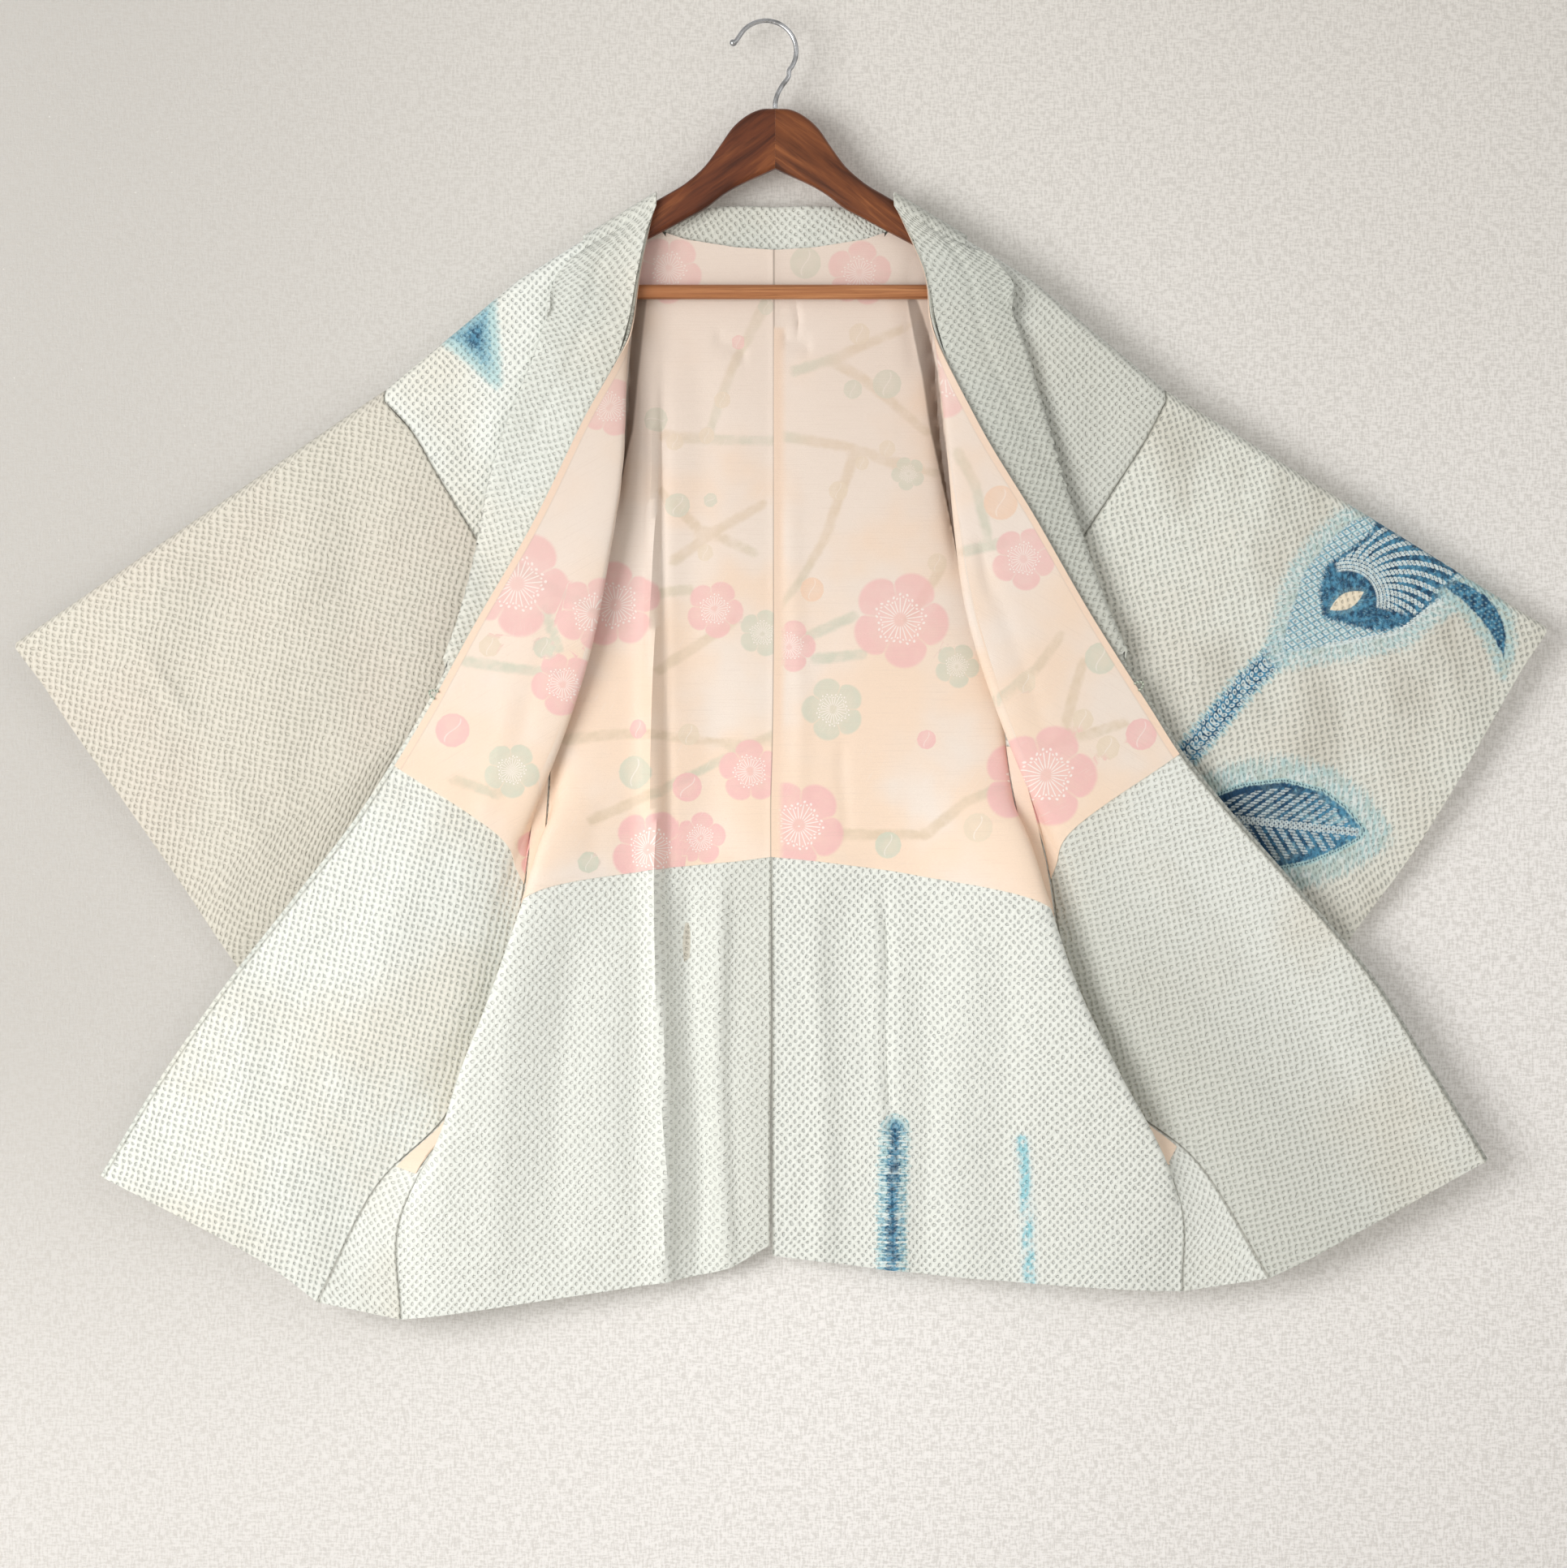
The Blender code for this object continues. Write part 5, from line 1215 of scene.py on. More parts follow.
def bar_piece():
    """The round bar: a circle carried along X between its seats in the arms."""
    x = np.linspace(MIDDLE_X - BAR_END, MIDDLE_X + BAR_END, BAR_STEPS)
    return tube("bar", xyz(x, 0.0, BAR_Z), BAR_RADIUS, BAR_SIDES, UP)


WALL_Y, WALL_HALF_WIDTH, WALL_TOP = 26.0, 2600.0, 900.0
FLOOR_Z, FLOOR_FRONT = -1350.0, -4200.0
STAGE_POINTS = 9


def wall_piece():
    """The wall behind: a flat grid that faces the viewer."""
    x = np.linspace(-WALL_HALF_WIDTH, WALL_HALF_WIDTH, STAGE_POINTS)
    z = np.linspace(WALL_TOP, FLOOR_Z, STAGE_POINTS)
    return flat_sheet("wall", x, z, lambda a, b: (a, WALL_Y, b))


def floor_piece():
    """The floor: a flat grid under the wall's foot and towards the viewer."""
    x = np.linspace(-WALL_HALF_WIDTH, WALL_HALF_WIDTH, STAGE_POINTS)
    y = np.linspace(WALL_Y, FLOOR_FRONT, STAGE_POINTS)
    return flat_sheet("floor", x, y, lambda a, b: (a, b, FLOOR_Z))


def flat_sheet(name, first, second, place):
    """A flat one-sided grid of points over two ranges."""
    a, b = np.meshgrid(first, second)
    verts = xyz(*place(a, b)).reshape(-1, 3) * MM
    index = np.arange(a.size).reshape(a.shape)
    quads = np.stack([index[:-1, :-1], index[1:, :-1], index[1:, 1:], index[:-1, 1:]], axis=-1).reshape(-1, 4)
    mesh = bpy.data.meshes.new(name)
    mesh.from_pydata(verts, [], quads.tolist())
    mesh.update()
    item = bpy.data.objects.new(name, mesh)
    bpy.context.scene.collection.objects.link(item)
    return item


class Value:
    """A node's output that can be reckoned with: each sum, product, power or abs() adds a maths node."""

    def __init__(self, wiring, socket):
        self.wiring, self.socket = wiring, socket

    def __add__(self, other):
        return self.wiring.math("ADD", self, other)

    def __radd__(self, other):
        return self.wiring.math("ADD", other, self)

    def __sub__(self, other):
        return self.wiring.math("SUBTRACT", self, other)

    def __rsub__(self, other):
        return self.wiring.math("SUBTRACT", other, self)

    def __mul__(self, other):
        return self.wiring.math("MULTIPLY", self, other)

    def __truediv__(self, other):
        return self.wiring.math("DIVIDE", self, other)

    def __pow__(self, other):
        return self.wiring.math("POWER", self, other)

    def __abs__(self):
        return self.wiring.math("ABSOLUTE", self)


class Wiring:
    """Writes a finish as a node tree. Each method adds one node and returns its output as a Value."""

    def __init__(self, name):
        old = bpy.data.materials.get(name)
        if old is not None:
            bpy.data.materials.remove(old)
        self.material = bpy.data.materials.new(name)
        self.material.use_nodes = True
        self.nodes = self.material.node_tree.nodes
        self.links = self.material.node_tree.links
        self.shader = self.nodes["Principled BSDF"]
        self.output = self.nodes["Material Output"]
        self.colour = None

    def put(self, socket, value):
        """Links an output to a socket, or sets a plain value on it."""
        if isinstance(value, Value):
            self.links.new(value.socket, socket)
        elif value is not None:
            if hasattr(value, "__len__") and len(value) == 3 and len(socket.default_value) == 4:
                value = (*value, 1.0)
            socket.default_value = value

    def math(self, operation, a, b=None):
        node = self.nodes.new("ShaderNodeMath")
        node.operation = operation
        for socket, value in zip(node.inputs, (a, b)):
            self.put(socket, value)
        return Value(self, node.outputs[0])

    def most(self, *values):
        result = values[0]
        for value in values[1:]:
            result = self.math("MAXIMUM", result, value)
        return result

    def length(self, a, b):
        return self.math("SQRT", a * a + b * b)

    def cell(self, a, pitch):
        """How far a lies from the nearest multiple of a pitch, below or above zero."""
        scaled = a / pitch
        return (scaled - self.math("ROUND", scaled)) * pitch

    def ramp(self, value, start, end, low=0.0, high=1.0, smooth=True):
        """A value that goes from low to high as another goes from start to end."""
        node = self.nodes.new("ShaderNodeMapRange")
        node.interpolation_type = "SMOOTHSTEP" if smooth else "LINEAR"
        for key, v in (("Value", value), ("From Min", start), ("From Max", end), ("To Min", low), ("To Max", high)):
            self.put(node.inputs[key], v)
        return Value(self, node.outputs["Result"])

    def mix(self, share, a, b, kind="MIX"):
        """One colour laid over another by a share."""
        node = self.nodes.new("ShaderNodeMix")
        node.data_type = "RGBA"
        node.blend_type = kind
        self.put(node.inputs[0], share)
        self.put(node.inputs[6], a)
        self.put(node.inputs[7], b)
        return Value(self, node.outputs[2])

    def lay(self, share, colour):
        """Lays a colour over the finish's own so far."""
        self.colour = self.mix(share, self.colour, colour)

    def noise(self, vector, scale, detail=3.0, roughness=0.5, distortion=0.0):
        node = self.nodes.new("ShaderNodeTexNoise")
        self.put(node.inputs["Vector"], vector)
        for key, v in (("Scale", scale), ("Detail", detail), ("Roughness", roughness), ("Distortion", distortion)):
            node.inputs[key].default_value = v
        return Value(self, node.outputs["Fac"])

    def vector(self, x, y, z=0.0):
        node = self.nodes.new("ShaderNodeCombineXYZ")
        for socket, value in zip(node.inputs, (x, y, z)):
            self.put(socket, value)
        return Value(self, node.outputs[0])

    def parts(self, vector):
        node = self.nodes.new("ShaderNodeSeparateXYZ")
        self.put(node.inputs[0], vector)
        return tuple(Value(self, output) for output in node.outputs)

    def stretch(self, vector, factors):
        node = self.nodes.new("ShaderNodeMapping")
        self.put(node.inputs["Vector"], vector)
        node.inputs["Scale"].default_value = factors
        return Value(self, node.outputs[0])

    def field(self, name):
        node = self.nodes.new("ShaderNodeAttribute")
        node.attribute_type = "GEOMETRY"
        node.attribute_name = name
        return Value(self, node.outputs["Vector"])

    def cloth(self):
        node = self.nodes.new("ShaderNodeUVMap")
        node.uv_map = "cloth"
        return Value(self, node.outputs[0])

    def place(self):
        return Value(self, self.nodes.new("ShaderNodeTexCoord").outputs["Object"])

    def bump(self, height, distance, strength=1.0):
        node = self.nodes.new("ShaderNodeBump")
        node.inputs["Strength"].default_value = strength
        node.inputs["Distance"].default_value = distance
        self.put(node.inputs["Height"], height)
        return Value(self, node.outputs[0])

    def finish(self, normal, roughness, **fixed):
        """Connects the colour, bump and roughness, and sets even values on the shader's own sockets."""
        self.put(self.shader.inputs["Base Color"], self.colour)
        self.put(self.shader.inputs["Normal"], normal)
        self.put(self.shader.inputs["Roughness"], roughness)
        for key, value in fixed.items():
            self.put(self.shader.inputs[key.replace("_", " ").title().replace("Ior", "IOR")], value)
        return self.material


# The dye's drawing, in millimetres and radians: the step and start of the flower's fan of rings, its eye, and the
# leaf's rows of rings and its length.
FAN_STEP, FAN_START = 0.15, 22.0
EYE_LENGTH, EYE_WIDTH = 14.5, 5.8
LEAF_ROW, LEAF_LENGTH = 8.6, 120.0
# The flower's tail: its middle line and half its width, each a greatest value, its height (down) and its bend.
TAIL_MIDDLE, TAIL_HALF = (91.0, 68.0, 0.0085), (7.5, 50.0, 0.0038)
# White lines in a blossom of the lining's print.
STAMENS = 22.0


def beads(w, along, across, pitch, radius, wall):
    """White rings in a row: how near a point is to a circle about the nearest bead, from 0 to 1."""
    distance = w.length(w.cell(along, pitch), across)
    return w.ramp(abs(distance - radius), wall, wall * 0.45)


def dyed(w, settings, fields):
    """Lays the dyed motifs over the silk's colour: ragged halo with fine strokes, mottled blue, and rows of small
    white rings where the cloth was tied. The flower's eye is a lens that narrows with the square of the place along
    it; its tail lies about a parabola, and half the tail's width follows another."""
    deep, mid = settings.dye_deep, settings.dye_mid
    halo, pale = settings.dye_halo, settings.dye_pale
    place = w.place()
    wander = (w.noise(place, 420.0, 4.0, 0.65) - 0.5) * 9.0
    mottle = w.noise(place, 210.0, 4.0, 0.65)
    cloud = w.noise(place, 70.0, 3.0, 0.6)
    blue = w.mix(w.ramp(mottle, 0.36, 0.66), deep, mid)
    lighter = w.mix(w.ramp(mottle, 0.4, 0.7), mid, halo)
    if "dye_line" in fields:
        along, off, depth = w.parts(w.field("dye_line"))
        strokes = w.noise(w.vector(along * 0.55, off * 0.1), 1.0, 3.0, 0.6)
        ragged = off + (wander + (strokes - 0.5) * 14.0)
        w.lay(w.ramp(ragged, 13.0, 8.0, 0.0, 0.95), w.mix(w.ramp(strokes, 0.46, 0.60), halo, pale))
        w.lay(w.ramp(ragged, 10.5, 6.5) * w.ramp(strokes, 0.56, 0.44, 0.0, 0.75), lighter)
        half = 1.2 + depth * 5.8
        core = w.ramp(off + (strokes - 0.5) * 13.0 - half, 1.8, -0.8)
        w.lay(core * w.ramp(cloud, 0.34, 0.46, 0.45, 1.0), w.mix(w.ramp(mottle, 0.6, 0.4, 0.0, 0.85), mid, deep))
        slanted = along + off * 0.45
        ring = beads(w, slanted, off - 2.4, 4.6, 1.2, 0.8)
        outer = beads(w, slanted + 2.3, off - 6.4, 4.6, 1.1, 0.7)
        white = w.most(ring, outer * w.ramp(ragged, 9.0, 7.0, 0.0, 0.8))
        w.lay(white * w.ramp(depth, 0.3, 1.0, 0.15, 0.85), pale)
        w.lay(w.ramp(off, 1.5, 0.5) * w.ramp(strokes, 0.45, 0.55) * w.ramp(depth, 1.0, 0.3, 0.2, 0.8), deep)
    if "dye_flower" in fields:
        x, y, edge = w.parts(w.field("dye_flower"))
        heart, tail, _ = w.parts(w.field("dye_heart"))
        angle = w.math("ARCTAN2", y, x)
        radius = w.length(x, y)
        fine = w.noise(w.vector(angle * 30.0, radius * 0.22), 1.0, 2.0, 0.6)
        ragged = edge + (wander + (fine - 0.5) * 14.0)
        w.lay(w.ramp(ragged, 17.0, 7.0, 0.0, 0.8), w.mix(w.ramp(fine, 0.4, 0.6), halo, pale))
        w.lay(w.ramp(ragged, 10.0, 4.0) * w.ramp(cloud, 0.45, 0.65, 0.0, 0.6), settings.dye_grey)
        body = w.ramp(edge + wander * 0.4, 1.0, -1.5)
        w.lay(body * 0.95, w.mix(w.ramp(mottle, 0.35, 0.7, 0.25, 0.75), mid, halo))
        slant = x + y * 0.35
        square = w.most(abs(w.cell(slant, 5.0)), abs(w.cell(y, 4.6)))
        w.lay(w.ramp(square, 2.0, 1.55) * (body * 0.95), pale)
        w.lay(w.ramp(square, 0.95, 0.55) * (body * 0.6), lighter)
        core = w.ramp(heart + wander * 0.7 + (fine - 0.5) * 9.0, 2.2, -2.0)
        w.lay(core, blue)
        w.lay(core * w.ramp(fine, 0.56, 0.72, 0.0, 0.45), halo)
        swept = angle + (radius - 20.0) * 0.011
        centre = w.cell(swept, FAN_STEP)
        twin = abs(centre * radius) - 1.0
        ring = beads(w, radius, twin, 2.9, 0.75, 0.75)
        sweep = w.ramp(angle, -0.75, -0.65) * w.ramp(angle, 1.45, 1.3)
        ends = (w.noise(w.vector(w.math("ROUND", swept / FAN_STEP), 0.0), 3.0, 0.0) - 0.5) * 30.0
        inner_end = FAN_START + ends * 0.3
        fan = w.ramp(radius, inner_end, inner_end + 1.5) * sweep
        fan = fan * w.ramp(heart + ends * 0.4, -2.0, -3.5)
        w.lay(ring * fan * 0.9, pale)
        lens = abs(y) + (x / EYE_LENGTH) ** 2.0 * EYE_WIDTH
        w.lay(w.ramp(lens + (fine - 0.5) * 3.0, 10.5, 8.0) * w.ramp(fine, 0.45, 0.65, 0.1, 0.5), halo)
        w.lay(w.ramp(lens + wander * 0.12, 6.2, 5.4), settings.eye)
        rim = beads(w, x + y, edge + 0.5, 3.6, 1.1, 0.9)
        w.lay(rim * w.ramp(y - x * 0.3, -8.0, -16.0), pale)
        middle = TAIL_MIDDLE[0] - (y + TAIL_MIDDLE[1]) ** 2.0 * TAIL_MIDDLE[2]
        half = TAIL_HALF[0] - (y + TAIL_HALF[1]) ** 2.0 * TAIL_HALF[2]
        on_front = w.ramp(tail, 18.0, 11.0) * w.ramp(y, -22.0, -28.0)
        tail = abs(x - middle) - half
        tail_in = tail + (mottle - 0.5) * 5.0
        w.lay(
            w.ramp(tail + (wander + (fine - 0.5) * 12.0), 13.0, 5.0, 0.0, 0.75) * on_front,
            w.mix(w.ramp(mottle, 0.45, 0.6), halo, settings.dye_grey),
        )
        w.lay(w.ramp(tail_in, 0.8, -1.0) * on_front, blue)
        specks = w.length(w.cell(slant, 3.4), w.cell(y, 3.4))
        w.lay(w.ramp(specks, 1.1, 0.6) * w.ramp(tail, -1.0, -2.0, 0.0, 0.4), halo)
    if "dye_leaf" in fields:
        along, across, edge = w.parts(w.field("dye_leaf"))
        ribs = w.noise(w.vector(along * 0.5, across * 0.1), 1.0, 3.0, 0.6)
        ragged = edge + (wander + (ribs - 0.5) * 22.0)
        w.lay(w.ramp(ragged, 24.0, 13.0, 0.0, 0.8), w.mix(w.ramp(ribs, 0.42, 0.6), halo, pale))
        w.lay(w.ramp(ragged, 22.0, 10.0) * w.ramp(cloud, 0.42, 0.62, 0.0, 0.75), settings.dye_grey)
        w.lay(w.ramp(abs(edge - 1.2), 2.4, 1.4) * 0.85, halo)
        inner = w.ramp(edge + (wander * 0.25 + (ribs - 0.5) * 3.0), 0.6, -0.9)
        tipward = along / LEAF_LENGTH + (mottle - 0.5) * 1.6
        w.lay(inner, w.mix(w.ramp(tipward, 0.25, 0.95), deep, mid))
        w.lay(inner * (w.ramp(cloud, 0.5, 0.62) * w.ramp(tipward, 0.5, 1.0, 0.15, 0.85)), halo)
        slant = along - abs(across) * w.ramp(across, -1.0, 1.0, 0.8, 1.15)
        centre = w.cell(slant, LEAF_ROW)
        rows = abs(centre) - 1.1
        ring = beads(w, abs(across) * 1.35, rows * 0.75, 3.1, 0.7, 0.75)
        cut = (w.noise(w.vector(w.math("ROUND", slant / LEAF_ROW), w.math("SIGN", across)), 2.3, 0.0) - 0.5) * 12.0
        within = inner * w.ramp(edge + cut, -4.5, -6.0) * w.ramp(abs(across), 3.0, 4.0)
        w.lay(ring * within * 0.66, pale)
        spine = beads(w, along, abs(across) - 1.5, 3.6, 1.1, 0.95)
        w.lay(w.ramp(abs(across), 1.2, 0.5) * inner, deep)
        w.lay(spine * (inner * 0.75), pale)
        dots = w.length(w.cell(along + across * 0.3, 2.3), edge - 1.4)
        w.lay(w.ramp(dots, 0.85, 0.4) * 0.8, deep)
    if "dye_patch" in fields:
        patch, streak, _ = w.parts(w.field("dye_patch"))
        ragged = patch + wander
        w.lay(w.ramp(ragged, 7.0, 0.0, 0.0, 0.8), halo)
        w.lay(w.ramp(patch + wander * 1.5, -1.0, -6.0, 0.0, 0.85), w.mix(mottle, mid, halo))
        w.lay(w.ramp(patch + wander * 1.6, -6.0, -12.0, 0.0, 0.9), blue)
        broken = w.ramp(mottle, 0.36, 0.50)
        w.lay(w.ramp(streak + wander, 9.0, 4.0, 0.0, 0.6), pale)
        w.lay(w.ramp(streak + wander * 0.9, 6.0, 2.5) * (broken * 0.95), settings.dye_cyan)


def kanoko_silk(name, settings, ground, shade, warm, fields=(), grey=0.0, right_side_painted_shade=0.0, fade=None, seams=True):
    """Silk with a dyer's dimple pattern: rows of small slanted oval pits, each row half a step aside, with raised
    net between them. The height is a product of two cosines, slanted by a product of two sines. The pits carry
    painted shade and the net a painted highlight.

    `fade` gives two distances from the first edge in mm, between which painted shade comes in, and its share.
    `grey` shifts the share of the drifting darker tone: above zero it adds painted shade, below zero less of the
    tone shows. One more share paints shade over the piece's right-hand side.
    """
    w = Wiring(name)
    cloth = w.cloth()
    place = w.place()
    u, v, _ = w.parts(cloth)
    bend = w.noise(cloth, 40.0, 2.0, 0.5)
    bend2 = w.noise(w.stretch(cloth, (1.0, 1.2, 1.0)), 52.0, 2.0, 0.5)
    small = w.noise(cloth, 300.0, 2.0, 0.5)
    a = u / settings.pit_pitch[0] + (bend - 0.5) * 0.9
    b = v / settings.pit_pitch[1] + (bend2 - 0.5) * 0.9
    a = a + (small - 0.5) * 0.4
    b = b + (small - 0.5) * 0.25
    turn_a, turn_b = a * (2 * math.pi), b * (2 * math.pi)
    wave = w.math("COSINE", turn_a) * w.math("COSINE", turn_b)
    lean = w.math("SINE", turn_a) * w.math("SINE", turn_b)
    wave = wave + lean * w.ramp(bend2, 0.35, 0.65, -0.32, 0.06)
    wave = wave + w.math("COSINE", turn_a * 2.0) * 0.16
    pit = w.ramp(wave, 0.25, 0.98)
    crown = w.ramp(wave, 0.1, -0.9)
    thread = w.noise(w.stretch(cloth, (900.0, 2600.0, 1.0)), 1.0, 2.0, 0.6)
    height = crown * 0.35 - pit + thread * 0.22
    clouds = w.noise(place, 7.0, 3.0, 0.55)
    drift = w.noise(w.stretch(place, (1.0, 1.0, 0.35)), 16.0, 3.0, 0.55)
    uneven = w.noise(cloth, 150.0, 3.0, 0.6)
    w.colour = ground
    w.lay(w.ramp(clouds, 0.4, 0.65), warm)
    # The drifting darker tone, with each piece's shift of painted shade added to its share.
    w.lay(w.ramp(drift, 0.42, 0.72, 0.0, 0.35 + grey), shade)
    w.lay(w.ramp(uneven, 0.35, 0.75, 0.0, 0.22), shade)
    if seams:
        first, last, _ = w.parts(w.field("seam"))
        if fade is not None:
            # Painted shade between two distances from the first edge.
            w.lay(w.ramp(first, fade[0], fade[1], 0.0, fade[2]), shade)
    if right_side_painted_shade:
        # Painted shade over the right-hand side, which lies away from the light.
        w.lay(w.ramp(w.parts(place)[0], 0.04, 0.20, 0.0, right_side_painted_shade), shade)
    # Painted highlight on the raised net between the pits.
    w.lay(crown * 0.15, settings.crest_painted_highlight)
    # Painted shade in the pits, stronger where the drifting darker tone lies.
    strength = w.ramp(drift, 0.35, 0.65, 0.55, 1.25) * settings.pit_darkness
    w.lay(pit * strength, settings.pit_painted_shade)
    if fields:
        dyed(w, settings, fields)
        # Painted shade in the pits of the dyed pieces, whether the dye reaches them or not.
        w.lay(pit * 0.18, settings.dyed_pit_painted_shade)
    if seams:
        w.lay(w.ramp(first, 2.0, 0.5, 0.0, 0.5), settings.seam_shade)
        w.lay(w.ramp(last, 2.0, 0.5, 0.0, 0.5), settings.seam_shade)
    normal = w.bump(height, settings.pit_depth, 1.0)
    return w.finish(
        normal, w.ramp(pit, 0.0, 1.0, 0.58, 0.85), sheen_weight=0.12, sheen_roughness=0.45,
        specular_ior_level=0.3,
    )


def printed_lining(name, settings, strip=None):
    """Smooth lining silk: clouded cream and peach, with a faded print of plum blossom, buds and branches, a dark line
    along a back's centre seam, and painted shade in its deep folds and towards its top.

    `strip` gives the width of a plain strip along the first edge, and the height below which it shows.
    """
    w = Wiring(name)
    cloth = w.cloth()
    place = w.place()
    u, v, _ = w.parts(cloth)
    _, _, z = w.parts(place)
    clouds = w.noise(cloth, 11.0, 3.0, 0.5)
    drift = w.noise(cloth, 6.0, 2.0, 0.5)
    peach = w.ramp(clouds + w.ramp(z, -0.25, -0.6, -0.1, 0.16, smooth=False), 0.42, 0.66)
    ground = w.mix(peach, settings.lining_cream, settings.lining_peach)
    ground = w.mix(w.ramp(drift, 0.5, 0.7, 0.0, 0.5), ground, settings.lining_pale)
    x, y, radius = w.parts(w.field("bloom"))
    tint = w.field("tint")
    branch, blossom, from_edge = w.parts(w.field("twig"))
    fade = w.noise(cloth, 75.0, 3.0, 0.6)
    hatch = w.noise(w.vector((u + v * 0.6) * 900.0, (v - u * 0.6) * 60.0), 1.0, 2.0, 0.5)
    soft = (w.noise(cloth, 160.0, 3.0, 0.6) - 0.5) * 3.0
    stem = w.ramp(branch + soft, 2.6, -0.8) * w.ramp(fade, 0.25, 0.7, 0.4, 0.85)
    w.colour = ground
    w.lay(stem, w.mix(w.ramp(drift, 0.45, 0.6), settings.twig_beige, settings.twig_green))
    angle = w.math("ARCTAN2", y, x)
    lobe = abs(w.math("COSINE", angle * 2.5))
    petal_edge = 0.7 + lobe ** 0.55 * 0.3
    petal_edge = petal_edge * blossom + (0.92 - blossom * 0.92)
    inside = w.ramp(radius - petal_edge, 0.045, -0.045)
    wash = w.ramp(radius + (fade - 0.5) * 1.8, 0.1, 1.05, 0.62, 0.85)
    w.lay(inside * wash, tint)
    notch = w.ramp(lobe, 0.14, 0.04) * w.ramp(radius, 0.4, 0.6)
    w.lay(notch * inside * (blossom * 0.4), ground)
    sector = w.cell(angle * (STAMENS / (2 * math.pi)), 1.0)
    ray = abs(sector) * (radius * (2 * math.pi / STAMENS))
    reach = 0.44 + w.math("SINE", angle * 5.0) * 0.045
    along = w.ramp(radius, reach, reach - 0.03) * w.ramp(radius, 0.12, 0.18)
    line = w.ramp(ray, 0.016, 0.006) * along
    dot = w.ramp(w.length(ray, radius - (reach + 0.05)), 0.034, 0.02)
    between = (0.5 - abs(sector)) * (radius * (2 * math.pi / STAMENS))
    inner_dot = w.ramp(w.length(between, radius - (reach - 0.015)), 0.026, 0.015)
    heart = w.ramp(radius, 0.05, 0.035)
    white = w.most(line, dot, inner_dot, heart) * blossom
    bend = w.math("SINE", y * 3.0) * 0.25
    bud_line = w.ramp(abs(x - bend), 0.06, 0.02) * w.ramp(radius, 0.85, 0.7)
    white = w.most(white, bud_line * (1.0 - blossom) * 0.5)
    w.lay(white * 0.85, settings.stamen)
    hatch_share = w.ramp(hatch, 0.6, 0.72) * w.ramp(w.noise(cloth, 22.0, 2.0, 0.5), 0.5, 0.62)
    w.lay(hatch_share * 0.3, settings.lining_pale)
    gap, seam_line, _ = w.parts(w.field("gap"))
    w.lay(w.ramp(seam_line, 1.1, 0.3, 0.0, 0.55), settings.fold_shade)
    if strip is not None:
        width, top = strip
        share = w.ramp(from_edge, width, width - (7.0 if top else 0.5))
        if top:
            share = share * w.ramp(z, top * MM, top * MM - 0.004)
        seam = w.ramp(abs(from_edge - width), 0.9, 0.2, 0.0, 0.0 if top else 0.35)
        w.lay(share, settings.facing)
        w.lay(seam, settings.lining_threads_and_painted_shade)
    weft = w.noise(w.stretch(cloth, (420.0, 4200.0, 1.0)), 1.0, 2.0, 0.6)
    warp = w.noise(w.stretch(cloth, (4200.0, 420.0, 1.0)), 1.0, 2.0, 0.6)
    slub = w.noise(w.stretch(cloth, (26.0, 900.0, 1.0)), 1.0, 2.0, 0.5)
    w.lay(w.ramp(weft, 0.35, 0.75, 0.0, 0.16), settings.lining_threads_and_painted_shade)
    w.lay(w.ramp(warp, 0.4, 0.75, 0.0, 0.10), settings.lining_threads_and_painted_shade)
    w.lay(w.ramp(slub, 0.55, 0.75, 0.0, 0.16), settings.lining_threads_and_painted_shade)
    # Painted shade: the lining darkens towards its top, where it lies deep inside the body.
    w.lay(w.ramp(z, -0.62, -0.25, 0.0, 0.45, smooth=False), settings.lining_threads_and_painted_shade)
    # Painted shade in the deep folds beside the fronts, darker lower down.
    w.lay(w.ramp(gap, 0.8, -1.2) * w.ramp(z, -0.24, -0.4, 0.6, 0.95), settings.fold_shade)
    normal = w.bump(weft + warp + slub, 0.00015, 0.6)
    return w.finish(
        normal, w.ramp(weft, 0.2, 0.8, 0.40, 0.52), sheen_weight=0.12, sheen_roughness=0.35,
        specular_ior_level=0.36,
    )


def grained_wood(name, light, mid, dark, grain_scale, turn=0.0):
    """Stained wood: streaks from noise stretched along the grain, which is turned in X and Z by an angle in radians,
    narrower bands between them, and fine dark pores."""
    w = Wiring(name)
    x, y, z = w.parts(w.place())
    along = x * math.cos(turn) + z * math.sin(turn)
    across = z * math.cos(turn) - x * math.sin(turn)
    grain = w.vector(along, y, across)
    broad = w.noise(w.stretch(grain, grain_scale), 1.0, 4.0, 0.6, 0.5)
    bands = w.noise(w.stretch(grain, tuple(4.0 * g for g in grain_scale)), 1.0, 3.0, 0.6, 0.4)
    pores = w.noise(w.stretch(grain, (70.0, 1400.0, 1700.0)), 1.0, 2.0, 0.7)
    w.colour = dark
    w.lay(w.ramp(broad, 0.32, 0.52), mid)
    w.lay(w.ramp(broad, 0.50, 0.72), light)
    w.lay(w.ramp(bands, 0.5, 0.7) * 0.45, dark)
    w.lay(w.ramp(pores, 0.58, 0.72) * 0.35, dark)
    normal = w.bump(pores * 0.6 + bands, 0.00015, 0.45)
    return w.finish(
        normal, w.ramp(bands, 0.3, 0.7, 0.42, 0.55), coat_weight=0.08, coat_roughness=0.3,
        specular_ior_level=0.3,
    )


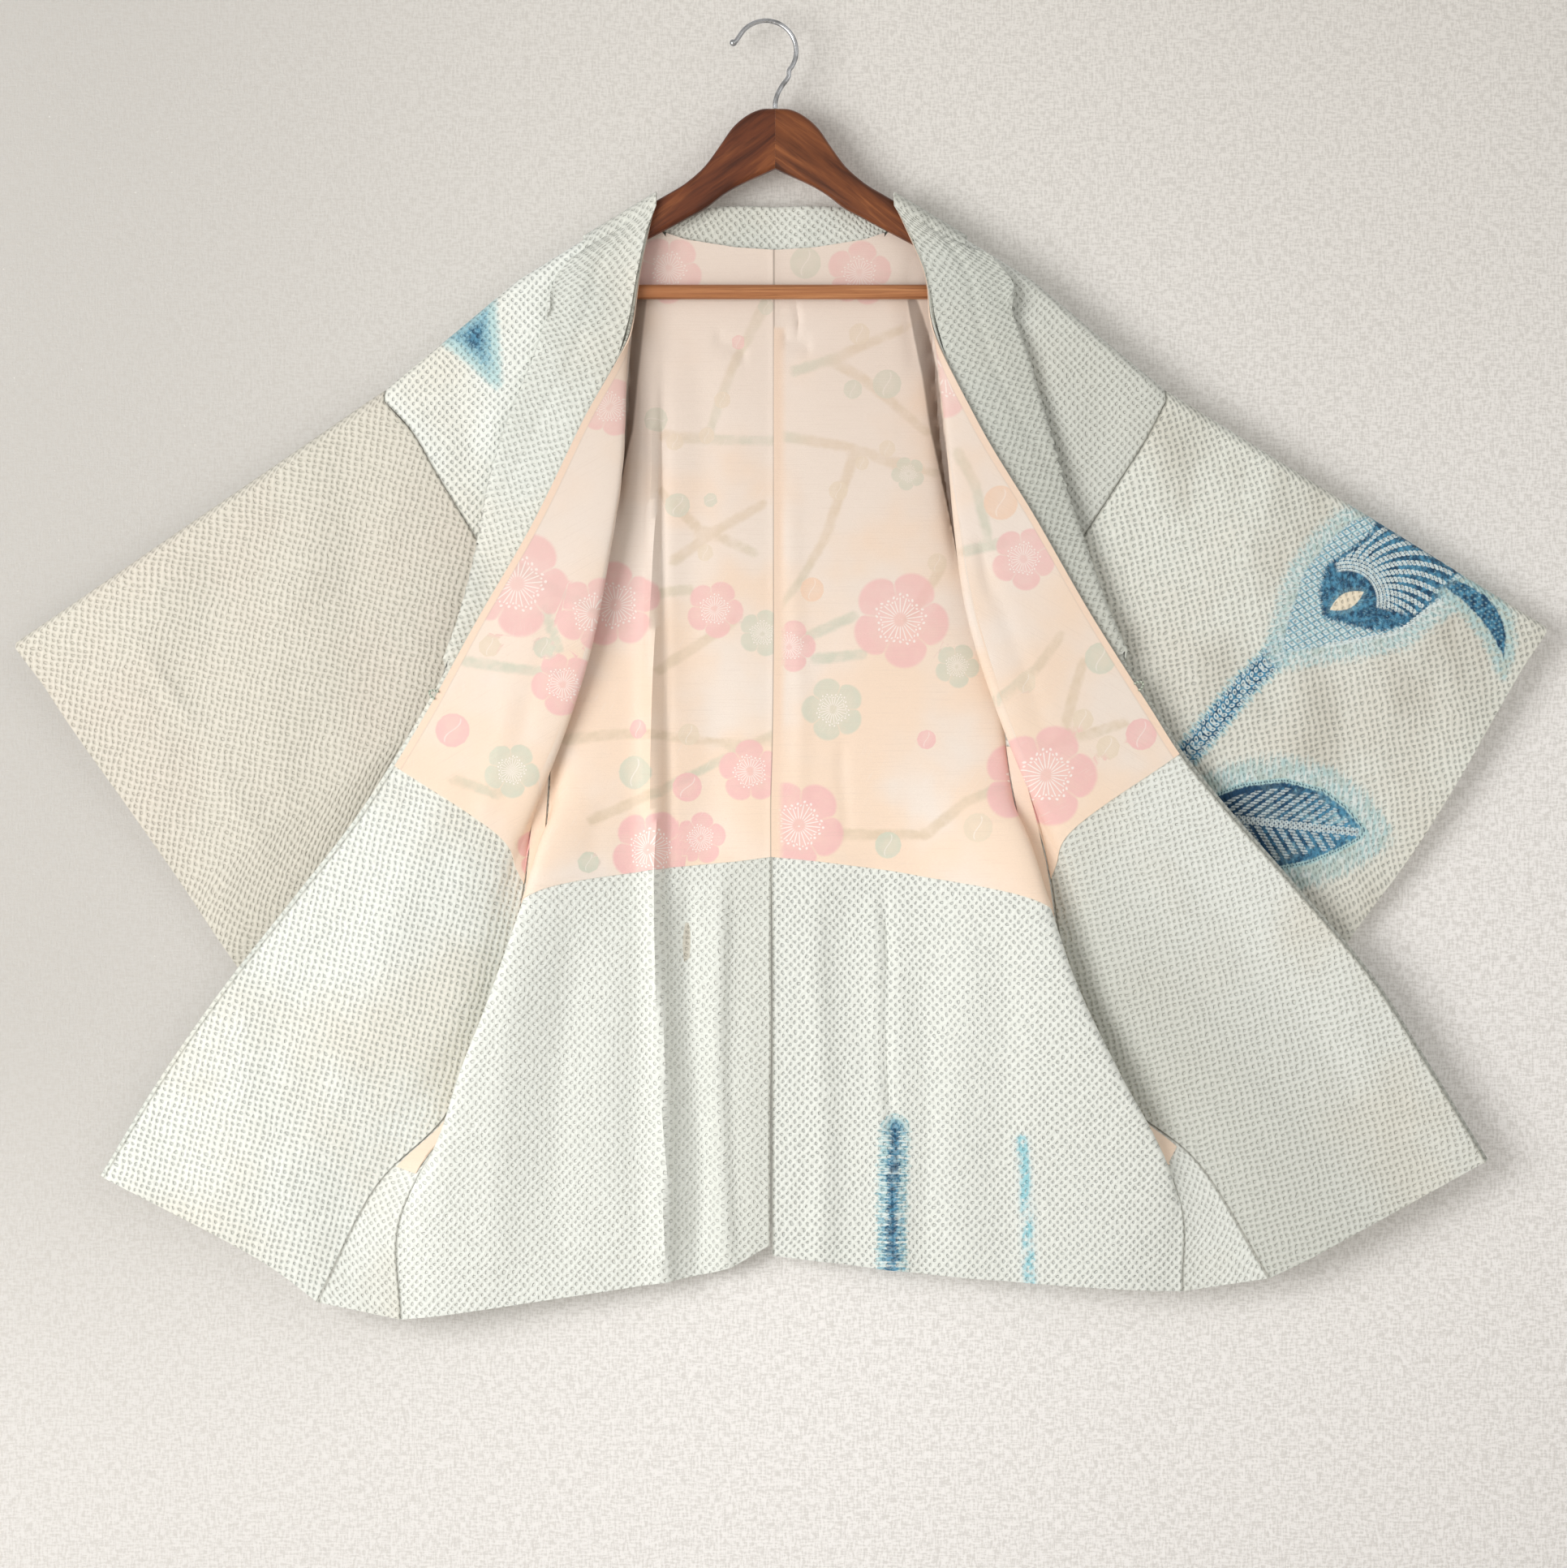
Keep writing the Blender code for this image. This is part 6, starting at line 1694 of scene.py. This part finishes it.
def steel_wire(name, settings):
    """Drawn steel wire: grey metal with faint scratches along it and dull patches."""
    w = Wiring(name)
    cloth = w.cloth()
    scratch = w.noise(w.stretch(cloth, (160.0, 5200.0, 1.0)), 1.0, 3.0, 0.6)
    dull = w.noise(w.place(), 160.0, 3.0, 0.6)
    w.colour = settings.steel
    w.lay(w.ramp(dull, 0.4, 0.7), settings.steel_dull)
    return w.finish(w.bump(scratch, 0.00008, 0.5), w.ramp(dull, 0.3, 0.75, 0.16, 0.36), metallic=1.0)


def twisted_cord(name, settings):
    """Twisted cord: two strands as slanted waves round the cord, from its length and girth."""
    w = Wiring(name)
    u, v, _ = w.parts(w.cloth())
    strand = w.math("SINE", u * 2600.0 + v * 1100.0)
    fuzz = w.noise(w.place(), 1800.0, 3.0, 0.6)
    w.colour = settings.cord_shade
    w.lay(w.ramp(strand, -0.6, 0.6), settings.cord)
    w.lay(fuzz * 0.3, settings.cord_shade)
    return w.finish(w.bump(strand + fuzz * 0.5, 0.0003, 0.8), 0.8)


def papered_wall(name, settings):
    """Textured wallpaper: a fine woven relief of crossing threads, painted shade that darkens it towards its top
    and its left side, and soft patches of tone. Only its front shows.
    """
    w = Wiring(name)
    place = w.place()
    x, _, z = w.parts(place)
    across = w.noise(w.stretch(place, (150.0, 1.0, 620.0)), 1.0, 2.0, 0.6)
    down = w.noise(w.stretch(place, (620.0, 1.0, 150.0)), 1.0, 2.0, 0.6)
    weave = across + down
    # Painted shade: the wall darkens towards its top and its left.
    height = z * 0.9 + x * -0.22
    patchy = (w.noise(place, 2.0, 2.0, 0.5) - 0.5) * 0.25
    tone = w.ramp(height + patchy, -0.85, 0.1)
    w.colour = settings.wall_low
    w.lay(tone, settings.wall_high)
    # Painted shade over the wall's left side, strongest in its upper part.
    left_painted_shade = w.ramp(x, 0.15, -0.62) * w.ramp(z, -1.2, -0.7, 0.45, 1.0)
    w.lay(left_painted_shade, settings.wall_shade)
    w.lay(w.ramp(weave, 0.85, 1.2, 0.0, 0.45), settings.wall_thread)
    flecks = w.noise(place, 260.0, 2.0, 0.7)
    w.lay(w.ramp(flecks, 0.72, 0.8, 0.0, 0.35), settings.wall_fleck)
    material = w.finish(w.bump(weave, 0.0010, 0.35), 0.95, specular_ior_level=0.1)
    clear = w.nodes.new("ShaderNodeBsdfTransparent")
    facing = w.nodes.new("ShaderNodeNewGeometry")
    either = w.nodes.new("ShaderNodeMixShader")
    w.links.new(facing.outputs["Backfacing"], either.inputs[0])
    w.links.new(w.shader.outputs[0], either.inputs[1])
    w.links.new(clear.outputs[0], either.inputs[2])
    w.links.new(either.outputs[0], w.output.inputs["Surface"])
    return material


def painted_floor(name, settings):
    """A plain pale floor with a faint mottle."""
    w = Wiring(name)
    mottle = w.noise(w.place(), 14.0, 4.0, 0.6)
    w.colour = settings.floor
    w.lay(w.ramp(mottle, 0.3, 0.7, 0.0, 0.3), settings.wall_thread)
    return w.finish(w.bump(mottle, 0.0005, 0.2), 0.8)


def tone(*rgb):
    """A screen colour from 0 to 255 as linear light."""
    return tuple(c / 255 / 12.92 if c <= 10 else ((c / 255 + 0.055) / 1.055) ** 2.4 for c in rgb)


def colour_value(name, description, *rgb):
    return bpy.props.FloatVectorProperty(
        name=name, description=description, subtype="COLOR", size=3, min=0.0, max=1.0, default=tone(*rgb)
    )


class HaoriCloth(bpy.types.PropertyGroup):
    """Sizes and colours of the silk, its dye and its lining."""

    pit_pitch: bpy.props.FloatVectorProperty(
        name="Pit spacing", description="Width and height of one repeat of the pits", size=2, unit="LENGTH",
        default=(0.0064, 0.0068), min=0.001,
    )
    pit_depth: bpy.props.FloatProperty(
        name="Pit depth", description="Depth of the pits in the relief", default=0.0009, min=0.0, unit="LENGTH"
    )
    # How strong the painted shade in the pits is.
    pit_darkness: bpy.props.FloatProperty(
        name="Pit darkness", description="How grey the pits are", default=0.24, min=0.0, max=1.0, subtype="FACTOR"
    )
    # Painted shade in the pits.
    pit_painted_shade: colour_value("Pit", "Colour in the pits", 170, 168, 155)
    seam_shade: colour_value("Seams", "Shade along the seams", 128, 126, 112)
    # Painted highlight on the raised net between the pits.
    crest_painted_highlight: colour_value("Crest", "Raised net between the pits", 248, 247, 238)
    body_ground: colour_value("Body", "Ground of the body panels", 233, 236, 229)
    body_warm: colour_value("Body, warm", "Warmer clouds of the body panels", 227, 225, 213)
    body_shade: colour_value("Body shade", "Darker tone of the body panels", 206, 208, 199)
    sleeve_ground: colour_value("Sleeve", "Ground of the sleeves", 212, 207, 193)
    sleeve_warm: colour_value("Sleeve, warm", "Warmer clouds of the sleeves", 211, 203, 189)
    sleeve_shade: colour_value("Sleeve shade", "Darker tone of the sleeves", 192, 188, 174)
    sleeve_cool: colour_value("Right sleeve", "Cooler ground of the right sleeve", 232, 234, 224)
    collar_ground: colour_value("Collar", "Ground of the collar", 222, 225, 217)
    collar_shade: colour_value("Collar shade", "Darker tone of the collar", 186, 189, 180)
    dye_deep: colour_value("Deep dye", "Deepest blue of the dye", 22, 66, 98)
    dye_mid: colour_value("Mid dye", "Middle blue of the dye", 82, 146, 178)
    dye_halo: colour_value("Halo", "Teal halo round the dye", 170, 206, 208)
    dye_grey: colour_value("Grey halo", "Greyer patches of the halo", 186, 200, 190)
    dye_pale: colour_value("Resist", "Pale rings and strokes left by the ties", 220, 231, 229)
    dye_cyan: colour_value("Cyan", "Pale cyan of the hem's streak", 150, 208, 218)
    # Painted shade in the pits of the dyed pieces.
    dyed_pit_painted_shade: colour_value("Dye in the pits", "Darker dye in the pits", 90, 110, 118)
    eye: colour_value("Flower's eye", "Undyed cream in the flower's middle", 236, 224, 200)
    lining_cream: colour_value("Lining", "Cream of the lining", 240, 228, 216)
    lining_peach: colour_value("Lining, peach", "Peach clouds of the lining", 245, 221, 198)
    lining_pale: colour_value("Lining, pale", "Palest clouds of the lining", 245, 236, 228)
    # The lining's darker threads and seam line, and also painted shade towards its top.
    lining_threads_and_painted_shade: colour_value("Lining weave", "Darker threads of the lining", 206, 184, 168)
    fold_shade: colour_value("Deep folds", "Shade of the lining in deep folds", 84, 62, 46)
    facing: colour_value("Plain strip", "Strip beside the collar and the centre seam", 247, 220, 196)
    twig_beige: colour_value("Branch, beige", "Beige branches of the print", 220, 200, 173)
    twig_green: colour_value("Branch, green", "Green branches of the print", 200, 207, 188)
    stamen: colour_value("Stamens", "White lines of the print", 253, 246, 242)
    cord: colour_value("Cord", "Tie loops' cord", 216, 222, 208)
    cord_shade: colour_value("Cord shade", "Between the cord's strands", 140, 150, 132)


class HaoriHanger(bpy.types.PropertyGroup):
    """Colours of the hanger."""

    wood_light: colour_value("Wood, light", "Light grain", 156, 94, 52)
    wood_mid: colour_value("Wood, middle", "Middle grain", 114, 62, 31)
    wood_dark: colour_value("Wood, dark", "Dark grain", 72, 35, 15)
    left_light: colour_value("Left arm, light", "Light grain of the redder arm", 134, 76, 40)
    left_mid: colour_value("Left arm, middle", "Middle grain of the redder arm", 100, 50, 25)
    left_dark: colour_value("Left arm, dark", "Dark grain of the redder arm", 62, 28, 13)
    bar_light: colour_value("Bar, light", "Light grain of the bar", 196, 138, 92)
    bar_mid: colour_value("Bar, middle", "Middle grain of the bar", 168, 110, 70)
    bar_dark: colour_value("Bar, dark", "Dark grain of the bar", 124, 74, 42)
    steel: colour_value("Steel", "Bright steel", 205, 206, 208)
    steel_dull: colour_value("Dull steel", "Duller patches", 150, 150, 150)


class HaoriStage(bpy.types.PropertyGroup):
    """Camera, light and backdrop."""

    camera_place: bpy.props.FloatVectorProperty(
        name="Camera", description="Where the camera stands", size=3, subtype="TRANSLATION", unit="LENGTH",
        default=(0.01333, -2.976, -0.5767),
    )
    lens: bpy.props.FloatProperty(name="Lens", description="Focal length in millimetres", default=90.2, min=1.0)
    light: bpy.props.FloatProperty(name="Light", description="Power of the main light in watts", default=36.5, min=0.0)
    sky: bpy.props.FloatProperty(name="Sky", description="Strength of the light from all round", default=0.5, min=0.0)
    # Painted shade on the wall: the upper colour is its darker top, the lower its brighter foot, the shaded side its
    # darker left.
    wall_high: colour_value("Wall, upper", "Upper part of the wall", 224, 220, 214)
    wall_low: colour_value("Wall, lower", "Lower part of the wall", 246, 243, 240)
    wall_thread: colour_value("Wall threads", "Between the wall's threads", 186, 181, 174)
    wall_shade: colour_value("Wall, shaded side", "The wall's darker side", 190, 187, 182)
    wall_fleck: colour_value("Wall flecks", "Small flecks in the wall", 244, 240, 234)
    floor: colour_value("Floor", "The floor", 226, 222, 216)


# How much painted shade a piece in less light adds to the usual share of the darker drifting tone; below zero, less of
# that tone shows.
PAINTED_PANEL_SHADE = {"back_left": -0.35, "back_right": -0.35, "front_right": -0.2, "sleeve_right": 0.35, "collar": 0.15}
# Where painted shade darkens a panel: two distances from its first edge in millimetres, and the share.
PAINTED_SHADE_BANDS = {"front_right": (25.0, 150.0, 0.85), "back_left": (64.0, 12.0, 0.6)}


def dress(piece, material, slot, *nodes):
    """Finishes a piece: its material, and the solids whose place it takes."""
    piece.data.materials.append(material)
    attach(piece, "root")
    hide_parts(*nodes)
    return piece


# The dyed fields of each piece, and the plain strip of a lining: its width in mm and the height it starts at.
DYED = {
    "front_left": ("dye_patch",),
    "back_right": ("dye_line", "dye_patch"),
    "sleeve_right": ("dye_flower", "dye_leaf", "dye_line"),
}
STRIPS = {"front_left": (5.5, 0.0), "front_right": (5.5, 0.0), "back_right": (11.0, -228.0)}
# The grain's fineness along, through and across the wood, and the slope of an arm in radians.
ARM_GRAIN, BAR_GRAIN, ARM_SLOPE = (9, 60, 95), (5, 240, 240), 0.64
# Area lights. Columns: name, place, target, size, share of the main light's power.
LIGHTS = (
    ("main light", (-1.5, -1.7, -0.5), (-0.1, 0.0, -0.6), 1.3, 1.0),
    ("side light", (1.6, -2.2, 0.5), (0.0, 0.0, -0.5), 2.4, 0.3),
    ("rear light", (0.3, 2.6, 0.9), (0.0, 0.0, -0.5), 2.4, 0.35),
)
SKY_COLOUR = (1.0, 0.985, 0.96, 1.0)
SENSOR_WIDTH = 36.0


class HAORI_OT_body(bpy.types.Operator):
    """Builds the backs, fronts and side gussets with their turned-up hems"""

    bl_idname = "haori.body"
    bl_label = "Silk panels"

    def execute(self, context):
        cloth = context.scene.haori_cloth
        for side in (LEFT, RIGHT):
            for kind, (face, n, t, left_out) in body_faces(side).items():
                name = f"{kind}_{side}"
                piece = silk_panel(side, kind, face, n, t, left_out)
                warm = cloth.body_ground if kind == "back" else cloth.body_warm
                finish = kanoko_silk(
                    f"silk {name}", cloth, cloth.body_ground, cloth.body_shade, warm, DYED.get(name, ()),
                    grey=PAINTED_PANEL_SHADE.get(name, 0.0), fade=PAINTED_SHADE_BANDS.get(name),
                )
                dress(piece, finish, "silk", name)
        return {"FINISHED"}


class HAORI_OT_linings(bpy.types.Operator):
    """Builds the printed linings inside the panels"""

    bl_idname = "haori.linings"
    bl_label = "Linings"

    def execute(self, context):
        cloth = context.scene.haori_cloth
        for side in (LEFT, RIGHT):
            for kind, (face, n, t, left_out) in body_faces(side).items():
                name = f"{kind}_{side}"
                piece = lining_panel(side, kind, face, n, t, left_out)
                finish = printed_lining(f"lining {name}", cloth, STRIPS.get(name))
                dress(piece, finish, "lining", f"lining_{name}")
        return {"FINISHED"}


class HAORI_OT_sleeves(bpy.types.Operator):
    """Builds both sleeves, each one width of silk folded along its top"""

    bl_idname = "haori.sleeves"
    bl_label = "Sleeves"

    def execute(self, context):
        cloth = context.scene.haori_cloth
        for side in (LEFT, RIGHT):
            name = f"sleeve_{side}"
            piece = sleeve_piece(side)
            ground, warm = cloth.sleeve_ground, cloth.sleeve_warm
            if side == RIGHT:
                ground, warm = cloth.sleeve_cool, cloth.body_warm
            finish = kanoko_silk(
                f"silk sleeve {side}", cloth, ground, cloth.sleeve_shade, warm, DYED.get(name, ()),
                grey=PAINTED_PANEL_SHADE.get(name, 0.0),
            )
            dress(piece, finish, "silk", name)
        return {"FINISHED"}


class HAORI_OT_collar(bpy.types.Operator):
    """Builds the collar as one folded band round the neck and down both fronts"""

    bl_idname = "haori.collar"
    bl_label = "Collar"

    def execute(self, context):
        cloth = context.scene.haori_cloth
        finish = kanoko_silk(
            "silk collar", cloth, cloth.collar_ground, cloth.collar_shade, cloth.body_warm, grey=PAINTED_PANEL_SHADE["collar"],
            right_side_painted_shade=0.8, seams=False,
        )
        piece = dress(collar_piece(), finish, "silk", "collar_left", "collar_neck", "collar_right")
        return {"FINISHED"}


class HAORI_OT_tie_loops(bpy.types.Operator):
    """Builds the two small cord loops for the front ties"""

    bl_idname = "haori.tie_loops"
    bl_label = "Tie loops"

    def execute(self, context):
        finish = twisted_cord("cord", context.scene.haori_cloth)
        for side in (LEFT, RIGHT):
            dress(tie_loop_piece(side), finish, "cord", f"tie_loop_{side}")
        return {"FINISHED"}


class HAORI_OT_hanger(bpy.types.Operator):
    """Builds the wooden arms, the bar and the wire hook"""

    bl_idname = "haori.hanger"
    bl_label = "Hanger"

    def execute(self, context):
        tones = context.scene.haori_hanger
        stains = {
            LEFT: (tones.left_light, tones.left_mid, tones.left_dark),
            RIGHT: (tones.wood_light, tones.wood_mid, tones.wood_dark),
        }
        for side in (LEFT, RIGHT):
            finish = grained_wood(f"wood {side} arm", *stains[side], ARM_GRAIN, -SIGN[side] * ARM_SLOPE)
            dress(arm_piece(side), finish, "wood", f"hanger_arm_{side}")
        bar = grained_wood("wood bar", tones.bar_light, tones.bar_mid, tones.bar_dark, BAR_GRAIN)
        dress(bar_piece(), bar, "wood", "hanger_bar")
        dress(hook_piece(), steel_wire("steel", tones), "steel", "hanger_hook")
        return {"FINISHED"}


def soft_light(name, place, target, size, power):
    """A square area light at a place, turned towards a target."""
    data = bpy.data.lights.new(name, "AREA")
    data.shape = "SQUARE"
    data.size = size
    data.energy = power
    item = bpy.data.objects.new(name, data)
    item.location = place
    item.rotation_euler = (Vector(target) - Vector(place)).to_track_quat("-Z", "Y").to_euler()
    bpy.context.scene.collection.objects.link(item)


class HAORI_OT_stage(bpy.types.Operator):
    """Sets up the wall, the floor, the soft light and the camera"""

    bl_idname = "haori.stage"
    bl_label = "Stage"

    def execute(self, context):
        stage = context.scene.haori_stage
        wall, floor = wall_piece(), floor_piece()
        wall.data.materials.append(papered_wall("wall paper", stage))
        floor.data.materials.append(painted_floor("floor paint", stage))
        for flag in ("visible_diffuse", "visible_glossy", "visible_transmission", "visible_shadow"):
            setattr(wall, flag, False)
        for name, place, target, size, share in LIGHTS:
            soft_light(name, place, target, size, stage.light * share)
        world = bpy.data.worlds.new("soft sky")
        world.use_nodes = True
        background = world.node_tree.nodes["Background"]
        background.inputs["Color"].default_value = SKY_COLOUR
        background.inputs["Strength"].default_value = stage.sky
        context.scene.world = world
        context.scene.view_settings.view_transform = "Standard"
        data = bpy.data.cameras.new("camera")
        data.sensor_width = SENSOR_WIDTH
        data.sensor_fit = "HORIZONTAL"
        data.lens = stage.lens
        camera = bpy.data.objects.new("camera", data)
        camera.location = stage.camera_place
        camera.rotation_euler = (math.pi / 2, 0.0, 0.0)
        context.scene.collection.objects.link(camera)
        context.scene.camera = camera
        return {"FINISHED"}


STEPS = ("hanger", "body", "linings", "sleeves", "collar", "tie_loops", "stage")
GROUPS = {"haori_cloth": HaoriCloth, "haori_hanger": HaoriHanger, "haori_stage": HaoriStage}


class HAORI_PT_panel(bpy.types.Panel):
    """Lists the haori's pieces in the sidebar"""

    bl_idname = "HAORI_PT_panel"
    bl_label = "Haori jacket"
    bl_space_type = "VIEW_3D"
    bl_region_type = "UI"
    bl_category = "Haori"

    def draw(self, context):
        for step in STEPS:
            self.layout.operator(f"haori.{step}")
        for group in GROUPS:
            values = getattr(context.scene, group)
            box = self.layout.box()
            for key in type(values).__annotations__:
                box.prop(values, key)


CLASSES = (
    *GROUPS.values(), HAORI_OT_body, HAORI_OT_linings, HAORI_OT_sleeves, HAORI_OT_collar, HAORI_OT_tie_loops,
    HAORI_OT_hanger, HAORI_OT_stage, HAORI_PT_panel,
)


def register():
    """Registers the classes and hangs the settings on the scene."""
    for item in CLASSES:
        bpy.utils.register_class(item)
    for key, group in GROUPS.items():
        setattr(bpy.types.Scene, key, bpy.props.PointerProperty(type=group))


def unregister():
    """Takes the settings and classes away again."""
    for key in GROUPS:
        delattr(bpy.types.Scene, key)
    for item in reversed(CLASSES):
        bpy.utils.unregister_class(item)


def main():
    """Builds everything in order."""
    register()
    for step in STEPS:
        getattr(bpy.ops.haori, step)()


if __name__ == "__main__":
    main()
